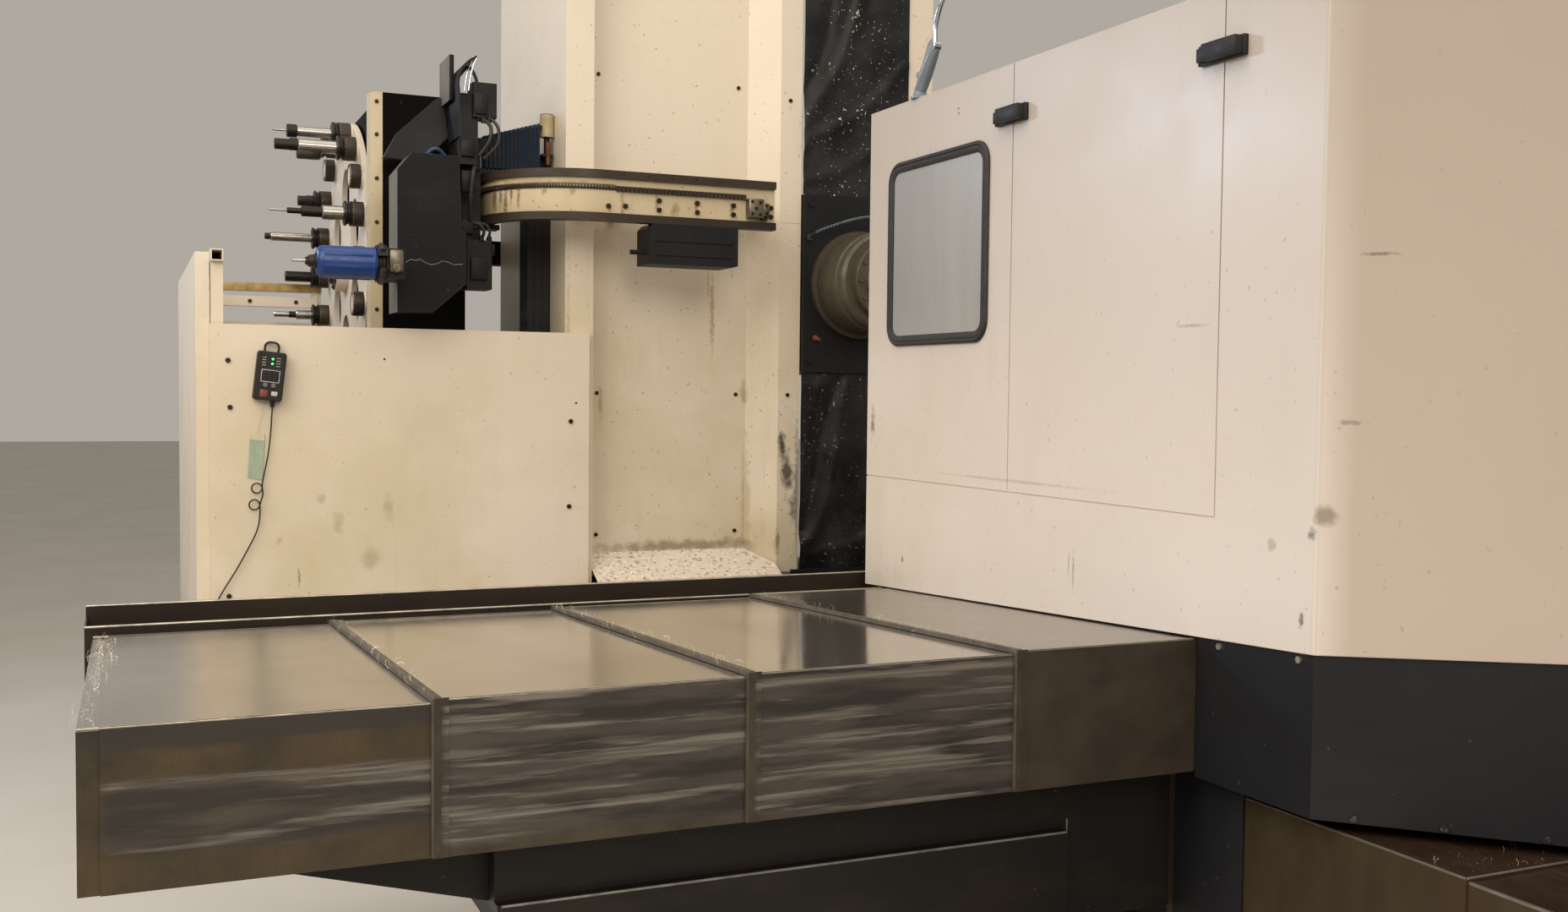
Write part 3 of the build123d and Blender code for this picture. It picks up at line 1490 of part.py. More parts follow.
# Magazine frame: a dark box column with a foot and a bearing boss
with BuildPart() as magazine_frame:
    with BuildSketch(Plane.XY):
        with Locations((frame_left - 60, frame_front)):
            Rectangle(
                frame_right - frame_left + 120, frame_back - frame_front, align=(Align.MIN, Align.MIN),
            )
    extrude(amount=30)
    with BuildSketch(Plane.XY.offset(30)):
        with Locations((frame_left, frame_front)):
            Rectangle(frame_right - frame_left, frame_back - frame_front, align=(Align.MIN, Align.MIN))
    extrude(amount=frame_top - 30)
    chamfer(
        magazine_frame.edges().filter_by(Axis.X).group_by(Axis.Z)[-1].sort_by(Axis.Y)[-1], 220,
    )
    with BuildSketch(Plane.YZ.offset(frame_left)):
        with Locations((disc_y, disc_z)):
            Circle(120)
    extrude(amount=disc_face + disc_thickness / 2 + fit - frame_left)
    # ties to the column
    for tie_z in (1000, 2050):
        with Locations((frame_right, column_back - 160, tie_z)):
            Box(column_left - frame_right, 100, 100, align=(Align.MIN, Align.MIN, Align.MIN))
keep(magazine_frame, "magazine_frame")

# Cream edge plate on the frame's front left edge
with BuildPart() as magazine_edge_plate:
    with BuildSketch(Plane.XY.offset(1400)):
        with Locations((-1860, frame_front)):
            Rectangle(frame_left - fit + 1860, 90, align=(Align.MIN, Align.MIN))
    extrude(amount=frame_top - 1400)
keep(magazine_edge_plate, "magazine_edge_plate")

# Magazine disc: a spoked plate with a hub and a pot at each station
with BuildPart() as magazine_disc:
    with BuildSketch(Plane.YZ.offset(disc_face - disc_thickness / 2)):
        with Locations((disc_y, disc_z)):
            Circle(590)
            with PolarLocations(300, 6, start_angle=30):
                Circle(110, mode=Mode.SUBTRACT)
    extrude(amount=disc_thickness)
    with BuildSketch(Plane.YZ.offset(disc_face - disc_thickness / 2)):
        with Locations((disc_y, disc_z)):
            Circle(95)
            with PolarLocations(pot_circle, pot_count):
                Circle(pot_radius)
    extrude(amount=-46)
keep(magazine_disc, "magazine_disc")

# Tools in the pots. Angles run from the near side of the disc upwards, sizes as length and radius.
tool_list = (
    (18, 190, 24), (54, 150, 30), (72, 230, 22), (126, 120, 34), (144, 210, 26),
    (162, 250, 20), (180, 140, 28), (198, 170, 24), (234, 160, 30), (288, 200, 22), (342, 150, 20),
)
pot_front = disc_face - disc_thickness / 2 - 46
with BuildPart() as magazine_tools:
    for angle, length, radius in tool_list:
        centre_y = disc_y - pot_circle * math.cos(math.radians(angle))
        centre_z = disc_z + pot_circle * math.sin(math.radians(angle))
        for start, depth, size in (
            (0, 28, 42), (28, 22, 34), (50, length * 0.5, radius),
            (50 + length * 0.5, length * 0.5, radius * 0.62),
        ):
            with BuildSketch(Plane.YZ.offset(pot_front - start)):
                with Locations((centre_y, centre_z)):
                    Circle(size)
            extrude(amount=-depth)
keep(magazine_tools, "magazine_tools")

# Guard round the magazine: front panel, left side, rear rails, and a square tube post at the corner
guard_front_plan = [
    (guard_panel_left, guard_face + 28), (guard_panel_left, guard_face),
    (guard_panel_right, guard_face), (guard_panel_right, guard_face + 16),
]
guard_side_plan = [
    (guard_left, guard_back), (guard_left, guard_face + 28), (guard_panel_left + sheet, guard_face + 28),
]
with BuildPart() as magazine_guard:
    with BuildSketch(Plane.XY.offset(60)):
        with BuildLine():
            Polyline(*folded(guard_front_plan, sheet), close=True)
        make_face()
    extrude(amount=guard_top - 60)
    with Locations((guard_panel_left, guard_face, guard_top - sheet)):
        Box(
            guard_panel_right - guard_panel_left, 16, sheet, align=(Align.MIN, Align.MIN, Align.MIN),
        )
    # left side sheet with its returned front edge
    with BuildSketch(Plane.XY.offset(60)):
        with BuildLine():
            Polyline(*folded(guard_side_plan, sheet), close=True)
        make_face()
    extrude(amount=guard_side_top - 60)
    # post down to the floor and the open square tube along the top
    with Locations((post_left, guard_face + 28 + sheet, 0)):
        Box(
            post_right - post_left, 40, post_top - 40, align=(Align.MIN, Align.MIN, Align.MIN),
        )
    with Locations((post_left - 7, guard_face + 26, guard_top - 60)):
        Box(post_left - guard_panel_left + 16, 10, 40, align=(Align.MIN, Align.MIN, Align.MIN))
    with BuildSketch(Plane.XZ.offset(-(guard_face + 8))):
        with Locations(((post_left + post_right) / 2, post_top - 20)):
            Rectangle(40, 40)
    extrude(amount=-(guard_back - guard_face - 8))
    with BuildSketch(Plane.XZ.offset(-(guard_face + 8))):
        with Locations(((post_left + post_right) / 2, post_top - 20)):
            Rectangle(32, 32)
    extrude(amount=-600, mode=Mode.SUBTRACT)
    with Locations((guard_left + sheet, guard_face + 400, guard_side_top - 30)):
        with GridLocations(0, 0, 1, 1):
            Box(
                post_left - guard_left - sheet, 60, 30, align=(Align.MIN, Align.MIN, Align.MIN),
            )
    with Locations((guard_left + sheet, guard_back - 100, guard_side_top - 30)):
        Box(post_left - guard_left - sheet, 60, 30, align=(Align.MIN, Align.MIN, Align.MIN))
    # rear rails and rear post
    with Locations((guard_left + sheet, guard_back, rear_rail_z)):
        Box(frame_left - 60 - guard_left, 40, 35, align=(Align.MIN, Align.MAX, Align.MIN))
    with Locations((guard_left + sheet, guard_back, rear_rail_z - 69)):
        Box(frame_left - 80 - guard_left, guard_rail_depth, 45, align=(Align.MIN, Align.MAX, Align.MIN))
    with Locations((guard_left + sheet, guard_back, 60)):
        Box(frame_left - 60 - guard_left, sheet, 1740, align=(Align.MIN, Align.MAX, Align.MIN))
    for rear_post_x in (guard_left + sheet, frame_left - 100):
        with Locations((rear_post_x, guard_back, 0)):
            Box(40, 40, rear_rail_z, align=(Align.MIN, Align.MAX, Align.MIN))
    # tabs that bolt the front panel to the column's cover
    for tab_z in (400, 1500):
        with Locations(((column_cover_left + guard_panel_right) / 2, guard_face + sheet, tab_z)):
            Box(
                40, cover_face - guard_face - sheet, 50, align=(Align.CENTER, Align.MIN, Align.MIN),
            )
    # hook for the pendant and the boss where its cord goes in
    with BuildSketch(Plane.XZ.offset(-guard_face)):
        with Locations((-2246, 1662)):
            Circle(5)
    extrude(amount=12)
    with Locations((guard_panel_left + 17, guard_face, 764)):
        Box(26, 24, 30, align=(Align.CENTER, Align.MAX, Align.MAX))
keep(magazine_guard, "magazine_guard")

# Bolts of the guard, the column cover and the rail plate
guard_bolt_spots = [
    (guard_panel_left + 59, guard_top - 122), (guard_panel_left + 65, guard_top - 280),
    (guard_panel_left + 59, 800), (guard_panel_right - 71, guard_top - 325),
    (guard_panel_right - 76, guard_top - 640),
]
strip_bolt_spots = [(recess_slope_end + 40, height) for height in (column_top - 770, column_top - 220)]
strip_bolt_spots += [(recess_slope_end + 40, column_top - 1920)]
recess_sides = (recess_left + 45, recess_right - 42)
recess_bolt_spots = [(x, z) for x in recess_sides for z in (chute_top + 70, 1500, column_top - 720)]
rail_bolt_spots = [
    (rail_end + x, rail_low + z) for x in (-456, -309, -167, -17) for z in (50, 83)
] + [(rail_bend_x + 22, rail_low + 53), (rail_bend_x + 85, rail_low + 56)]
with BuildPart() as cover_bolts:
    with BuildSketch(Plane.XZ.offset(-guard_face)):
        with Locations(*guard_bolt_spots):
            RegularPolygon(9, 6)
    extrude(amount=6)
    with BuildSketch(Plane.XZ.offset(-cover_face)):
        with Locations(*strip_bolt_spots):
            RegularPolygon(8, 6)
    extrude(amount=5)
    with BuildSketch(Plane.XZ.offset(-cover_face - recess_depth)):
        with Locations(*recess_bolt_spots):
            RegularPolygon(8, 6)
    extrude(amount=5)
    with BuildSketch(Plane.XZ.offset(-rail_face)):
        with Locations(*rail_bolt_spots):
            Circle(9)
    extrude(amount=7)
keep(cover_bolts, "cover_bolts")

# Pendant on its hook: a slim case with a loop handle, hung against the front panel
pendant_x = -2241
pendant_z = 1546
pendant_tilt = 6.5
pendant_plane = Plane(
    origin=(pendant_x, guard_face - fit, pendant_z),
    x_dir=(math.cos(math.radians(pendant_tilt)), 0, -math.sin(math.radians(pendant_tilt))),
    z_dir=(0, -1, 0),
)
with BuildPart() as pendant:
    with BuildSketch(pendant_plane):
        RectangleRounded(94, 166, 10)
    extrude(amount=40)
    fillet(pendant.edges().group_by(Axis.Y)[0], 4)
    with BuildSketch(pendant_plane.offset(12)):
        with Locations((-2, 94)):
            RectangleRounded(52, 48, 20)
            RectangleRounded(38, 34, 13, mode=Mode.SUBTRACT)
        with Locations((0, 0)):
            Rectangle(92, 164, mode=Mode.SUBTRACT)
    extrude(amount=10)
    with BuildSketch(pendant_plane.offset(39)):
        with Locations((4, -4)):
            RectangleRounded(72, 112, 4)
    extrude(amount=3)
    with BuildSketch(Plane.XY.offset(1440.5)):
        with Locations((-2231.6, guard_face - 12)):
            Circle(7)
    extrude(amount=36)
keep(pendant, "pendant")

# Pendant cord: it hangs from the gland, makes two small curls and goes down to the boss on the guard.
# Straight runs joined by tangent arcs; the curls step sideways so that the cord passes itself.
cord_radius = 2.5
cord_y = guard_face - 12
curl_radius = 17.6
curl_steps = 10
curl_shift = -7


def curl(centre_x, centre_z, start_y, shift):
    """Corners of one full turn of the cord, from the right of the curl down and round."""
    corners = []
    for number in range(curl_steps + 1):
        angle = -2 * math.pi * number / curl_steps
        corners.append((
            centre_x + curl_radius * math.cos(angle),
            start_y + shift * number / curl_steps,
            centre_z + curl_radius * math.sin(angle),
        ))
    return corners


cord_points = [
    (-2231.6, cord_y, 1440.1),
    (-2234, cord_y, 1400),
    (-2237, cord_y, 1357),
    (-2241, cord_y, 1317),
    (-2245.5, cord_y, 1282),
    (-2250.5, cord_y, 1253),
    (-2255.5, cord_y, 1229),
    (-2260, cord_y, 1209),
    (-2263.4, cord_y, 1192),
    (-2265, cord_y, 1179),
]
cord_points += curl(-2282.8, 1166, cord_y, curl_shift)
cord_points += [
    (-2263.6, cord_y + curl_shift, 1153),
    (-2264.4, cord_y + curl_shift, 1139),
    (-2269.4, cord_y + curl_shift, 1124),
]
cord_points += curl(-2291, 1110, cord_y + curl_shift, -curl_shift)
cord_points += [
    (-2272.4, cord_y, 1097),
    (-2272.6, cord_y, 1080),
    (-2274, cord_y, 1058),
    (-2279, cord_y, 1032),
    (-2289, cord_y, 1004),
    (-2305, cord_y, 972.5),
    (-2327.5, cord_y, 929),
    (-2354, cord_y, 881),
    (-2381.5, cord_y, 837),
    (-2401.5, cord_y, 803),
    (-2411, cord_y, 780),
    (-2414, cord_y, 764.9),
]
cord_arcs = []
for before, here, after in zip(cord_points, cord_points[1:], cord_points[2:]):
    first_run = math.dist(before, here)
    second_run = math.dist(here, after)
    dot = sum((b - a) * (d - c) for a, b, c, d in zip(before, here, here, after))
    turn = math.acos(max(-1, min(1, dot / (first_run * second_run))))
    cord_arcs.append(0.45 * min(first_run, second_run) / math.tan(turn / 2))
print("cord arcs from", round(min(cord_arcs), 1), "to", round(max(cord_arcs), 1))
with BuildPart() as pendant_cord:
    with BuildLine() as cord_path:
        FilletPolyline(*cord_points, radius=cord_arcs)
    with BuildSketch(Plane(cord_path.line @ 0, z_dir=cord_path.line % 0)):
        Circle(cord_radius)
    sweep(path=cord_path.line)
cord_length = sum(edge.length for edge in cord_path.edges())
print("cord length", round(cord_length, 1))
print("volume over section times length", round(
    pendant_cord.part.volume / (math.pi * cord_radius ** 2 * cord_length), 4,
))
keep(pendant_cord, "pendant_cord")
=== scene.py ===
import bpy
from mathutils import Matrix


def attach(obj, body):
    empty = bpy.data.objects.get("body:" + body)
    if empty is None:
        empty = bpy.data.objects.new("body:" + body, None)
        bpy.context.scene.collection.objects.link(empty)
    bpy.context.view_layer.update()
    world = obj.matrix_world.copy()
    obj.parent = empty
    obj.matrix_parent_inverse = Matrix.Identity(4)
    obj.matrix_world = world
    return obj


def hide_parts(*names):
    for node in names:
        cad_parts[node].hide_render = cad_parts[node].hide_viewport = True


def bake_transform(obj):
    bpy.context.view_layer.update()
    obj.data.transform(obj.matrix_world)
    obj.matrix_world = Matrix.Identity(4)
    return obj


bl_info = {
    "name": "Horizontal Boring Mill",
    "version": (1, 0, 0),
    "blender": (4, 5, 0),
    "location": "3D View > Sidebar > Boring Mill",
    "description": "Dresses the boring mill: finishes, curtains, cord, cable chain, wipers, chips and stage",
    "category": "Object",
}

from math import cos, pi, radians, sin

import bmesh
import bpy
from bpy.props import FloatProperty, FloatVectorProperty, IntProperty, PointerProperty
from mathutils import Matrix, Vector, noise

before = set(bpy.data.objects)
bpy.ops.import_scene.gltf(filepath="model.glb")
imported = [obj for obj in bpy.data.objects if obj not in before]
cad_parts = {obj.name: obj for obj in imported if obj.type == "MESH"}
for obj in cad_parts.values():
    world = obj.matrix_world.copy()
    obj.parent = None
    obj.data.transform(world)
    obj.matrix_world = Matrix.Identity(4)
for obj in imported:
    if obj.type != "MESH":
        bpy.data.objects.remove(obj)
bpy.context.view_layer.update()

MM = 0.001

# Places in millimetres that the frame's source gives: covers, walls, window, curtains, changer, magazine
COVER_NEAR = -650
COVER_FAR = 650
COVER_TOP = 1000
COVER_DROP = 64.5
COVER_SLOPE = COVER_DROP / (COVER_FAR - COVER_NEAR)
COVER_BOTTOM = 743
COVER_STEP_UP = 6
COVER_STEP_OUT = 4.3
COVER_EDGES = (-2729, -2235, -1681, -1123)
COVER_END = -2761
BED_SIDE_X = -640
WALL_X = -694
WALL_CORNER_Y = -994
WALL_FRONT_Y = -1444
WALL_TOP = 2323
WALL_RIGHT_X = 1694
WALL_CHAMFER = WALL_CORNER_Y - WALL_FRONT_Y
WINDOW_Y = (153, 685)
WINDOW_Z = (1644, 2158)
WINDOW_BEND = 60
CURTAIN_SIDES = (-244, 220)
CURTAIN_PLANE = 2264
GUARD_FACE_Y = 2250
RAIL_PIVOT_X, RAIL_PIVOT_Y, RAIL_REACH = -1135, 2380, 350
TOOL_Y, TOOL_Z = 2030, 1925
MAGAZINE_X, MAGAZINE_Y, MAGAZINE_Z = -1838, 3300, 2000
POT_FACE_X = MAGAZINE_X - 57
POT_CIRCLE = 550


def linear(code):
    """Turns an sRGB hex colour into linear red, green, blue and a full alpha."""
    parts = [int(code[place:place + 2], 16) / 255 for place in (1, 3, 5)]
    bent = [part / 12.92 if part <= 0.04045 else ((part + 0.055) / 1.055) ** 2.4 for part in parts]
    return (*bent, 1.0)


def colour(code, name, description):
    """A colour property with an sRGB hex default."""
    return FloatVectorProperty(
        name=name, description=description, subtype="COLOR", size=4, min=0, max=1, default=linear(code),
    )


def length(default, name, description):
    """A length property, kept in metres, with its default in millimetres."""
    return FloatProperty(
        name=name, description=description, default=default * MM, min=0, unit="LENGTH", precision=4,
    )


class MillColours(bpy.types.PropertyGroup):
    """Colours of the mill's paints, metals and cloth."""
    enclosure: colour("#E6DDD5", "Enclosure enamel", "Cream paint of the enclosure")
    doors: colour("#DDD2C3", "Door enamel", "Cream paint of the two front doors")
    column: colour("#E8DCCA", "Column enamel", "Cream paint of the column's covers")
    guard: colour("#E6DAC8", "Guard enamel", "Cream paint of the magazine's guard and disc")
    film: colour("#B5A468", "Yellow film", "Oil mist that has yellowed the cream paint")
    slate: colour("#1D1E22", "Slate paint", "Dark paint of the castings and the skirt")
    satin_black: colour("#0F1012", "Satin black", "Paint of the tool changer and the head's plate")
    cover_steel: colour("#B7B0A7", "Cover steel", "Ground sheet steel of the cross way covers")
    cover_film: colour("#373026", "Brown film", "Dried coolant and rust on the covers' sides")
    snout_iron: colour("#575143", "Snout iron", "Turned casting round the spindle")
    curtain: colour("#0E0F10", "Curtain", "Coated cloth above and below the head")
    tool_blue: colour("#12397A", "Tool blue", "Moulded sleeve of the tool in the gripper")


class MillSizes(bpy.types.PropertyGroup):
    """Sizes of the small pieces that are fitted over the frame."""
    fold_width: length(34, "Fold width", "Width of the long soft folds of the curtains")
    fold_depth: length(9, "Fold depth", "How far the long folds stand out of the curtain")
    crease_depth: length(3.5, "Crease depth", "How far the loose creases of the cloth stand out")
    lip_width: length(13, "Wiper clamp", "Width of the steel clamp behind each rubber lip")
    fold_radius: length(2.6, "Cover fold", "Radius of the bright fold along the covers' top edges")
    wall_radius: length(7, "Wall fold", "Radius of the folded corners of the enclosure")
    chip_curl: length(12, "Chip curl", "Radius of the curl of one chip before its random size")
    chip_width: length(3.6, "Chip width", "Width of one curled chip")
    screw_radius: length(4.5, "Screw head", "Radius of the small screw heads on the covers")
    tooth_pitch: length(11, "Rack pitch", "Distance between the teeth of the changer's rack")
    gasket_width: length(29, "Gasket width", "Width of the rubber frame round the window")
    strip_screws: IntProperty(
        name="Strip screws", description="Screws along each end strip", default=15, min=2, max=60,
    )


def per(size):
    """Pattern scale, in features to the metre, for a feature of this many millimetres."""
    return 1000 / size


def fill(tree, node, sockets):
    """Fills a node's sockets with links, hex colours or plain values."""
    for key, value in sockets.items():
        socket = node.inputs[key]
        if isinstance(value, bpy.types.NodeSocket):
            tree.links.new(value, socket)
        else:
            socket.default_value = linear(value) if isinstance(value, str) else value


def add_node(tree, kind, sockets=None, stops=None, **settings):
    """Adds a node, sets its properties and ramp stops, and fills its sockets."""
    made = tree.nodes.new(kind)
    for name, value in settings.items():
        setattr(made, name, value)
    fill(tree, made, sockets or {})
    if stops:
        ramp = made.color_ramp.elements
        ramp[0].position, ramp[0].color = stops[0]
        ramp[1].position, ramp[1].color = stops[-1]
    return made


# Marks of use: place, reach along x, y and z in millimetres, shade and strength
WALL_MARKS = (
    ((-694, 312, 2243), (20, 7, 5), "#5A5348", 0.8), ((-694, 314, 2256), (20, 7, 5), "#5A5348", 0.8),
    ((-694, 584, 1045), (20, 7, 12), "#4A4238", 0.7), ((-694, 776, 1425), (20, 16, 50), "#4F483F", 0.7),
    ((-694, -637, 1657), (20, 60, 4), "#8C7F6E", 0.5), ((-694, -236, 1108), (20, 5, 55), "#7E715F", 0.5),
    ((-694, -218, 1120), (20, 4, 40), "#7E715F", 0.4), ((-694, -962, 1097), (20, 8, 18), "#4A4238", 0.7),
    ((-694, -984, 1262), (20, 14, 12), "#4A4238", 0.7), ((-684, -1004, 1296), (30, 26, 26), "#85755F", 0.7),
    ((-694, -879, 1231), (20, 16, 16), "#9A8B76", 0.5), ((-654, -1033, 1468), (30, 30, 6), "#6F6252", 0.5),
    ((-628, -1060, 1772), (40, 40, 4), "#5B5044", 0.6), ((-694, 20, 1299), (20, 420, 5), "#8F8372", 0.35),
    ((-694, 400, 2330), (20, 500, 16), "#B39A66", 0.4),
)
COLUMN_MARKS = (
    ((-582, 2370, 1830), (12, 60, 190), "#A8843C", 0.6), ((-600, 2370, 1930), (7, 60, 90), "#A8843C", 0.4),
    ((-322, 2270, 1307), (18, 60, 70), "#2E281F", 0.9), ((-296, 2270, 1190), (28, 60, 100), "#2E281F", 0.85),
    ((-272, 2270, 1055), (22, 60, 70), "#2E281F", 0.7), ((-336, 2270, 923), (14, 60, 60), "#4A4032", 0.6),
    ((-254, 2270, 1120), (14, 60, 300), "#40382B", 0.6), ((-700, 2370, 905), (420, 60, 30), "#6B5A40", 0.6),
    ((-1190, 2270, 1400), (10, 60, 700), "#8A7A58", 0.4), ((-446, 2370, 1500), (16, 60, 60), "#8E7440", 0.5),
    ((-1035, 2370, 1470), (12, 60, 80), "#8E7440", 0.5), ((-436, 2370, 1100), (20, 60, 260), "#9A8652", 0.4),
)
GUARD_MARKS = (
    ((-2145, 2250, 852), (5, 60, 34), "#6E6350", 0.7), ((-2016, 2250, 1036), (26, 60, 40), "#A08F6C", 0.5),
    ((-1901, 2250, 914), (40, 60, 46), "#A08F6C", 0.45), ((-1843, 2250, 1091), (26, 60, 52), "#A08F6C", 0.45),
    ((-2072, 2250, 1125), (20, 60, 24), "#A08F6C", 0.4), ((-2211, 2250, 983), (16, 60, 14), "#8E7E60", 0.4),
)
RAIL_MARKS = tuple(
    ((x, 2200, z), (reach, 400, high), "#6E4E1C", strength) for x, z, reach, high, strength in (
        (-1466, 2190, 6, 60, 0.8), (-1452, 2200, 5, 45, 0.9), (-1440, 2180, 7, 70, 0.8),
        (-1425, 2205, 5, 40, 0.8), (-1405, 2195, 6, 55, 0.7), (-1330, 2215, 12, 26, 0.6),
        (-1240, 2210, 16, 22, 0.5), (-1060, 2180, 10, 60, 0.6), (-930, 2190, 12, 50, 0.6),
        (-860, 2170, 26, 40, 0.5), (-780, 2185, 10, 50, 0.6), (-640, 2185, 12, 50, 0.7),
        (-500, 2190, 12, 50, 0.6),
    )
)


def level(value):
    """A grey of one value, for a mask or a roughness."""
    return (value, value, value, 1)


def open_finish(name):
    """Starts a material: its tree, its surface shader and the piece's own coordinates."""
    made = bpy.data.materials.new(name)
    made.use_nodes = True
    tree = made.node_tree
    tree.nodes.clear()
    shader = add_node(tree, "ShaderNodeBsdfPrincipled")
    add_node(tree, "ShaderNodeOutputMaterial", {"Surface": shader.outputs["BSDF"]})
    place = add_node(tree, "ShaderNodeTexCoord").outputs["Object"]
    return tree, shader, place


def close_finish(tree, shader, sockets, height=None, strength=0.1, depth=0.5):
    """Fills the surface shader and gives it a fine relief, its depth in millimetres."""
    fill(tree, shader, sockets)
    if height is not None:
        bump = add_node(tree, "ShaderNodeBump", {
            "Height": height, "Strength": strength, "Distance": depth * MM,
        })
        fill(tree, shader, {"Normal": bump.outputs[0]})


def grain(tree, place, size, detail=2.0):
    """Height of a fine surface grain of a real size."""
    return add_node(tree, "ShaderNodeTexNoise", {
        "Vector": place, "Scale": per(size), "Detail": detail,
    }).outputs[0]


def tops(tree):
    """A mask of the faces that look up."""
    normal = add_node(tree, "ShaderNodeNewGeometry").outputs["Normal"]
    parts = add_node(tree, "ShaderNodeSeparateXYZ", {0: normal}).outputs
    return rise(tree, parts[2], 0.7, 0.9)


def pattern(tree, place, size, low, high, stretch=(1, 1, 1), detail=3.0, shift=(0, 0, 0)):
    """A mask of soft patches of a real size, stretched along the axes, cut between two levels."""
    spot = add_node(tree, "ShaderNodeMapping", {
        "Vector": place, "Location": shift, "Scale": tuple(1 / part for part in stretch),
    })
    cloud = add_node(tree, "ShaderNodeTexNoise", {
        "Vector": spot.outputs[0], "Scale": per(size), "Detail": detail, "Roughness": 0.6,
    })
    return add_node(
        tree, "ShaderNodeValToRGB", {"Fac": cloud.outputs[0]}, stops=[(low, level(0)), (high, level(1))],
    ).outputs[0]


def times(tree, first, second):
    """Product of two masks."""
    return add_node(tree, "ShaderNodeMath", {0: first, 1: second}, operation="MULTIPLY").outputs[0]


def over(tree, under, upper, mask):
    """One coat of colour laid over another where the mask is light."""
    return add_node(tree, "ShaderNodeMix", {0: mask, 6: under, 7: upper}, data_type="RGBA").outputs[2]


def rise(tree, value, start, end, low=0.0, high=1.0):
    """A mask that goes from one level to another between two values."""
    return add_node(tree, "ShaderNodeMapRange", {
        "Value": value, "From Min": start, "From Max": end, "To Min": low, "To Max": high,
    }).outputs[0]


def stain(tree, place, centre, radii):
    """A mask of one ragged mark at a place in millimetres, as far along each axis as its radii."""
    spot = add_node(tree, "ShaderNodeMapping", {
        "Vector": place, "Location": tuple(-part / reach for part, reach in zip(centre, radii)),
        "Scale": tuple(1000 / reach for reach in radii),
    })
    far = add_node(tree, "ShaderNodeVectorMath", {0: spot.outputs[0]}, operation="LENGTH")
    ragged = pattern(tree, place, max(8, min(radii) * 1.5), 0.25, 0.75, detail=4)
    edge = add_node(tree, "ShaderNodeMath", {0: far.outputs["Value"], 1: ragged}, operation="ADD")
    return rise(tree, edge.outputs[0], 0.8, 1.5, 1.0, 0.0)


def machine_enamel(name, paint, film, film_from, film_to, axis=2, film_low=0.15, drips=0.4, foot=None,
                   dots=0.4, gloss=0.36, smudge=0.3, painted_shade_chamfer=0.0, painted_shade_top=0.0, marks=()):
    """Two-pack machine enamel, sprayed on sheet steel and baked. It gives a soft semi-gloss with a faint
    orange peel. Oil mist yellows it in broad clouds and runs down it in thin vertical drips."""
    tree, shader, place = open_finish(name)
    parts = add_node(tree, "ShaderNodeSeparateXYZ", {0: place}).outputs
    reach = rise(tree, parts[axis], film_from, film_to, film_low, 1.0)
    clouds = pattern(tree, place, 620, 0.32, 0.72, detail=4)
    coat = over(tree, paint, film, times(tree, times(tree, clouds, reach), 0.62))
    runs = pattern(tree, place, 60, 0.50, 0.74, stretch=(1, 1, 14), detail=4)
    thin = pattern(tree, place, 14, 0.60, 0.74, stretch=(1, 1, 42), shift=(3, 1, 0))
    where = pattern(tree, place, 420, 0.46, 0.66, shift=(7, 2, 4))
    drip = times(tree, times(tree, over(tree, runs, thin, 0.5), where), times(tree, reach, drips))
    coat = over(tree, coat, "#8A6A38", drip)
    smears = pattern(tree, place, 240, 0.55, 0.80, stretch=(1, 1, 1.6), shift=(2, 9, 5))
    coat = over(tree, coat, "#9A8C74", times(tree, smears, smudge))
    specks = pattern(tree, place, 16, 0.735, 0.75, detail=1, shift=(5, 5, 1))
    coat = over(tree, coat, "#3B3026", times(tree, specks, dots))
    if painted_shade_chamfer:
        # painted shade: the chamfered front beyond the wall's corner is drawn darker and pinker
        front_from, front_to = (WALL_CORNER_Y + 4) * MM, (WALL_CORNER_Y - 46) * MM
        coat = over(tree, coat, "#A8907C", rise(tree, parts[1], front_from, front_to, 0.0, painted_shade_chamfer))
    if foot:
        # darker and browner towards the foot, in ragged patches
        lower_darkening = rise(tree, parts[2], foot[0], foot[1], 1.0, 0.0)
        rough_edge = pattern(tree, place, 260, 0.30, 0.78, detail=6, shift=(1, 4, 8))
        coat = over(tree, coat, "#6B5B42", times(tree, times(tree, lower_darkening, rough_edge), 0.6))
    if painted_shade_top:
        # painted shade: the paint is drawn greyer and darker towards the top
        coat = over(tree, coat, "#A2978B", rise(tree, parts[2], 1.15, 2.35, 0.0, painted_shade_top))
    for centre, radii, shade, strength in marks:
        coat = over(tree, coat, shade, times(tree, stain(tree, place, centre, radii), strength))
    close_finish(tree, shader, {
        "Base Color": coat, "Roughness": rise(tree, clouds, 0, 1, gloss - 0.04, gloss + 0.14), "IOR": 1.5,
    }, grain(tree, place, 4, 1.0), 0.06, 1)


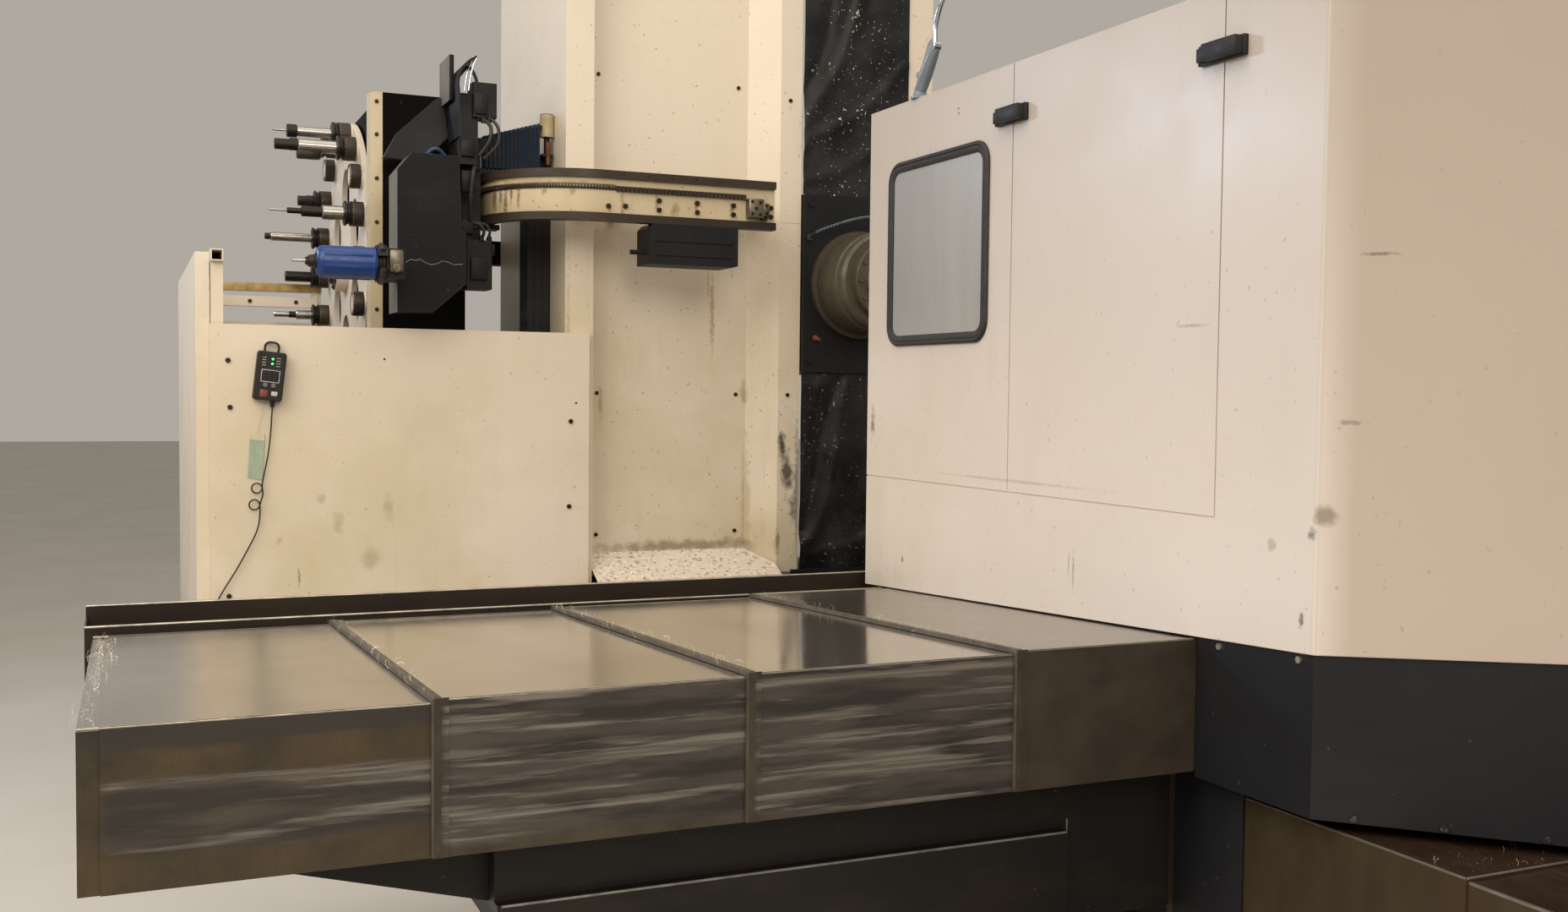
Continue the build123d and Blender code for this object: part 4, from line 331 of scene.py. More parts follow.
def structural_paint(name, paint, worn, gloss=0.42, oil=0.5, lit_side=0.0, nicks=0.12, shine=0.3):
    """Thick alkyd paint rolled on rough castings and plate. It gives a dark satin surface, broken by oil
    smears that shine, by grey dust and by small chips down to the primer."""
    tree, shader, place = open_finish(name)
    clouds = pattern(tree, place, 340, 0.35, 0.75, detail=5)
    coat = over(tree, paint, worn, times(tree, clouds, 0.35))
    wipes = pattern(tree, place, 120, 0.52, 0.72, stretch=(3.5, 3.5, 1), shift=(4, 0, 2))
    coat = over(tree, coat, "#4A4036", times(tree, wipes, oil * 0.55))
    chips = pattern(tree, place, 22, 0.73, 0.74, detail=2, shift=(2, 3, 1))
    coat = over(tree, coat, "#8B8478", times(tree, chips, nicks))
    if lit_side:
        # painted light: the faces to the machine's left are drawn lighter grey, in streaks
        normal = add_node(tree, "ShaderNodeNewGeometry").outputs["Normal"]
        lean = add_node(tree, "ShaderNodeSeparateXYZ", {0: normal}).outputs[0]
        streak = pattern(tree, place, 160, 0.25, 0.75, stretch=(1, 1, 2), detail=4)
        left = times(tree, rise(tree, lean, -0.6, -0.9), rise(tree, streak, 0, 1, 0.5, 1.0))
        coat = over(tree, coat, "#8B857A", times(tree, left, lit_side))
    close_finish(tree, shader, {
        "Base Color": coat, "Roughness": rise(tree, wipes, 0, 1, gloss + 0.08, gloss - 0.14),
        "Specular IOR Level": shine,
    }, grain(tree, place, 18, 3.0), 0.12, 2)


def polished_cover_steel(name, steel, film, scuffs, shift, low, high, start, end, polish=0.09,
                         wash_shade="#5A5140", edge_band=0.0):
    """Stainless sheet, polished and folded. The tops are wiped on every stroke and mirror what stands
    round them. The sides dry to a brown film with a fine upright grain, and the wipers scrape it off in
    long level streaks, dark and light, between the heights and the ends that are given."""
    tree, shader, place = open_finish(name)
    along, _, height = add_node(tree, "ShaderNodeSeparateXYZ", {0: place}).outputs
    top = tops(tree)
    haze = pattern(tree, place, 300, 0.34, 0.72, stretch=(1, 2.6, 1), detail=3, shift=shift)
    sweep = pattern(tree, place, 12, 0.40, 0.64, stretch=(60, 1, 1), detail=2)
    deck = over(tree, steel, "#94897A", times(tree, haze, 0.45))
    deck = over(tree, deck, "#E2DCD0", times(tree, sweep, 0.10))
    ragged = pattern(tree, place, 60, 0.30, 0.70, stretch=(3, 1, 1), detail=4, shift=shift)
    inside = times(
        tree,
        times(tree, rise(tree, height, low * MM, (low + 34) * MM),
              rise(tree, height, (high - 26) * MM, high * MM, 1.0, 0.0)),
        times(tree, rise(tree, along, start * MM, (start + 30) * MM),
              rise(tree, along, (end - 12) * MM, end * MM, 1.0, 0.0)),
    )
    field = add_node(tree, "ShaderNodeMath", {
        0: times(tree, inside, 1.9), 1: ragged,
    }, operation="SUBTRACT", use_clamp=True).outputs[0]
    broad = pattern(tree, place, 44, 0.44, 0.58, stretch=(9, 1, 1), detail=6, shift=shift)
    bright = pattern(tree, place, 24, 0.50, 0.60, stretch=(18, 1, 1), detail=5, shift=(shift[1], 2, shift[0]))
    lines = pattern(tree, place, 7, 0.50, 0.58, stretch=(70, 1, 1), detail=2)
    upright = pattern(tree, place, 3.4, 0.40, 0.64, stretch=(1, 1, 16), detail=2)
    wash = pattern(tree, place, 120, 0.36, 0.66, stretch=(1, 1, 0.8), detail=5, shift=(1, 8, 3))
    side = over(tree, film, wash_shade, times(tree, wash, 0.6))
    side = over(tree, side, "#241C12", times(tree, upright, 0.13))
    side = over(tree, side, "#504C49", times(tree, field, 0.62 * scuffs))
    side = over(tree, side, "#292624", times(tree, times(tree, broad, field), 0.85 * scuffs))
    if edge_band:
        # the next cover's wiper turns the strip below the fold grey
        lower = add_node(tree, "ShaderNodeMath", {
            0: height, 1: times(tree, ragged, 0.022),
        }, operation="SUBTRACT").outputs[0]
        band = rise(tree, lower, (edge_band - 12) * MM, edge_band * MM)
        side = over(tree, side, "#35322F", times(tree, band, 0.85))
    light = times(tree, times(tree, bright, field), scuffs)
    side = over(tree, side, "#7E7870", times(tree, light, 0.75))
    side = over(tree, side, "#A39D93", times(tree, times(tree, lines, light), 0.45))
    bare = add_node(tree, "ShaderNodeMath", {
        0: times(tree, light, 0.6), 1: top,
    }, operation="MAXIMUM").outputs[0]
    smooth = over(tree, level(polish), level(polish + 0.08), haze)
    close_finish(tree, shader, {
        "Base Color": over(tree, side, deck, top), "Metallic": rise(tree, bare, 0, 1, 0.15, 0.88),
        "Roughness": over(tree, level(0.46), smooth, top),
    }, haze, 0.04, 2)


def browned_cover_steel(name, film):
    """Sheet steel browned by coolant that was left to dry. Tops keep a wet red-brown shine with dull
    scratches along the stroke, and sides dry to a flat olive brown that runs down in faint washes."""
    tree, shader, place = open_finish(name)
    top = tops(tree)
    clouds = pattern(tree, place, 200, 0.32, 0.70, stretch=(1, 1.4, 1), detail=5)
    lines = pattern(tree, place, 8, 0.50, 0.62, stretch=(1, 50, 1), detail=3)
    wash = pattern(tree, place, 90, 0.36, 0.70, stretch=(1, 1, 2.4), detail=5)
    rust = pattern(tree, place, 260, 0.55, 0.75, stretch=(1, 1, 1.6), detail=4, shift=(4, 4, 4))
    deck = over(tree, "#33241A", "#4E3A2A", clouds)
    deck = over(tree, deck, "#8D8476", times(tree, times(tree, lines, clouds), 0.16))
    side = over(tree, film, "#5B5039", times(tree, wash, 0.6))
    side = over(tree, side, "#5A3A1E", times(tree, rust, 0.6))
    wet = over(tree, level(0.24), level(0.42), clouds)
    close_finish(tree, shader, {
        "Base Color": over(tree, side, deck, top), "Roughness": over(tree, level(0.5), wet, top),
        "Metallic": 0.35,
    })


def speckled_chute(name, paint):
    """Painted sheet under a crust of fine chips. The chips are drawn at 14 mm, far larger than real, so
    that the render still shows the light and dark grains."""
    tree, shader, place = open_finish(name)
    dark = pattern(tree, place, 16, 0.56, 0.62, detail=3)
    light = pattern(tree, place, 13, 0.60, 0.64, detail=2, shift=(4, 1, 2))
    drift = pattern(tree, place, 150, 0.35, 0.65, shift=(1, 5, 2))
    coat = over(tree, paint, "#6A5A44", times(tree, dark, rise(tree, drift, 0, 1, 0.45, 0.9)))
    # the near-white grains are chips, drawn with their glints painted in
    coat = over(tree, coat, "#FBF6EC", times(tree, light, 0.8))
    close_finish(tree, shader, {
        "Base Color": coat, "Roughness": rise(tree, light, 0, 1, 0.5, 0.25),
    }, grain(tree, place, 9, 3.0), 0.6, 6)


def turned_iron(name, metal, axis_scale, gloss, film=0.4, bare=0.9, feed=0.12):
    """Grey iron or steel turned on a lathe. Fine feed rings catch the light, and a thin oil film browns
    it in patches."""
    tree, shader, place = open_finish(name)
    drawn = add_node(tree, "ShaderNodeMapping", {"Vector": place, "Scale": axis_scale}).outputs[0]
    clouds = pattern(tree, place, 70, 0.36, 0.68, detail=5)
    close_finish(tree, shader, {
        "Base Color": over(tree, metal, "#2B2318", times(tree, clouds, film)), "Metallic": bare,
        "Roughness": rise(tree, clouds, 0, 1, gloss, gloss + 0.18),
    }, grain(tree, drawn, 3), feed)


def moulded_plastic(name, shade, worn, gloss):
    """Injection-moulded plastic with a fine spark-eroded grain. Edges and high places are polished by
    hands and by oil."""
    tree, shader, place = open_finish(name)
    wipes = pattern(tree, place, 35, 0.42, 0.68, detail=4)
    close_finish(tree, shader, {
        "Base Color": over(tree, shade, worn, times(tree, wipes, 0.4)), "IOR": 1.49,
        "Roughness": rise(tree, wipes, 0, 1, gloss, gloss + 0.16),
    }, grain(tree, place, 2.5))


def coated_cloth(name, shade):
    """Woven polyester with a black vinyl coating. It hangs in stiff creases that shine a little, and
    small chips and splashes of coolant cling to it as light specks."""
    tree, shader, place = open_finish(name)
    dusty = pattern(tree, place, 170, 0.40, 0.74, detail=5)
    coat = over(tree, shade, "#3A3A3B", times(tree, dusty, 0.45))
    # specks are drawn at about 8 mm, larger than real splashes, so that the render still shows them
    near = pattern(tree, place, 13, 0.66, 0.69, detail=2)
    groups = pattern(tree, place, 240, 0.40, 0.60, shift=(2, 2, 6))
    parts = add_node(tree, "ShaderNodeSeparateXYZ", {0: place}).outputs
    upper = rise(tree, parts[2], 1.2, 2.4, 0.25, 1.0)
    coat = over(tree, coat, "#D9D6CE", times(tree, times(tree, near, groups), upper))
    # a weave of 1.6 mm threads, coarser than the real one
    weave = add_node(tree, "ShaderNodeTexWave", {"Vector": place, "Scale": per(1.6) / 2}, bands_direction="Z")
    close_finish(tree, shader, {
        "Base Color": coat, "Roughness": rise(tree, dusty, 0, 1, 0.36, 0.6), "Specular IOR Level": 0.35,
    }, weave.outputs[1], 0.05, 0.4)


def plain_finish(name, shade, gloss, metal=0.0, speck=6, mottled=0.25, dirt="#2A231B"):
    """A small fitting's finish: an even colour with soft dirt clouds and a faint surface grain."""
    tree, shader, place = open_finish(name)
    clouds = pattern(tree, place, 45, 0.40, 0.72, detail=4)
    close_finish(tree, shader, {
        "Base Color": over(tree, shade, dirt, times(tree, clouds, mottled)), "Metallic": metal,
        "Roughness": rise(tree, clouds, 0, 1, gloss, gloss + 0.15),
    }, grain(tree, place, speck), 0.08)


def heads_by_height(name, zinc, paint):
    """Zinc-plated bolt heads. The upper ones are bare and bright, and the ones at the skirt's foot were
    painted over with it, so they hardly show."""
    tree, shader, place = open_finish(name)
    parts = add_node(tree, "ShaderNodeSeparateXYZ", {0: place}).outputs
    upper = rise(tree, parts[2], 0.82, 0.88)
    worn = pattern(tree, place, 8, 0.5, 0.62, detail=3)
    painted = over(tree, paint, "#6E6A66", times(tree, worn, 0.5))
    close_finish(tree, shader, {
        "Base Color": over(tree, painted, zinc, upper), "Metallic": rise(tree, upper, 0, 1, 0.0, 0.8),
        "Roughness": rise(tree, worn, 0, 1, 0.3, 0.5),
    })


def hazed_pane(name):
    """Polycarbonate sheet, cast clear and hazed by years of chips and wiping. Little is seen through it;
    it shows a milky grey with faint upright wipe marks."""
    tree, shader, place = open_finish(name)
    wipes = pattern(tree, place, 70, 0.30, 0.75, stretch=(1, 1, 6), detail=2)
    clouds = pattern(tree, place, 420, 0.3, 0.7, detail=1)
    shade = over(tree, "#A0A09D", "#A5A5A1", wipes)
    close_finish(tree, shader, {
        "Base Color": over(tree, shade, "#8F908F", times(tree, clouds, 0.6)), "IOR": 1.58,
        "Roughness": rise(tree, wipes, 0, 1, 0.27, 0.285), "Transmission Weight": 0.04,
    })


def glowing_led(name, shade):
    """Small moulded lens of a lamp that is on. It gives a spot of its own colour."""
    tree, shader, place = open_finish(name)
    core = pattern(tree, place, 3, 0.2, 0.9, detail=0)
    close_finish(tree, shader, {
        "Base Color": over(tree, shade, level(1), times(tree, core, 0.4)), "Roughness": 0.3,
        "Emission Color": shade, "Emission Strength": 1.2,
    })


def stock(name):
    """The finished material of that name."""
    return bpy.data.materials[name]


def block(mesh, low, high, edge=0.0, spin=None):
    """A block between two corners, with rounded edges if asked, turned about its middle by a matrix."""
    made = bmesh.ops.create_cube(mesh, size=1)["verts"]
    middle = (Vector(low) + Vector(high)) / 2
    size = Vector(high) - Vector(low)
    for vert in made:
        vert.co = Vector([vert.co[axis] * size[axis] for axis in range(3)])
    if edge:
        edges = list({link for vert in made for link in vert.link_edges})
        made = bmesh.ops.bevel(
            mesh, geom=edges, offset=edge, segments=2, affect="EDGES", profile=0.5, clamp_overlap=True,
        )["verts"]
        made = list({vert for face in {f for v in made for f in v.link_faces} for vert in face.verts})
    for vert in made:
        vert.co = (spin @ vert.co if spin else vert.co) + middle


def ring(mesh, centre, side, other, radius, sides):
    """A round of vertices about a centre, in the plane of two directions."""
    return [
        mesh.verts.new(centre + (side * cos(turn) + other * sin(turn)) * radius)
        for turn in (2 * pi * step / sides for step in range(sides))
    ]


def skin(mesh, rings, ends=True):
    """Joins closed rows of vertices into a skin and closes its two ends."""
    for first, second in zip(rings, rings[1:]):
        for step in range(len(first)):
            nxt = (step + 1) % len(first)
            mesh.faces.new((first[step], first[nxt], second[nxt], second[step]))
    if ends:
        mesh.faces.new(rings[0][::-1])
        mesh.faces.new(rings[-1])


def web(mesh, rows):
    """Joins open rows of vertices into one sheet that faces one way."""
    for first, second in zip(rows, rows[1:]):
        for step in range(len(first) - 1):
            mesh.faces.new((first[step], first[step + 1], second[step + 1], second[step]))
    bmesh.ops.recalc_face_normals(mesh, faces=mesh.faces)


def turned(mesh, start, direction, profile, sides=20):
    """A lathe shape: steps of distance and radius along a direction from a start point."""
    along = Vector(direction).normalized()
    side = along.orthogonal().normalized()
    other = along.cross(side)
    rings = []
    for distance, radius in profile:
        centre = Vector(start) + along * distance
        rings.append(ring(mesh, centre, side, other, radius, sides) if radius else [mesh.verts.new(centre)])
    for first, second in zip(rings, rings[1:]):
        if len(first) == len(second):
            if len(first) > 1:
                skin(mesh, [first, second], ends=False)
            continue
        for step in range(sides):
            nxt = (step + 1) % sides
            if len(first) == 1:
                mesh.faces.new((first[0], second[nxt], second[step]))
            else:
                mesh.faces.new((first[step], first[nxt], second[0]))
    if len(rings[0]) > 1:
        mesh.faces.new(rings[0][::-1])
    if len(rings[-1]) > 1:
        mesh.faces.new(rings[-1])


def pipe(mesh, points, radius, sides=8):
    """A round bar or hose along points, with flat ends."""
    spots = [Vector(point) for point in points]
    up = (spots[1] - spots[0]).orthogonal().normalized()
    rings = []
    for number, spot in enumerate(spots):
        before = spots[max(0, number - 1)]
        after = spots[min(len(spots) - 1, number + 1)]
        along = (after - before).normalized()
        up = (up - along * up.dot(along)).normalized()
        rings.append(ring(mesh, spot, up, along.cross(up), radius, sides))
    skin(mesh, rings)


def bend(points, steps=8):
    """Smooths a hose's few points into a flowing line that passes through them."""
    line = []
    spots = [Vector(point) for point in (points[0], *points, points[-1])]
    for number in range(1, len(spots) - 2):
        a, b, c, d = spots[number - 1:number + 3]
        for step in range(steps):
            t = step / steps
            line.append(0.5 * (
                2 * b + (c - a) * t + (2 * a - 5 * b + 4 * c - d) * t * t
                + (3 * b - a - 3 * c + d) * t * t * t
            ))
    return line + [spots[-1]]


def slab(mesh, outline, axis, low, high):
    """A flat outline given thickness along one axis. The outline's two numbers are the other axes."""
    rings = []
    for depth in (low, high):
        corners = [list(pair) for pair in outline]
        for corner in corners:
            corner.insert(axis, depth)
        rings.append([mesh.verts.new(corner) for corner in corners])
    skin(mesh, rings)


def show(name, data):
    """An object made from its data, at the origin of the scene."""
    piece = bpy.data.objects.new(name, data)
    bpy.context.scene.collection.objects.link(piece)
    return piece


def settle(name, mesh, finish, body, replaces=(), crisp=32):
    """Turns the collected shape into a finished piece in metres, and fixes it to its body where the body is a
    name.
    """
    bmesh.ops.recalc_face_normals(mesh, faces=mesh.faces)
    data = bpy.data.meshes.new(name)
    mesh.to_mesh(data)
    mesh.free()
    data.transform(Matrix.Scale(MM, 4))
    return place_mesh(name, data, finish, body, replaces, crisp)


def place_mesh(name, data, finish, body, replaces=(), crisp=32):
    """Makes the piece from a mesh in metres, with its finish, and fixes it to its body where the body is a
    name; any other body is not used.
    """
    data.name = name
    data.materials.clear()
    data.materials.append(stock(finish))
    data.shade_smooth()
    data.set_sharp_from_angle(angle=radians(crisp))
    piece = show(name, data)
    if isinstance(body, str):
        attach(piece, body)
    else:
        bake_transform(piece)
    if replaces:
        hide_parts(*replaces)
    return piece


def grow(tree, carrier, values):
    """Runs a geometry tree on a carrier mesh and gives back the plain mesh that it makes."""
    holder = show("carrier", carrier)
    step = holder.modifiers.new("grow", "NODES")
    step.node_group = tree
    for item in tree.interface.items_tree:
        if item.in_out == "INPUT" and item.name in values:
            step[item.identifier] = values[item.name]
    holder.update_tag()
    graph = bpy.context.evaluated_depsgraph_get()
    made = bpy.data.meshes.new_from_object(holder.evaluated_get(graph))
    holder.modifiers.clear()
    bpy.data.objects.remove(holder)
    return made


def open_tree(name, inputs):
    """Starts a geometry tree with named inputs, each with its socket kind and default."""
    tree = bpy.data.node_groups.new(name, "GeometryNodeTree")
    tree.interface.new_socket("Geometry", in_out="OUTPUT", socket_type="NodeSocketGeometry")
    tree.interface.new_socket("Geometry", in_out="INPUT", socket_type="NodeSocketGeometry")
    for label, (kind, default) in inputs.items():
        socket = tree.interface.new_socket(label, in_out="INPUT", socket_type=kind)
        if default is not None:
            socket.default_value = default
    return tree, add_node(tree, "NodeGroupInput").outputs


def close_tree(tree, geometry, material):
    """Ends a geometry tree with real geometry in its material."""
    real = add_node(tree, "GeometryNodeRealizeInstances", {0: geometry})
    coated = add_node(tree, "GeometryNodeSetMaterial", {0: real.outputs[0], "Material": material})
    add_node(tree, "NodeGroupOutput", {0: coated.outputs[0]})


def chip_tree():
    """Curled chips strewn over the carrier's faces: short bent strips of random turn and size."""
    tree, given = open_tree("chips", {
        "Density": ("NodeSocketFloat", 2000.0),
        "Chip curl": ("NodeSocketFloat", 0.007),
        "Chip width": ("NodeSocketFloat", 0.002),
        "Lift": ("NodeSocketFloat", 0.002),
        "Seed": ("NodeSocketInt", 3),
        "Material": ("NodeSocketMaterial", None),
    })
    spots = add_node(tree, "GeometryNodeDistributePointsOnFaces", {
        "Mesh": given["Geometry"], "Density": given["Density"], "Seed": given["Seed"],
    })
    raised = add_node(tree, "GeometryNodeSetPosition", {
        0: spots.outputs[0],
        "Offset": add_node(tree, "ShaderNodeCombineXYZ", {2: given["Lift"]}).outputs[0],
    })
    arc = add_node(tree, "GeometryNodeCurveArc", {
        "Resolution": 5, "Radius": given["Chip curl"], "Sweep Angle": 2.2,
    })
    edge = add_node(tree, "GeometryNodeCurvePrimitiveLine", {
        "End": add_node(tree, "ShaderNodeCombineXYZ", {2: given["Chip width"]}).outputs[0],
    })
    strip = add_node(tree, "GeometryNodeCurveToMesh", {0: arc.outputs[0], 1: edge.outputs[0]})
    turn = add_node(tree, "FunctionNodeRandomValue", {
        0: (0.0, 0.0, 0.0), 1: (2 * pi, 2 * pi, 2 * pi), "Seed": given["Seed"],
    }, data_type="FLOAT_VECTOR")
    size = add_node(tree, "FunctionNodeRandomValue", {2: 0.22, 3: 0.8, "Seed": given["Seed"]})
    strewn = add_node(tree, "GeometryNodeInstanceOnPoints", {
        "Points": raised.outputs[0], "Instance": strip.outputs[0], "Rotation": turn.outputs[0],
        "Scale": size.outputs[1],
    })
    close_tree(tree, strewn.outputs[0], given["Material"])
    return tree


def screw_tree():
    """A row of round screw heads with a dished top, between two points."""
    tree, given = open_tree("screw row", {
        "Start": ("NodeSocketVector", (0, 0, 0)),
        "End": ("NodeSocketVector", (0, 1, 0)),
        "Count": ("NodeSocketInt", 10),
        "Radius": ("NodeSocketFloat", 0.005),
        "Height": ("NodeSocketFloat", 0.003),
        "Facing": ("NodeSocketVector", (0, 0, 1)),
        "Material": ("NodeSocketMaterial", None),
    })
    row = add_node(tree, "GeometryNodeMeshLine", {
        "Count": given["Count"], 2: given["Start"], 3: given["End"],
    }, mode="END_POINTS")
    head = add_node(tree, "GeometryNodeMeshCylinder", {
        "Vertices": 10, "Radius": given["Radius"], "Depth": given["Height"],
    })
    half = times(tree, given["Height"], 0.5)
    crown = add_node(tree, "GeometryNodeMeshCone", {
        "Vertices": 10, "Radius Bottom": given["Radius"], "Radius Top": times(tree, given["Radius"], 0.6),
        "Depth": half,
    })
    lift = add_node(tree, "ShaderNodeCombineXYZ", {2: half})
    cap = add_node(tree, "GeometryNodeTransform", {0: crown.outputs[0], "Translation": lift.outputs[0]})
    whole = add_node(tree, "GeometryNodeJoinGeometry")
    tree.links.new(head.outputs[0], whole.inputs[0])
    tree.links.new(cap.outputs[0], whole.inputs[0])
    aim = add_node(tree, "FunctionNodeAlignRotationToVector", {"Vector": given["Facing"]}, axis="Z")
    placed = add_node(tree, "GeometryNodeInstanceOnPoints", {
        "Points": row.outputs[0], "Instance": whole.outputs[0], "Rotation": aim.outputs[0],
    })
    close_tree(tree, placed.outputs[0], given["Material"])
    return tree


def rib_tree():
    """The ribs of the cable chain: thin upright blades in a row, each a little taller than the last."""
    tree, given = open_tree("chain ribs", {
        "Start": ("NodeSocketVector", (0, 0, 0)),
        "End": ("NodeSocketVector", (1, 0, 0)),
        "Count": ("NodeSocketInt", 14),
        "Thickness": ("NodeSocketFloat", 0.008),
        "Depth": ("NodeSocketFloat", 0.076),
        "First height": ("NodeSocketFloat", 0.1),
        "Height step": ("NodeSocketFloat", 0.005),
        "Material": ("NodeSocketMaterial", None),
    })
    row = add_node(tree, "GeometryNodeMeshLine", {
        "Count": given["Count"], 2: given["Start"], 3: given["End"],
    }, mode="END_POINTS")
    blade = add_node(tree, "GeometryNodeMeshCylinder", {"Vertices": 12, "Radius": 0.5, "Depth": 1.0})
    lifted = add_node(tree, "GeometryNodeTransform", {0: blade.outputs[0], "Translation": (0, 0, 0.5)})
    number = add_node(tree, "GeometryNodeInputIndex")
    grown = add_node(tree, "ShaderNodeMath", {
        0: number.outputs[0], 1: given["Height step"], 2: given["First height"],
    }, operation="MULTIPLY_ADD")
    size = add_node(tree, "ShaderNodeCombineXYZ", {
        0: given["Thickness"], 1: given["Depth"], 2: grown.outputs[0],
    })
    placed = add_node(tree, "GeometryNodeInstanceOnPoints", {
        "Points": row.outputs[0], "Instance": lifted.outputs[0], "Scale": size.outputs[0],
    })
    close_tree(tree, placed.outputs[0], given["Material"])
    return tree


def tooth_tree():
    """Rack teeth, small blocks at an even pitch along the carrier's line, each turned to follow it."""
    tree, given = open_tree("rack teeth", {
        "Pitch": ("NodeSocketFloat", 0.011),
        "Tooth": ("NodeSocketFloat", 0.0055),
        "Height": ("NodeSocketFloat", 0.013),
        "Depth": ("NodeSocketFloat", 0.010),
        "Material": ("NodeSocketMaterial", None),
    })
    line = add_node(tree, "GeometryNodeMeshToCurve", {0: given["Geometry"]})
    spots = add_node(tree, "GeometryNodeCurveToPoints", {
        0: line.outputs[0], "Length": given["Pitch"],
    }, mode="LENGTH")
    size = add_node(tree, "ShaderNodeCombineXYZ", {0: given["Height"], 1: given["Depth"], 2: given["Tooth"]})
    tooth = add_node(tree, "GeometryNodeMeshCube", {"Size": size.outputs[0]})
    placed = add_node(tree, "GeometryNodeInstanceOnPoints", {
        "Points": spots.outputs[0], "Instance": tooth.outputs[0], "Rotation": spots.outputs["Rotation"],
    })
    close_tree(tree, placed.outputs[0], given["Material"])
    return tree


def strip_mesh(corners=((0, 0, 0), (1, 0, 0), (1, 1, 0), (0, 1, 0))):
    """A carrier of flat quads, four corners each, in millimetres. One plain quad does for a tree that
    makes its own points."""
    data = bpy.data.meshes.new("carrier")
    faces = [tuple(range(start, start + 4)) for start in range(0, len(corners), 4)]
    data.from_pydata([Vector(corner) * MM for corner in corners], [], faces)
    return data


def cover_z(y, step=0):
    """Height of a cross cover's sloped top at a place across it."""
    return COVER_TOP + COVER_STEP_UP * step - COVER_SLOPE * (y - COVER_NEAR)


# Frame nodes in each finish; the cross covers' own finishes are added as they are made
COATS = {
    "enclosure enamel": "enclosure",
    "door enamel": "front_door_left front_door_right",
    "column enamel": "column_front_cover column_right_guard",
    "guard enamel": "magazine_guard magazine_disc",
    "rail enamel": "changer_rail magazine_edge_plate",
    "slate paint": "table_skirt column",
    "casting paint": "z_bed saddle leveling_feet head_housing",
    "trough paint": "chip_trough",
    "black with painted side light": "carriage_cover",
    "shadowed black": "magazine_frame",
    "satin black": "changer_carriage carriage_shield tool_gripper actuator_box cable_duct head_front_plate "
                   "curtain_bar",
    "track black": "rail_tracks",
    "chute enamel": "chip_chute",
    "browned cover steel": "z_cover_front_1 z_cover_front_2 z_cover_front_3 z_cover_rear_1 z_cover_rear_2 "
                           "z_cover_rear_3",
    "planed iron": "rotary_table table_slide",
    "turned snout iron": "spindle_snout nose_ring",
    "bright turned steel": "milling_spindle boring_spindle",
    "toolholder steel": "magazine_tools",
    "oiled screws": "cover_bolts",
    "painted bolt heads": "enclosure_bolts",
    "black plastic": "latch_blocks pendant",
    "curtain cloth": "curtain_upper curtain_lower",
    "blue plastic": "gripped_tool",
    "chain plastic": "cable_chain",
    "black rubber": "window_gasket pendant_cord",
    "hazed pane": "window_pane",
    "chromed tube": "work_lamp",
}
# The cross covers from the outside in: how much the wipers have scuffed the side, the pattern's shift,
# the heights of the scuffed band, its ends on the left and on the right, the top's roughness, the wash's
# shade and the height above which the side is grey, or 0 where it isn't
COVER_LOOKS = (
    ("one", 0.85, (0, 0, 0), 786, 922, (-2740, -2210), (2172, 2740), 0.17, "#604F33", 958),
    ("two", 1.0, (3, 1, 5), 745, 1030, (-2232, -1655), (1965, 2540), 0.09, "#5E5440", 0),
    ("three", 1.0, (6, 4, 2), 728, 1036, (-1680, -1098), (1750, 2330), 0.09, "#5A5343", 0),
    ("four", 0.0, (1, 7, 3), 760, 1000, (-1090, 0), (1200, 2090), 0.17, "#4C463A", 0),
)


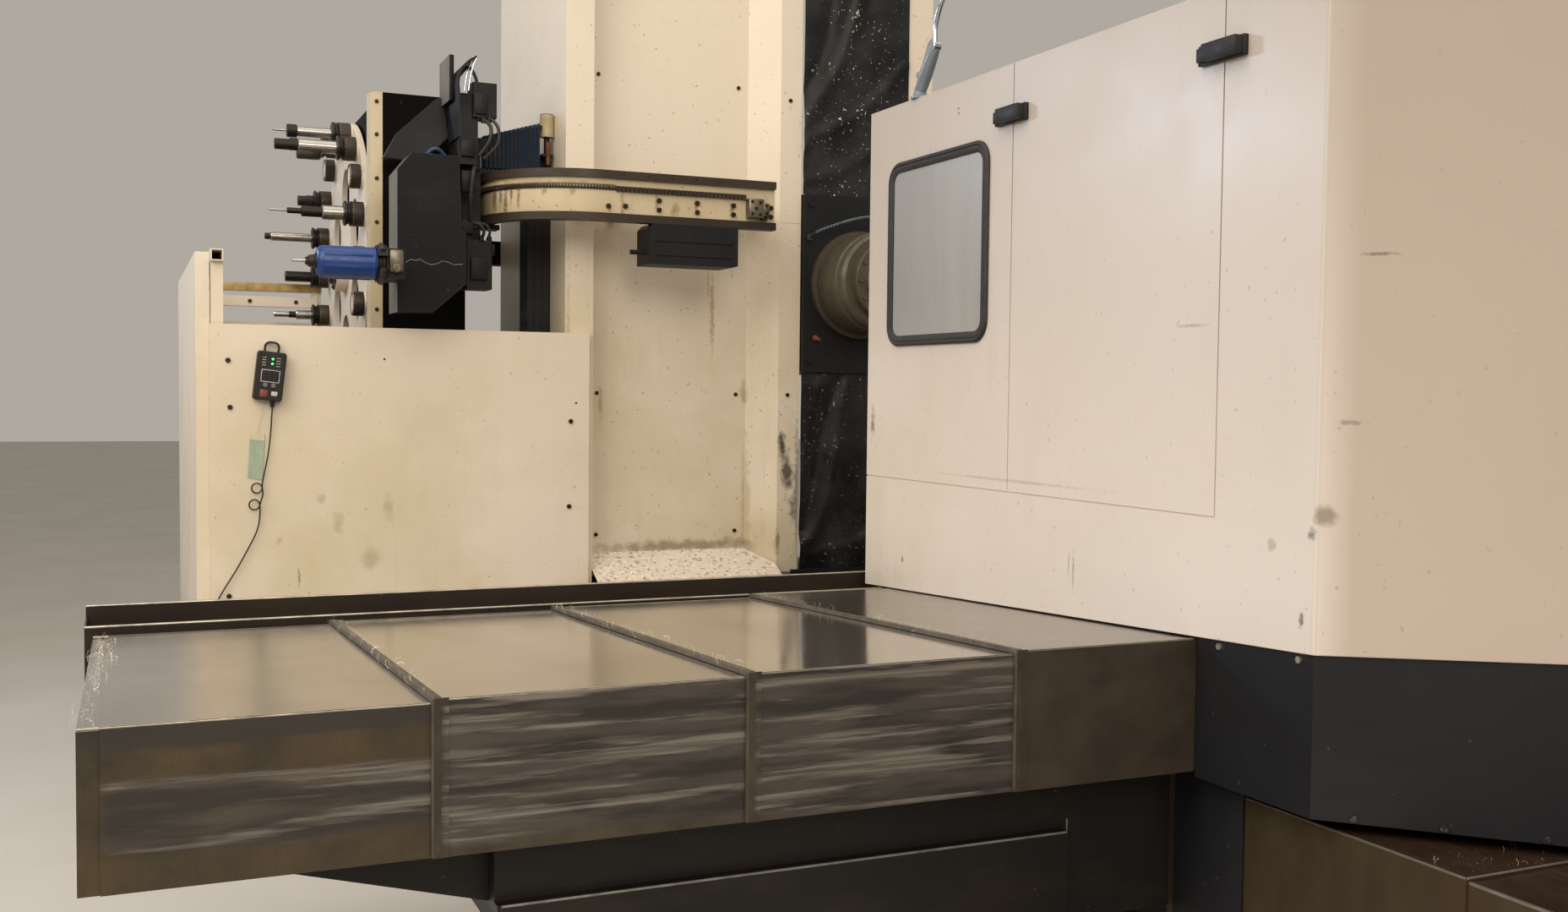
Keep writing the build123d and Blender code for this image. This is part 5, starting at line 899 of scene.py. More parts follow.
class MILL_OT_finishes(bpy.types.Operator):
    """Makes the mill's materials and puts each on the frame's own pieces"""
    bl_idname = "mill.finishes"
    bl_label = "Finishes"

    def execute(self, context):
        tone = context.scene.mill_colours
        machine_enamel("enclosure enamel", tone.enclosure, "#CBBC98", -0.55, 0.75, axis=1, film_low=0.03,
                       drips=0.45, dots=0.25, gloss=0.30, smudge=0.06, painted_shade_chamfer=0.53, painted_shade_top=0.74,
                       marks=WALL_MARKS)
        machine_enamel("door enamel", tone.doors, tone.film, 0.5, 3.0, film_low=0.05, drips=0.15, dots=0.2,
                       gloss=0.32)
        machine_enamel("column enamel", tone.column, "#C6B684", 2.45, 1.7, drips=0.45, foot=(0.75, 1.05),
                       smudge=0.12, marks=COLUMN_MARKS)
        machine_enamel("guard enamel", tone.guard, tone.film, 2.0, 0.7, film_low=0.2, drips=0.25,
                       foot=(0.35, 0.75), dots=0.3, gloss=0.4, smudge=0.12, marks=GUARD_MARKS)
        speckled_chute("chute enamel", "#DDD0BE")
        machine_enamel("rail enamel", "#D6C8A8", "#8B6A35", 2.3, 2.12, film_low=0.4, drips=1.0, dots=0.5,
                       marks=RAIL_MARKS)
        structural_paint("slate paint", tone.slate, "#2A2A2E", gloss=0.44, oil=0.15)
        structural_paint("casting paint", "#1C1A19", "#2B2825", gloss=0.4)
        structural_paint("satin black", tone.satin_black, "#27282B", gloss=0.46, oil=0.12)
        structural_paint("shadowed black", "#070707", "#131211", gloss=0.55, oil=0.08, shine=0.06)
        structural_paint("black with painted side light", tone.satin_black, "#1F2023", gloss=0.44, oil=0.1, lit_side=0.75,
                         shine=0.2)
        structural_paint("trough paint", "#261E18", "#4A3D31", gloss=0.34, oil=0.6, nicks=0.3)
        structural_paint("track black", "#2A241D", "#5B4A36", gloss=0.4, oil=0.9)
        coats = dict(COATS)
        for step, (number, *look) in enumerate(COVER_LOOKS, 1):
            scuffs, shift, low, high, left, right, polish, wash, band = look
            steel = "#7E776D" if number == "four" else tone.cover_steel
            for side, ends in (("left", left), ("right", right)):
                name = f"cover steel {number} {side}"
                polished_cover_steel(name, steel, tone.cover_film, scuffs, shift, low, high, *ends,
                                     polish, wash, band)
                coats[name] = f"x_cover_{side}_{step}"
        polished_cover_steel("cover hem steel", "#4C453C", tone.cover_film, 0, (2, 2, 2), 0, 1, 0, 1, 0.36)
        browned_cover_steel("browned cover steel", "#453928")
        turned_iron("turned snout iron", tone.snout_iron, (0.1, 6, 0.1), 0.42, 0.35, bare=0.3)
        turned_iron("bright turned steel", "#A8A297", (1, 1, 1), 0.24, 0.3)
        turned_iron("planed iron", "#77736B", (0.2, 3, 1), 0.32, 0.3)
        turned_iron("blackened steel", "#2C2824", (4, 0.2, 0.2), 0.3, 0.5, bare=0.6, feed=0.03)
        turned_iron("cast aluminium", "#877E70", (1, 1, 1), 0.36, 0.7, feed=0.08)
        moulded_plastic("blue plastic", tone.tool_blue, "#16345F", 0.3)
        moulded_plastic("chain plastic", "#2E4C6E", "#1B2836", 0.35)
        moulded_plastic("coolant beads", "#59626E", "#1D2026", 0.35)
        moulded_plastic("black plastic", "#0C0B0C", "#1B1918", 0.45)
        plain_finish("black rubber", "#1C1B1B", 0.5, mottled=0.35, dirt="#4A443C")
        plain_finish("swarfed rubber", "#4B443B", 0.55, mottled=0.5, dirt="#7A7062")
        plain_finish("oiled screws", "#2F271C", 0.36, metal=0.6, speck=2)
        # pale paint that draws a painted highlight along the saddle's ledge
        plain_finish("pale paint for painted highlight", "#8F8B86", 0.4, metal=0.3, mottled=0.6)
        plain_finish("weathered plate", "#8B867A", 0.42, mottled=0.3)
        plain_finish("knob grey", "#6F6C66", 0.4)
        heads_by_height("painted bolt heads", "#C9C6BE", "#26262A")
        plain_finish("zinc screws", "#B9B4AA", 0.3, metal=0.9, speck=2)
        plain_finish("bright fold", "#B5ADA0", 0.28, metal=0.85, speck=3, mottled=0.45)
        # the chips are near white and only half metal, so that their colour carries painted glints
        plain_finish("chips whitened with painted glints", "#F6F3EC", 0.28, metal=0.4, speck=2, mottled=0.2)
        plain_finish("toolholder steel", "#B1ADA6", 0.2, metal=0.92, speck=60, mottled=0.1)
        plain_finish("chromed tube", "#C3CBD6", 0.14, metal=1.0, speck=60, mottled=0.03)
        plain_finish("lamp enamel", "#74808C", 0.22, speck=5, mottled=0.15)
        plain_finish("green card", "#A3B7A0", 0.7, mottled=0.5, dirt="#8B8F76")
        plain_finish("cream card", "#D9CFB4", 0.7, mottled=0.2)
        plain_finish("white key", "#CFCBC2", 0.4)
        plain_finish("brown key", "#7A3E2C", 0.4)
        plain_finish("lamp glass", "#C9CCCB", 0.1, mottled=0.1)
        plain_finish("post paint", "#BFAE86", 0.45, mottled=0.4)
        plain_finish("scratched primer", "#7F7766", 0.5, mottled=0.6)
        plain_finish("yellowed rail", "#C2A468", 0.45, mottled=0.45)
        coated_cloth("curtain cloth", tone.curtain)
        hazed_pane("hazed pane")
        glowing_led("green led", "#35E06A")
        bare = set(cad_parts)
        for finish, nodes in coats.items():
            for node in nodes.split():
                bare.discard(node)
                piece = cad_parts[node]
                for place in piece.material_slots:
                    place.material = stock(finish)
                if not piece.material_slots:
                    piece.data.materials.append(stock(finish))
        if bare:
            raise RuntimeError("pieces without a finish: " + ", ".join(sorted(bare)))
        return {"FINISHED"}


class MILL_OT_curtains(bpy.types.Operator):
    """Hangs the two creased curtains above and below the head"""
    bl_idname = "mill.curtains"
    bl_label = "Curtains"

    # centre lines of the long folds, as places across and up the cloth, with the height of each fold
    UPPER_FOLDS = (
        (1.0, ((-240, 2560), (-223, 2606), (-171, 2678), (-118, 2750), (-76, 2842), (-39, 2942), (-8, 3060),
               (20, 3220), (40, 3380))),
        (0.9, ((-240, 2480), (-222, 2510), (-137, 2546), (-50, 2592), (26, 2647), (110, 2720), (200, 2830))),
        (-0.8, ((-236, 2700), (-190, 2790), (-150, 2900), (-130, 3040), (-120, 3200), (-118, 3380))),
        (0.6, ((-240, 2340), (-120, 2380), (0, 2440), (120, 2520), (215, 2620))),
    )
    LOWER_FOLDS = (
        (1.1, ((-40, 1560), (-62, 1440), (-78, 1330), (-85, 1266), (-99, 1188), (-120, 1087), (-156, 996),
               (-192, 936), (-240, 897))),
        (-1.0, ((-80, 1588), (-89, 1540), (-125, 1452), (-157, 1324), (-188, 1189), (-213, 1072),
                (-232, 960))),
        (0.6, ((-150, 1588), (-180, 1470), (-205, 1340), (-225, 1200), (-240, 1080))),
        (0.7, ((-240, 860), (-140, 872), (-20, 900), (100, 950), (215, 1020))),
        (0.7, ((150, 1588), (138, 1400), (128, 1200), (110, 1040), (70, 930), (10, 860))),
    )

    def execute(self, context):
        size = context.scene.mill_sizes
        wide, deep, crease = size.fold_width / MM, size.fold_depth / MM, size.crease_depth / MM
        across = 56
        left, right = CURTAIN_SIDES
        for name, node, low, high, folds in (
            ("curtain_upper_cloth", "curtain_upper", 2290.3, 3414, self.UPPER_FOLDS),
            ("curtain_lower_cloth", "curtain_lower", 808, 1589.7, self.LOWER_FOLDS),
        ):
            rows = round((high - low) / 9)
            mesh = bmesh.new()
            grid = []
            for row in range(rows + 1):
                z = low + (high - low) * row / rows
                line = []
                for column in range(across + 1):
                    x = left + (right - left) * column / across
                    slack = min(1, (z - low) / 45, (high - z) / 45)
                    loose = noise.noise(Vector((x / 160, 3.1, z / 210))) * crease * 1.6
                    small = noise.noise(Vector((x / 46, 1.3, z / 60))) * crease * 0.35
                    long = sum(part * self.fold_rise(x, z, path, wide) for part, path in folds) * deep
                    y = CURTAIN_PLANE + (loose + small - long) * slack
                    line.append(mesh.verts.new((x, min(max(y, CURTAIN_PLANE - 15), CURTAIN_PLANE + 15), z)))
                grid.append(line)
            web(mesh, grid)
            cut = sum(face.calc_area() for face in mesh.faces) / (right - left)
            bmesh.ops.solidify(mesh, geom=mesh.faces[:], thickness=1.5)
            fixed_end, head_end = (high, low) if node == "curtain_upper" else (low, high)
            piece = settle(name, mesh, "curtain cloth", (
                "base", "head", (0, CURTAIN_PLANE * MM, fixed_end * MM),
                (0, CURTAIN_PLANE * MM, head_end * MM),
            ), (node,), crisp=60)
        return {"FINISHED"}

    @staticmethod
    def fold_rise(x, z, path, wide):
        """Height of a soft rounded fold at a place: one on its centre line, none a width away."""
        spot = Vector((x, z))
        near = 1e9
        for first, second in zip(path, path[1:]):
            start, run = Vector(first), Vector(second) - Vector(first)
            share = min(1, max(0, (spot - start).dot(run) / run.length_squared))
            near = min(near, (spot - start - run * share).length)
        return 2.718 ** (-(near / wide) ** 2 * 1.6)


class MILL_OT_pendant(bpy.types.Operator):
    """Makes the pendant's keys and lamps, its cord with two small curls, and the card on its string"""
    bl_idname = "mill.pendant"
    bl_label = "Pendant and cord"

    def execute(self, context):
        cord_y = 2238

        def curl(centre_x, centre_z, start_y, shift):
            turns = [-2 * pi * number / 10 for number in range(11)]
            return [
                (centre_x + 17.6 * cos(turn), start_y + shift * number / 10, centre_z + 17.6 * sin(turn))
                for number, turn in enumerate(turns)
            ]

        route = [(x, cord_y, z) for x, z in (
            (-2231.6, 1440.1), (-2234, 1400), (-2237, 1357), (-2241, 1317), (-2245.5, 1282), (-2250.5, 1253),
            (-2255.5, 1229), (-2260, 1209), (-2263.4, 1192), (-2265, 1179),
        )]
        route += curl(-2282.8, 1166, cord_y, -7)
        route += [(x, cord_y - 7, z) for x, z in ((-2263.6, 1153), (-2264.4, 1139), (-2269.4, 1124))]
        route += curl(-2291, 1110, cord_y - 7, 7)
        route += [(x, cord_y, z) for x, z in (
            (-2272.4, 1097), (-2272.6, 1080), (-2274, 1058), (-2279, 1032), (-2289, 1004), (-2305, 972.5),
            (-2327.5, 929), (-2354, 881), (-2381.5, 837), (-2401.5, 803), (-2411, 780), (-2414, 764.9),
        )]
        cord = self.lead("pendant_lead", route, 2.5, "black rubber")
        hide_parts("pendant_cord")

        tilt = Matrix.Rotation(radians(6.5), 3, "Y")
        centre = Vector((-2241, 2209.7, 1546))

        def on_face(x, z, depth=0.0):
            return centre + tilt @ Vector((x, 0, z)) + Vector((0, -depth, 0))

        def pad(mesh, x, z, wide, high, depth, lift=0.0, edge=0.8):
            spot = on_face(x, z, lift + depth / 2 - 1)
            half = Vector((wide / 2, depth / 2 + 1, high / 2))
            block(mesh, spot - half, spot + half, edge, tilt)

        keys = bmesh.new()
        for row in range(3):
            for column in range(3):
                pad(keys, -16 + 18 * column, 8 - 9 * row, 12, 5.2, 1.6, 2.0)
        turned(keys, on_face(-30, 72, 0), (0, -1, 0), [(0, 6), (7, 6), (9, 4.6), (9, 0)], 16)
        for x, z in ((-40, 76), (40, 76), (-40, -76), (40, -76)):
            turned(keys, on_face(x, z, -1), (0, -1, 0), [(0, 3.2), (1.8, 3.2), (2.4, 2), (2.4, 0)], 10)
        settle("pendant_keys", keys, "black plastic", "base")
        red_key = bmesh.new()
        pad(red_key, -14, -60, 26, 25, 2.6, 1.0, 1.4)
        settle("pendant_stop_key", red_key, "brown key", "base")
        pale = bmesh.new()
        pad(pale, 20, -58, 20, 15, 2.2, 1.0, 1.2)
        for z in (20, -20):
            pad(pale, 1, z, 58, 2.0, 0.7, 2.2, 0.2)
        for x in (-28, 30):
            pad(pale, x, 0, 2.0, 40, 0.7, 2.2, 0.2)
        for row in range(4):
            pad(pale, -24, 62 - 9 * row, 12, 1.8, 0.7, 2.2, 0.2)
            pad(pale, 22, 62 - 9 * row, 14, 1.8, 0.7, 2.2, 0.2)
        settle("pendant_pale_keys", pale, "white key", "base")
        lamps = bmesh.new()
        for z in (58, 42):
            turned(lamps, on_face(3, z, 1), (0, -1, 0), [(0, 4.2), (3.4, 4.2), (4.6, 2.8), (5, 0)], 12)
        settle("pendant_lamps", lamps, "green led", "base")
        knobs = bmesh.new()
        for x in (-12, 14):
            turned(knobs, on_face(x, -31, 0), (0, -1, 0), [(0, 8), (6, 8), (8, 6.5), (8, 0)], 18)
        settle("pendant_knobs", knobs, "knob grey", "base")
        gland = bmesh.new()
        turned(gland, (-2231.6, cord_y, 1462), (0, 0, -1), [
            (0, 8.5), (6, 8.5), (7, 7.4), (9, 7.4), (10, 6.6), (12, 6.6), (13, 5.6), (16, 5.4), (21, 3.6),
            (21.5, 2.6),
        ], 14)
        settle("pendant_gland", gland, "black rubber", "base")

        card = bmesh.new()
        outline = [(-2303, 1331), (-2257, 1327), (-2263, 1193), (-2311, 1202)]
        self.paper(card, outline, 2246.2)
        tag = settle("tag_card", card, "green card", "base", crisp=50)
        head = bmesh.new()
        self.paper(head, [(-2302, 1354), (-2256.5, 1351), (-2257.5, 1327), (-2303.3, 1331)], 2246.0)
        top = settle("tag_card_head", head, "cream card", "base", crisp=50)
        # the string goes on down the card's back, where it holds the card along its length
        string = self.lead("tag_string", [
            (-2262, 2243, 1461), (-2265, 2242.5, 1435), (-2271, 2243.5, 1400), (-2277, 2245, 1370),
            (-2280, 2247.6, 1347), (-2281, 2248.4, 1330), (-2284, 2248.4, 1270), (-2286, 2248.4, 1205),
        ], 0.8, "cream card")
        return {"FINISHED"}

    @staticmethod
    def lead(name, points, radius, finish):
        """A round lead on one smooth line past its points."""
        data = bpy.data.curves.new(name, "CURVE")
        data.dimensions = "3D"
        line = data.splines.new("NURBS")
        line.points.add(len(points) - 1)
        for spot, point in zip(line.points, points):
            spot.co = (*(Vector(point) * MM), 1)
        line.order_u = 3
        line.use_endpoint_u = True
        data.resolution_u = 6
        data.bevel_depth = radius * MM
        data.bevel_resolution = 3
        data.use_fill_caps = True
        data.materials.append(stock(finish))
        piece = show(name, data)
        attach(piece, "base")
        return piece

    @staticmethod
    def paper(mesh, corners, y):
        """A card between four corners, a little warped, 0.5 mm thick."""
        steps = 8
        a, b, c, d = [Vector((x, y, z)) for x, z in corners]
        rows = []
        for row in range(steps + 1):
            line = []
            for column in range(steps + 1):
                u, v = column / steps, row / steps
                spot = (a * (1 - u) + b * u) * (1 - v) + (d * (1 - u) + c * u) * v
                spot.y += 1.6 * sin(pi * u) * v + noise.noise(spot / 40) * 0.8
                line.append(mesh.verts.new(spot))
            rows.append(line)
        web(mesh, rows)
        bmesh.ops.solidify(mesh, geom=mesh.faces[:], thickness=0.5)


class MILL_OT_chain(bpy.types.Operator):
    """Makes the ribbed cable chain between the carriage's mast and the post"""
    bl_idname = "mill.chain"
    bl_label = "Cable chain"

    def execute(self, context):
        post = (-1.262, 2.44, 2.3)
        mast = (-1.53, 2.44, 2.3)
        across = ("base", "tool_changer", post, mast)
        made = grow(rib_tree(), strip_mesh(), {
            "Start": (-1.4685, 2.44, 2.322), "End": (-1.267, 2.44, 2.322), "Count": 14,
            "Thickness": 0.0085, "Depth": 0.076, "First height": 0.1212, "Height step": 0.00465,
            "Material": stock("chain plastic"),
        })
        place_mesh("chain_ribs", made, "chain plastic", across, ("cable_chain",))
        core = bmesh.new()
        slab(core, [(-1470, 2328), (-1470, 2434), (-1262, 2494), (-1262, 2328)], 1, 2412, 2468)
        block(core, (-1529.5, 2402, 2372), (-1466, 2416, 2432), 2)
        block(core, (-1529.5, 2402, 2322), (-1500, 2440, 2366), 2)
        settle("chain_core", core, "satin black", across)
        sleeve = bmesh.new()
        turned(sleeve, (-1229, 2440, 2459), (0, 0, 1),
               [(0, 25.2), (0, 26.5), (81, 26.5), (84, 24), (84.5, 0)], 24)
        settle("cable_post_sleeve", sleeve, "post paint", "base")
        leads = bmesh.new()
        for x, y in ((-1297, 2452), (-1284, 2462), (-1270, 2455), (-1255, 2466)):
            pipe(leads, bend([(x, y, 2488 + 0.3 * (x + 1262)), (x + 2, y + 14, 2440), (x + 6, y + 22, 2390),
                              (x + 8, 2500, 2345)]), 5.5, 8)
        block(leads, (-1196, 2426, 2449), (-1170, 2462, 2497), 3)
        settle("post_leads", leads, "satin black", "base")
        clip = bmesh.new()
        turned(clip, (-1226, 2432, 2440), (0, 0, -1),
               [(0, 0), (0, 11), (30, 11), (34, 9), (60, 9), (84, 7), (84, 0)], 14)
        settle("post_clamp", clip, "brown key", "base")
        return {"FINISHED"}


class MILL_OT_covers(bpy.types.Operator):
    """Fits wiper lips, bright folds and screws to the way covers and the chip trough"""
    bl_idname = "mill.covers"
    bl_label = "Way cover trim"

    def execute(self, context):
        size = context.scene.mill_sizes
        width, fold = size.lip_width / MM, size.fold_radius / MM
        screws = screw_tree()
        bodies = {
            "left": ("saddle", "x_cover_left_2", "x_cover_left_3", "table_slide"),
            "right": ("saddle", "x_cover_right_2", "x_cover_right_3", "table_slide"),
        }
        right_edges = (2729, 2545, 2336, 2123)
        ends = {"left": (-1829, -1335, -781, WALL_X), "right": (1829, 1645, 1436, WALL_RIGHT_X)}
        for side, direction in (("left", 1), ("right", -1)):
            edges = COVER_EDGES if side == "left" else right_edges
            for step in range(4):
                body = bodies[side][step]
                edge = edges[step] if step else direction * COVER_END
                near = COVER_NEAR - COVER_STEP_OUT * step
                far = COVER_FAR + COVER_STEP_OUT * step
                top = COVER_TOP + COVER_STEP_UP * step
                folds = bmesh.new()
                start, end = sorted((edge, ends[side][step]))
                for y, z in ((near + fold - 0.4, top - fold + 0.4),
                             (far - fold + 0.4, top - COVER_DROP - fold + 0.4)):
                    pipe(folds, [(start + 0.5, y, z), (end - 0.5, y, z)], fold, 12)
                settle(f"cover_folds_{side}_{step + 1}", folds, "bright fold", body)
                if step == 0:
                    continue
                # the rubber lip stands at the very edge, with its steel clamp behind it
                lip = bmesh.new()
                start, end = sorted((edge - direction * 2.5, edge + direction * 1))
                self.wrap(lip, near, far, top, 4.2, 4.4, start, end)
                settle(f"wiper_lip_{side}_{step + 1}", lip, "swarfed rubber", body)
                clamp = bmesh.new()
                start, end = sorted((edge + direction * 0.6, edge + direction * width))
                self.wrap(clamp, near, far, top, 3.2, 3.4, start, end)
                settle(f"wiper_clamp_{side}_{step + 1}", clamp, "cover hem steel", body)
        for side, direction in (("left", -1), ("right", 1)):
            x = direction * 2700
            row = grow(screws, strip_mesh(), {
                "Start": (x * MM, -0.62, (cover_z(-620) - 0.48) * MM),
                "End": (x * MM, 0.60, (cover_z(600) - 0.48) * MM),
                "Count": size.strip_screws, "Radius": size.screw_radius, "Height": 0.0005,
                "Facing": (0, 0.05, 1), "Material": stock("zinc screws"),
            })
            place_mesh(f"strip_screws_{side}", row, "zinc screws", "saddle")
        # painted apron over the first bed cover, next to the saddle
        apron = bmesh.new()
        block(apron, (BED_SIDE_X - 8, -765, 338), (BED_SIDE_X - 0.5, -556, 727), 2)
        settle("saddle_apron", apron, "slate paint", "saddle")
        # a pale bead along the saddle's ledge: a painted highlight on its upper edge
        ledge = bmesh.new()
        ledge_line = ((-2098, 561), (-2098, 612), (-922, 612), (-922, 640))
        pipe(ledge, [(x, -554.5, z) for x, z in ledge_line], 2.6, 8)
        settle("saddle_ledge_highlight", ledge, "pale paint for painted highlight", "saddle")
        # folded edges of the trough and of the bed covers
        hem = bmesh.new()
        # the trough's hems are rounded like folds and drawn in bright steel on its dark paint: a painted
        # highlight along its top edges
        pipe(hem, [(-2780, 706.5, 948), (2780, 706.5, 948)], 3.4, 12)
        pipe(hem, [(-2780, 872, 975), (2780, 872, 975)], 3.4, 12)
        settle("trough_hem", hem, "bright fold", "saddle")
        for name, body, step, near, far in (
            ("front_1", "saddle", 0, -1300, -530), ("front_2", "z_cover_front_2", 1, -1600, -1300),
            ("front_3", "base", 2, -1900, -1600), ("rear_1", "saddle", 0, 530, 1290),
            ("rear_2", "z_cover_rear_2", 1, 1290, 1870), ("rear_3", "base", 2, 1870, 2450),
        ):
            trim = bmesh.new()
            half = 640 - 5 * step
            top = 710 - 6 * step
            lip_y = near if near < 0 else far
            for side in (-1, 1):
                if step == 0:
                    pipe(trim, [(side * (half - 2), near + 1, top - 2),
                                (side * (half - 2), far - 1, top - 2)], 2.6, 10)
                else:
                    # worn bright along the fold, and flush, because the lip of the next section passes over
                    x = sorted((side * (half - 5), side * (half + 0.2)))
                    block(trim, (x[0], near + 1, top - 5), (x[1], far - 1, top + 0.2))
            if not name.endswith("3"):
                pipe(trim, [(-half + 1, lip_y, top - 1), (half - 1, lip_y, top - 1)], 2.4, 10)
            settle(f"bed_cover_trim_{name}", trim, "bright fold", body)
        return {"FINISHED"}

    @staticmethod
    def wrap(mesh, near, far, top, beside, above, start, end):
        """A band round a cover's near side, top and far side, standing proud by the amounts given."""
        outer = [
            (near - beside, COVER_BOTTOM + 2), (near - beside, top + 1), (near - 1, top + above),
            (far + 1, top - COVER_DROP + above), (far + beside, top - COVER_DROP + 1),
            (far + beside, COVER_BOTTOM + 2),
        ]
        inner = [
            (near + 3.2, COVER_BOTTOM + 2), (near + 3.2, top - 4.6), (far - 3.2, top - COVER_DROP - 4.6),
            (far - 3.2, COVER_BOTTOM + 2),
        ]
        section = outer + inner[::-1]
        rows = [[mesh.verts.new((x, y, z)) for y, z in section] for x in (start, end)]
        skin(mesh, rows, ends=False)
        for line in rows:
            for run in ((0, 1, 2, 8, 9), (2, 3, 7, 8), (3, 4, 5, 6, 7)):
                mesh.faces.new([line[place] for place in run])


class MILL_OT_head(bpy.types.Operator):
    """Fits the jointed coolant line and its nozzle beside the spindle"""
    bl_idname = "mill.head"
    bl_label = "Head fittings"

    def execute(self, context):
        line = bend([
            (-222, 2244, 2118), (-206, 2200, 2140), (-141, 2180, 2167), (-64, 2172, 2192), (7, 2150, 2204),
            (60, 2080, 2196), (96, 2010, 2168),
        ], 12)
        beads = bmesh.new()
        for number in range(10, len(line) - 2, 2):
            along = line[number + 1] - line[number]
            reach = along.length * 2
            turned(beads, line[number], along, [
                (0, 0), (0, 4.4), (reach * 0.2, 6.4), (reach * 0.7, 6.4), (reach, 4.4), (reach, 0),
            ], 12)
        settle("coolant_line", beads, "coolant beads", "head")
        root = bmesh.new()
        pipe(root, line[:30], 5.6, 12)
        turned(root, line[0] + Vector((0, 4, 0)), (0, -1, 0),
               [(0, 0), (0, 15), (10, 15), (14, 11), (14, 0)], 6)
        settle("coolant_root", root, "black rubber", "head")
        nozzle = bmesh.new()
        turned(nozzle, (-192, 2250.5, 1726), (0.2, -1, -0.2),
               [(0, 0), (0, 12), (12, 12), (14, 9), (34, 6), (34, 0)], 14)
        settle("coolant_nozzle", nozzle, "brown key", "head")
        return {"FINISHED"}


class MILL_OT_chips(bpy.types.Operator):
    """Strews curled chips where the machine has gathered them"""
    bl_idname = "mill.chips"
    bl_label = "Chips"

    def execute(self, context):
        size = context.scene.mill_sizes
        tree = chip_tree()

        def across(x0, x1, y0, y1, step, lift=0.0):
            return (
                (x0, y0, cover_z(y0, step) + lift), (x1, y0, cover_z(y0, step) + lift),
                (x1, y1, cover_z(y1, step) + lift), (x0, y1, cover_z(y1, step) + lift),
            )

        heaps = [
            ("chips_end_strip", "saddle", 4200, 1.35, 5, [
                across(-2758, -2728, -200, 640, 0), across(-2762, -2744, -640, -100, 0),
                across(-2740, -2710, 80, 560, 0),
            ]),
            ("chips_lip_2", "x_cover_left_2", 4200, 1.3, 6, [across(-2240, -2219, -600, 650, 1, 5.2)]),
            ("chips_lip_3", "x_cover_left_3", 6000, 1.3, 7, [across(-1687, -1666, -620, 655, 2, 5.2)]),
            ("chips_lip_4", "table_slide", 3500, 1.2, 8, [across(-1128, -1108, -560, 655, 3, 5.2)]),
            ("chips_chute", "base", 14000, 0.9, 9, [
                ((-1088, 2204, 801), (-352, 2204, 801), (-440, 2366, 888), (-1088, 2366, 888)),
            ]),
            ("chips_bed_cover", "saddle", 1500, 0.9, 10, [
                ((-636, -1296, 711), (60, -1296, 711), (60, -1200, 711), (-636, -1200, 711)),
            ]),
            ("chips_bed_lip", "z_cover_front_2", 1500, 0.9, 12, [
                ((-630, -1600, 705), (400, -1600, 705), (400, -1480, 705), (-630, -1480, 705)),
            ]),
            ("chips_trough", "saddle", 1500, 1.2, 13, [
                ((-2760, 715, 727), (900, 715, 727), (900, 865, 727), (-2760, 865, 727)),
            ]),
        ]
        for name, body, density, scale, seed, quads in heaps:
            made = grow(tree, strip_mesh([corner for quad in quads for corner in quad]), {
                "Density": float(density), "Chip curl": size.chip_curl * scale,
                "Chip width": size.chip_width * scale, "Lift": 0.002, "Seed": seed,
                "Material": stock("chips whitened with painted glints"),
            })
            place_mesh(name, made, "chips whitened with painted glints", body)
        return {"FINISHED"}


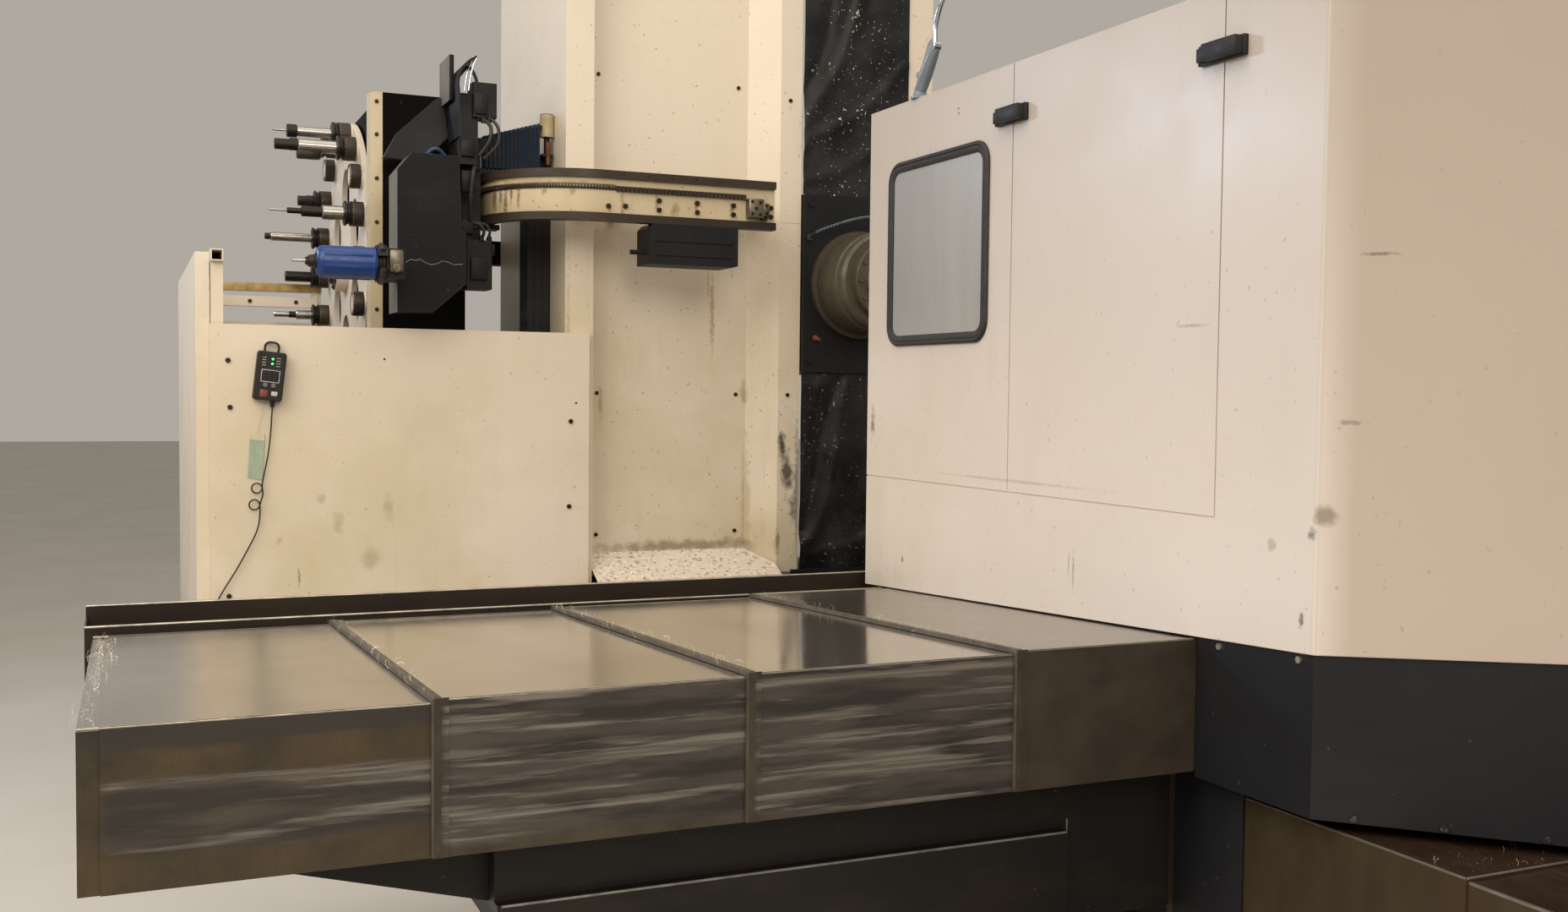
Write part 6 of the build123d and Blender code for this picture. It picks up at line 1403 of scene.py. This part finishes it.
class MILL_OT_enclosure(bpy.types.Operator):
    """Rounds the enclosure's folds and fits its sill, latch blocks, window and work lamp"""
    bl_idname = "mill.enclosure"
    bl_label = "Enclosure fittings"

    def execute(self, context):
        size = context.scene.mill_sizes
        radius = size.wall_radius / MM

        def foot(y):
            return cover_z(y) + 22

        corners = bmesh.new()
        inset = radius - 0.8
        for x, y, dx, dy in (
            (WALL_X, WALL_CORNER_Y, 1, 0.41), (WALL_X + WALL_CHAMFER, WALL_FRONT_Y, 0.41, 1),
            (WALL_RIGHT_X, WALL_CORNER_Y, -1, 0.41), (WALL_RIGHT_X - WALL_CHAMFER, WALL_FRONT_Y, -0.41, 1),
        ):
            spot = (x + dx * inset, y + dy * inset)
            pipe(corners, [(*spot, foot(y) + 1), (*spot, WALL_TOP - 1)], radius, 20)
        settle("enclosure_corner_folds", corners, "enclosure enamel", "table_slide")

        blocks = bmesh.new()
        for y in (50, -715):
            block(blocks, (WALL_X - 12, y - 67, 2176), (WALL_X + 1, y + 67, 2216), 1.5)
            block(blocks, (WALL_X - 34, y - 66, 2179), (WALL_X - 10, y + 34, 2213), 2.5)
            block(blocks, (WALL_X - 20, y + 30, 2182), (WALL_X - 10, y + 64, 2210), 2)
            for dy in (-56, 56):
                turned(blocks, (WALL_X - 11, y + dy, 2196), (-1, 0, 0),
                       [(0, 5), (3, 5), (4, 3.6), (4, 0)], 10)
        settle("latch_block_bodies", blocks, "black plastic", "table_slide",
               ("latch_blocks",))

        sill = bmesh.new()
        pipe(sill, [
            (WALL_X + 3.2, 808, foot(808) + 1.5), (WALL_X + 3.2, WALL_CORNER_Y, foot(WALL_CORNER_Y) + 1.5),
            (WALL_X + WALL_CHAMFER + 2, WALL_FRONT_Y + 3.2, foot(WALL_FRONT_Y) + 1.5),
        ], 3.0, 10)
        settle("enclosure_sill", sill, "enclosure enamel", "table_slide")

        # a round-backed rubber frame grips the pane and the sheet
        wide = size.gasket_width / MM
        frame_ring = bmesh.new()
        profile = (
            (0, -0.5), (0, 5), (2.5, 8.2), (7, 9.6), (11, 8.2), (12, 6.6), (13, 8.0), (wide * 0.8, 8.4),
            (wide, 5), (wide, -0.5),
        )
        rings = [
            [frame_ring.verts.new((WALL_X - proud, y, z)) for y, z in self.window_line(inset)]
            for inset, proud in profile
        ]
        skin(frame_ring, rings + rings[:1], ends=False)
        settle("window_frame_rubber", frame_ring, "black rubber", "table_slide",
               ("window_gasket",), crisp=50)
        pane = bmesh.new()
        slab(pane, self.window_line(wide - 3), 0, WALL_X - 2.5, WALL_X + 3)
        settle("window_sheet", pane, "hazed pane", "table_slide", ("window_pane",))

        # the lamp: a foot, a thick glossy sleeve with a plate behind it, a bent chromed tube and its head
        foot_spot = Vector((WALL_X + 15, 548, WALL_TOP))
        elbow = Vector((WALL_X + 15, 463, 2447))
        head_spot = Vector((WALL_X + 65, 423, 2646))
        arm = bmesh.new()
        turned(arm, foot_spot, (0, 0, 1),
               [(0, 26), (6, 26), (8, 22), (18, 17), (30, 16), (34, 14), (34, 0)], 24)
        line = bend([foot_spot + Vector((0, 0, 14)), foot_spot.lerp(elbow, 0.35) + Vector((0, 10, 4)),
                     foot_spot.lerp(elbow, 0.7) + Vector((0, 6, 4)), elbow])
        self.taper(arm, line, (13, 17, 19, 18.5, 16, 11))
        settle("lamp_arm_sleeve", arm, "lamp enamel", "table_slide", ("work_lamp",))
        tube = bmesh.new()
        pipe(tube, bend([
            elbow - Vector((0, -4, 8)), elbow + Vector((1, 6, 60)), elbow + Vector((4, -24, 122)),
            elbow + Vector((24, -36, 170)), head_spot,
        ]), 7.5, 16)
        turned(tube, elbow + Vector((-12, 0, 2)), (1, 0, 0),
               [(0, 0), (0, 9), (2, 11), (22, 11), (24, 9), (24, 0)], 18)
        settle("lamp_tube", tube, "chromed tube", "table_slide")
        plate = bmesh.new()
        slab(plate, [
            (600, WALL_TOP - 1), (560, WALL_TOP - 1), (536, 2376), (496, 2440), (482, 2466), (500, 2486),
            (532, 2472), (560, 2424), (584, 2364),
        ], 0, WALL_X + 27, WALL_X + 30)
        turned(plate, (WALL_X + 27, 566, 2392), (-1, 0, 0), [(0, 0), (0, 9), (10, 9), (12, 7), (12, 0)], 14)
        settle("lamp_back_plate", plate, "weathered plate", "table_slide")
        axis = Vector((0.96, -0.26, -0.07)).normalized()
        shade = bmesh.new()
        turned(shade, head_spot - axis * 22, axis, [
            (0, 0), (0, 26), (4, 31), (46, 33), (60, 36), (124, 46), (128, 47), (128, 43), (62, 30), (60, 0),
        ], 28)
        settle("lamp_head", shade, "lamp enamel", "table_slide")
        lens = bmesh.new()
        turned(lens, head_spot + axis * 96, axis, [(0, 0), (0, 42), (2, 42), (5, 30), (6, 0)], 28)
        settle("lamp_lens", lens, "lamp glass", "table_slide")
        return {"FINISHED"}

    @staticmethod
    def window_line(inset):
        """The window's rounded outline in the wall, drawn in by an amount."""
        low_y, high_y = WINDOW_Y[0] + WINDOW_BEND, WINDOW_Y[1] - WINDOW_BEND
        low_z, high_z = WINDOW_Z[0] + WINDOW_BEND, WINDOW_Z[1] - WINDOW_BEND
        bends = ((high_y, high_z, 0), (low_y, high_z, 90), (low_y, low_z, 180), (high_y, low_z, 270))
        return [
            (y + (WINDOW_BEND - inset) * cos(turn), z + (WINDOW_BEND - inset) * sin(turn))
            for y, z, start in bends for turn in (radians(start + 90 * step / 8) for step in range(9))
        ]

    @staticmethod
    def taper(mesh, line, radii):
        """A round bar along a line whose radius goes through the values given."""
        last = len(line) - 1
        rings = []
        for number, spot in enumerate(line):
            along = (line[min(last, number + 1)] - line[max(0, number - 1)]).normalized()
            side = along.cross(Vector((1, 0, 0))).normalized()
            other = along.cross(side)
            share = number / last * (len(radii) - 1)
            first = min(int(share), len(radii) - 2)
            radius = radii[first] + (radii[first + 1] - radii[first]) * (share - first)
            rings.append(ring(mesh, spot, side, other, radius, 18))
        skin(mesh, rings)


class MILL_OT_guard(bpy.types.Operator):
    """Lays the yellowed paint skin on the guard's rear rail and fits its bolts"""
    bl_idname = "mill.guard"
    bl_label = "Guard rails"

    def execute(self, context):
        coat = bmesh.new()
        block(coat, (-2428, 3918.6, 1933.8), (-1878, 3961.4, 1971.4), 2.5)
        settle("yellowed_rail", coat, "yellowed rail", "base")
        bolts = bmesh.new()
        for x in (-2380, -2180, -1985):
            turned(bolts, (x, 3910.5, 1889), (0, -1, 0), [(0, 0), (0, 9), (6, 9), (8, 6), (8, 0)], 6)
        for x, z in ((-1164, 1462), (-1857, 1611)):
            turned(bolts, (x, GUARD_FACE_Y + 0.4, z), (0, -1, 0),
                   [(0, 0), (0, 4), (1.2, 4), (1.6, 2), (1.6, 0)], 8)
        settle("guard_rail_bolts", bolts, "oiled screws", "base")
        return {"FINISHED"}


class MILL_OT_rail(bpy.types.Operator):
    """Cuts the rack's teeth along the changer's rail and fits its end block"""
    bl_idname = "mill.rail"
    bl_label = "Changer rail"

    def execute(self, context):
        size = context.scene.mill_sizes

        def path(proud):
            reach = RAIL_REACH + proud
            line = [Vector((-1088, RAIL_PIVOT_Y - reach, 0))]
            for step in range(25):
                turn = radians(90 * step / 24)
                line.append(Vector((RAIL_PIVOT_X - reach * sin(turn), RAIL_PIVOT_Y - reach * cos(turn), 0)))
            line.append(Vector((RAIL_PIVOT_X - reach, 2470, 0)))
            return line

        carrier = bpy.data.meshes.new("rack path")
        spots = [(spot + Vector((0, 0, 2232))) * MM for spot in path(4)]
        carrier.from_pydata(spots, [(n, n + 1) for n in range(len(spots) - 1)], [])
        teeth = grow(tooth_tree(), carrier, {
            "Pitch": size.tooth_pitch, "Tooth": 0.0055, "Height": 0.013, "Depth": 0.010,
            "Material": stock("track black"),
        })
        place_mesh("rack_teeth", teeth, "track black", "base")
        strip = bmesh.new()
        self.ribbon(strip, path(0.5), path(7), 2241, 2251)
        settle("rack_back", strip, "post paint", "base")
        lower = bmesh.new()
        self.ribbon(lower, path(0.3), path(3), 2222, 2229)
        settle("rack_foot", lower, "track black", "base")

        end = bmesh.new()
        block(end, (-585, 1993.5, 2152), (-525, 2028, 2222), 2.5)
        block(end, (-524, 2002, 2160), (-499, 2028, 2208), 2)
        settle("rail_end_block", end, "cast aluminium", "base")
        holes = bmesh.new()
        for x, z in ((-572, 2210), (-539, 2208), (-571, 2166), (-540, 2164), (-556, 2186)):
            turned(holes, (x, 1993.8, z), (0, -1, 0), [(0, 0), (0, 6.5), (1.2, 6.5), (1.2, 3), (0.4, 0)], 12)
        for x, z in ((-512, 2200), (-512, 2172)):
            turned(holes, (x, 2002.4, z), (0, -1, 0), [(0, 0), (0, 6), (3, 6), (4, 4), (4, 0)], 12)
        for x in range(-1060, -600, 92):
            turned(holes, (x, 2015.2, 2277), (0, -1, 0), [(0, 0), (0, 4), (0.8, 4), (1, 2), (1, 0)], 10)
        settle("rail_end_screws", holes, "oiled screws", "base")
        return {"FINISHED"}

    @staticmethod
    def ribbon(mesh, inner, outer, low, high):
        """A flat bar of one height that follows the rail between two lines."""
        corners = ((0, low), (1, low), (1, high), (0, high))
        skin(mesh, [
            [mesh.verts.new((pair[side].x, pair[side].y, z)) for side, z in corners]
            for pair in zip(inner, outer)
        ])


class MILL_OT_magazine(bpy.types.Operator):
    """Turns the tool holders, pots and fittings of the tool magazine"""
    bl_idname = "mill.magazine"
    bl_label = "Tool magazine"

    # each tool's angle round the disc, and the steps of its body: steel, far end and radius
    TOOLS = (
        (18, (("bright", 110, 27), ("dark", 185, 20), ("dark", 236, 11), ("bright", 300, 4.5))),
        (54, (("bright", 176, 26), ("dark", 262, 21))),
        (72, (("bright", 165, 20), ("dark", 202, 26), ("bright", 255, 4.5))),
        (108, (("bright", 120, 24), ("dark", 160, 26), ("bright", 210, 6))),
        (144, (("dark", 64, 25), ("dark", 98, 22))),
        (162, (("bright", 204, 19), ("dark", 229, 14))),
        (180, (("dark", 142, 23),)),
        (198, (("bright", 100, 20), ("dark", 130, 14), ("bright", 192, 12))),
        (234, (("bright", 120, 28), ("dark", 200, 18))),
        (252, (("bright", 100, 22), ("dark", 190, 12))),
        (288, (("bright", 140, 22), ("dark", 240, 10))),
    )

    def execute(self, context):
        steels = {"bright": bmesh.new(), "dark": bmesh.new()}
        for angle, steps in self.TOOLS:
            spot = self.on_disc(POT_CIRCLE, radians(angle))
            # flange with its grip groove, then the steps of the body, each with a small chamfer
            turned(steels["dark"], spot, (-1, 0, 0), [
                (0, 36), (0, 47), (8, 47), (12, 40), (18, 40), (22, 47), (30, 47), (32, 42), (34, 30),
                (34, 0),
            ], 22)
            begin = 33
            for steel, stop, radius in steps:
                turned(steels[steel], spot, (-1, 0, 0), [
                    (begin, 0), (begin, radius - 1), (begin + 1, radius), (stop - 3, radius),
                    (stop, max(radius - 3, radius * 0.5)), (stop, 0),
                ], 24)
                begin = stop - 1
            if angle == 54:
                block(steels["dark"], (POT_FACE_X - 180, spot[1] - 24, spot[2] - 50),
                      (POT_FACE_X - 90, spot[1] + 24, spot[2] - 16), 7)
        settle("magazine_holders", steels["bright"], "toolholder steel", "tool_magazine",
               ("magazine_tools",))
        settle("magazine_flanges", steels["dark"], "blackened steel", "tool_magazine")
        pots = bmesh.new()
        for number in range(20):
            spot = self.on_disc(POT_CIRCLE, 2 * pi * number / 20)
            turned(pots, spot, (-1, 0, 0),
                   [(-40, 0), (-40, 47), (-4, 47), (1.5, 44), (1.5, 36), (-6, 34), (-6, 0)], 20)
        turned(pots, (POT_FACE_X + 4, MAGAZINE_Y, MAGAZINE_Z), (-1, 0, 0), [
            (-2, 0), (-2, 92), (6, 88), (8, 60), (26, 56), (30, 30), (34, 28), (36, 0),
        ], 32)
        for number in range(8):
            spot = self.on_disc(76, 2 * pi * number / 8)
            turned(pots, spot, (-1, 0, 0), [(0, 0), (0, 7), (9, 7), (11, 5), (11, 0)], 6)
        settle("magazine_pots", pots, "track black", "tool_magazine")
        edge = bmesh.new()
        for z in (1480, 1640, 1800, 1960, 2120, 2280, 2440, 2560):
            turned(edge, (MAGAZINE_X, 2550.5, z), (0, -1, 0), [(0, 0), (0, 8), (4, 8), (5.5, 5), (5.5, 0)], 6)
        settle("edge_plate_bolts", edge, "track black", "base")
        return {"FINISHED"}

    @staticmethod
    def on_disc(radius, turn):
        """A place on the pots' faces, a way out from the disc's centre and a turn round it."""
        return (POT_FACE_X, MAGAZINE_Y - radius * cos(turn), MAGAZINE_Z + radius * sin(turn))


class MILL_OT_changer(bpy.types.Operator):
    """Adds hoses, connectors, rollers and the gripper's fittings to the tool changer"""
    bl_idname = "mill.changer"
    bl_label = "Tool changer"

    def execute(self, context):
        hoses = bmesh.new()
        for points, radius in (
            ([(-1512, 2236, 2470), (-1494, 2206, 2440), (-1500, 2200, 2390), (-1530, 2220, 2340)], 7),
            ([(-1490, 2236, 2478), (-1466, 2214, 2440), (-1470, 2208, 2380), (-1515, 2226, 2330)], 6),
            ([(-1545, 2236, 2300), (-1560, 2190, 2270), (-1570, 2188, 2180), (-1566, 2214, 2110)], 7),
            ([(-1524, 2248, 2046), (-1512, 2232, 2066), (-1524, 2232, 2094), (-1556, 2244, 2104)], 6),
            ([(-1496, 2252, 2046), (-1490, 2236, 2070), (-1502, 2236, 2096), (-1536, 2250, 2106)], 5),
            ([(-1596, 2262, 2620), (-1566, 2240, 2650), (-1540, 2236, 2610), (-1534, 2244, 2560)], 6),
        ):
            pipe(hoses, bend(points), radius, 10)
        settle("changer_hoses", hoses, "black rubber", "tool_changer")
        blue = bmesh.new()
        pipe(blue, bend([
            (-1716, 2240, 2330), (-1690, 2232, 2352), (-1664, 2234, 2346), (-1640, 2246, 2318),
        ]), 7, 10)
        settle("changer_air_hoses", blue, "chain plastic", "tool_changer")
        gleam = bmesh.new()
        for start_x, offset in ((-1541, 0), (-1552, 18)):
            pipe(gleam, bend([
                (start_x, 2203 + offset, 2684), (start_x - 16, 2202 + offset, 2650),
                (start_x - 26, 2201 + offset, 2610), (start_x - 33, 2201 + offset, 2560),
            ]), 3.2, 8)
        settle("shield_edge_tubes", gleam, "chromed tube", "tool_changer")
        brace = bmesh.new()
        slab(brace, [
            (-1622, 2566), (-1650, 2560), (-1786, 2430), (-1836, 2335), (-1700, 2328), (-1605, 2424),
        ], 1, 2402, 2452)
        bmesh.ops.bevel(brace, geom=brace.edges[:], offset=3, segments=2, affect="EDGES", clamp_overlap=True)
        # the brace takes the lighter slate paint, not the changer's satin black: painted light that sets it
        # off from the dark frame behind
        settle("changer_brace", brace, "slate paint", "tool_changer")
        side = bmesh.new()
        block(side, (-1630, 2262, 2533), (-1613, 2440, 2694), 2)
        settle("mast_side_plate", side, "black with painted side light", "tool_changer")
        scratch = bmesh.new()
        pipe(scratch, [(x, 2130.4, z) for x, z in (
            (-1804, 1942), (-1788, 1953), (-1772, 1950), (-1755, 1955), (-1739, 1945), (-1720, 1938),
            (-1699, 1941), (-1680, 1952), (-1658, 1949), (-1640, 1941), (-1609, 1944),
        )], 1.5, 6)
        settle("cover_scratch", scratch, "scratched primer", "tool_changer")
        jaw = bmesh.new()
        block(jaw, (-1884, 1974, 1893), (-1834, 2012, 1972), 12)
        turned(jaw, (-1858, 1975, 1908), (0, -1, 0), [(-2, 0), (-2, 15), (3, 15), (6, 11), (6, 0)], 18)
        settle("gripper_jaw", jaw, "cast aluminium", "tool_changer")
        fittings = bmesh.new()
        for low, high in (
            ((-1548, 2222, 2486), (-1500, 2234, 2560)), ((-1590, 2236, 2336), (-1544, 2252, 2396)),
            ((-1560, 2222, 1900), (-1500, 2238, 1980)), ((-1590, 2240, 2210), (-1540, 2262, 2286)),
            ((-1595, 2216, 2060), (-1552, 2242, 2110)), ((-1488, 2240, 1990), (-1470, 2330, 2030)),
        ):
            block(fittings, low, high, 3)
        for x, y, z, radius in (
            (-1512, 2236, 2470, 11), (-1490, 2236, 2478, 10), (-1520, 2240, 2048, 10), (-1490, 2244, 2048, 9),
        ):
            turned(fittings, (x, y, z - 12), (0, 0, 1),
                   [(0, 0), (0, radius), (18, radius), (22, radius * 0.7), (22, 0)], 12)
        for z in (2300, 2090):
            for y in (2356, 2404):
                turned(fittings, (-1518, y, z), (0, 0, 1),
                       [(0, 0), (0, 20), (3, 22), (13, 22), (16, 20), (16, 0)], 20)
        settle("changer_fittings", fittings, "satin black", "tool_changer")
        # the carriage cover's sheet has its edges turned back
        fold = bmesh.new()
        outline = [(-1830, 1772), (-1830, 2258), (-1782, 2319), (-1623, 2314), (-1614, 2057), (-1599, 2057),
                   (-1599, 1876), (-1713, 1775)]
        for first, second in zip(outline, outline[1:] + outline[:1]):
            pipe(fold, [(x * 0.998 - 3, 2132.6, z) for x, z in (first, second)], 3.0, 8)
        settle("carriage_cover_folds", fold, "satin black", "tool_changer")
        grip = bmesh.new()
        for turn_from in (200, 20):
            turns = [radians(turn_from + 15 * step) for step in range(9)]
            pipe(grip, [(-1903, TOOL_Y + 60 * cos(turn), TOOL_Z + 60 * sin(turn)) for turn in turns], 11, 10)
        block(grip, (-1894, 2046, 1888), (-1826, 2150, 1962), 5)
        turned(grip, (-1902, 2092, TOOL_Z), (0, -1, 0),
               [(0, 0), (0, 20), (6, 22), (22, 22), (26, 16), (26, 0)], 20)
        settle("gripper_fingers", grip, "track black", "tool_changer")
        # the tool in the gripper: a blue sleeve between its black flange and its nut and drill
        sleeve = bmesh.new()
        turned(sleeve, (-1921, TOOL_Y, TOOL_Z), (-1, 0, 0), [
            (0, 0), (0, 53), (4, 55), (10, 55), (12, 53.6), (168, 53.6), (178, 51), (186, 45), (190, 38),
            (190, 30), (186, 28), (186, 0),
        ], 44)
        for turn in (35, 155, 275):
            lean = radians(turn)
            block(sleeve, (-2088, TOOL_Y + 51 * cos(lean) - 5, TOOL_Z + 51 * sin(lean) - 5),
                  (-1934, TOOL_Y + 51 * cos(lean) + 5, TOOL_Z + 51 * sin(lean) + 5), 2.5)
        settle("blue_sleeve", sleeve, "blue plastic", "tool_changer", ("gripped_tool",))
        flange = bmesh.new()
        turned(flange, (-1890, TOOL_Y, TOOL_Z), (-1, 0, 0), [
            (0, 0), (0, 40), (6, 48), (12, 48), (16, 42), (22, 42), (26, 48), (32, 48), (32, 0),
        ], 32)
        turned(flange, (-2104, TOOL_Y, TOOL_Z), (-1, 0, 0), [
            (0, 0), (0, 27), (12, 26), (16, 22), (30, 20), (36, 14), (42, 12), (42, 0),
        ], 12)
        settle("tool_flange", flange, "blackened steel", "tool_changer")
        nose = bmesh.new()
        turned(nose, (-2144, TOOL_Y, TOOL_Z), (-1, 0, 0),
               [(0, 0), (0, 7), (4, 5.4), (41, 5), (45, 2), (45, 0)], 14)
        settle("tool_nose", nose, "toolholder steel", "tool_changer")
        return {"FINISHED"}


class MILL_OT_stage(bpy.types.Operator):
    """Sets the pale floor, the soft studio lights and the camera of the photo's view"""
    bl_idname = "mill.stage"
    bl_label = "Stage"

    def execute(self, context):
        scene = context.scene
        tree, shader, place = open_finish("stage floor")
        dust = pattern(tree, place, 900, 0.3, 0.7, detail=3)
        close_finish(tree, shader, {"Base Color": over(tree, "#B9B5AE", "#C2BEB7", dust), "Roughness": 0.75})
        floor = bpy.data.meshes.new("stage_floor")
        reach = 40
        floor.from_pydata([
            (-reach, -reach, 0), (reach, -reach, 0), (reach, reach, 0), (-reach, reach, 0),
        ], [], [(0, 1, 2, 3)])
        floor.materials.append(stock("stage floor"))
        show("stage_floor", floor)

        world = bpy.data.worlds.new("studio")
        scene.world = world
        world.use_nodes = True
        backdrop = world.node_tree.nodes["Background"]
        backdrop.inputs["Color"].default_value = linear("#EEE6DB")
        backdrop.inputs["Strength"].default_value = 0.5
        for name, spot, target, wide, power, shade in (
            ("key_light", (-4.7, -0.7, 4.4), (-0.7, 0.4, 1.2), 4.0, 178, "#FFF6EA"),
            ("top_light", (-0.5, 0.5, 8.0), (-0.5, 0.5, 0), 7.0, 215, "#FFF6EA"),
            ("front_light", (-2.5, -10.0, 6.5), (-1.2, 2.2, 1.4), 5.0, 430, "#FFF1E0"),
            ("wall_glow", (-4.7, 4.45, 3.3), (-0.69, -0.55, 2.1), 0.6, 50, "#CFE2FF"),
        ):
            data = bpy.data.lights.new(name, "AREA")
            data.size = wide
            data.energy = power
            data.color = linear(shade)[:3]
            light = show(name, data)
            light.location = spot
            light.rotation_euler = (Vector(target) - Vector(spot)).to_track_quat("-Z", "Y").to_euler()

        # the photo's camera, solved from its straight edges; the focal length is in the photo's pixels
        focal, across = 1752.7, 1856
        eye = (-2.690, -3.071, 1.513)
        yaw, pitch, roll = radians(24.01), radians(2.49), -0.0110
        ahead = Vector((sin(yaw) * cos(pitch), cos(yaw) * cos(pitch), -sin(pitch)))
        sideways = Vector((cos(yaw), -sin(yaw), 0))
        down = ahead.cross(sideways)
        right = sideways * cos(roll) + down * sin(roll)
        low = down * cos(roll) - sideways * sin(roll)
        data = bpy.data.cameras.new("photo_camera")
        data.sensor_fit = "HORIZONTAL"
        data.sensor_width = 36
        data.lens = focal * data.sensor_width / across
        data.clip_end = 200
        facing = Matrix((right, -low, -ahead)).transposed().to_4x4()
        scene.camera = show("photo_camera", data)
        scene.camera.matrix_world = Matrix.Translation(eye) @ facing
        scene.view_settings.view_transform = "Standard"
        return {"FINISHED"}


class MILL_PT_panel(bpy.types.Panel):
    """Lists the mill's steps, colours and sizes"""
    bl_idname = "MILL_PT_panel"
    bl_label = "Boring Mill"
    bl_space_type = "VIEW_3D"
    bl_region_type = "UI"
    bl_category = "Boring Mill"

    def draw(self, context):
        for step in STEPS:
            self.layout.operator(step.bl_idname)
        for group in (context.scene.mill_colours, context.scene.mill_sizes):
            box = self.layout.box()
            for name in group.__annotations__:
                box.prop(group, name)


STEPS = (
    MILL_OT_finishes, MILL_OT_stage, MILL_OT_pendant, MILL_OT_curtains, MILL_OT_chain, MILL_OT_covers,
    MILL_OT_enclosure, MILL_OT_guard, MILL_OT_rail, MILL_OT_head, MILL_OT_magazine, MILL_OT_changer,
    MILL_OT_chips,
)
CLASSES = (MillColours, MillSizes, *STEPS, MILL_PT_panel)


def register():
    for kind in CLASSES:
        bpy.utils.register_class(kind)
    bpy.types.Scene.mill_colours = PointerProperty(type=MillColours)
    bpy.types.Scene.mill_sizes = PointerProperty(type=MillSizes)


def unregister():
    del bpy.types.Scene.mill_sizes
    del bpy.types.Scene.mill_colours
    for kind in reversed(CLASSES):
        bpy.utils.unregister_class(kind)


def main():
    """Runs every step in order."""
    register()
    for step in STEPS:
        group, name = step.bl_idname.split(".")
        getattr(getattr(bpy.ops, group), name)()
    bpy.context.view_layer.update()


if __name__ == "__main__":
    main()
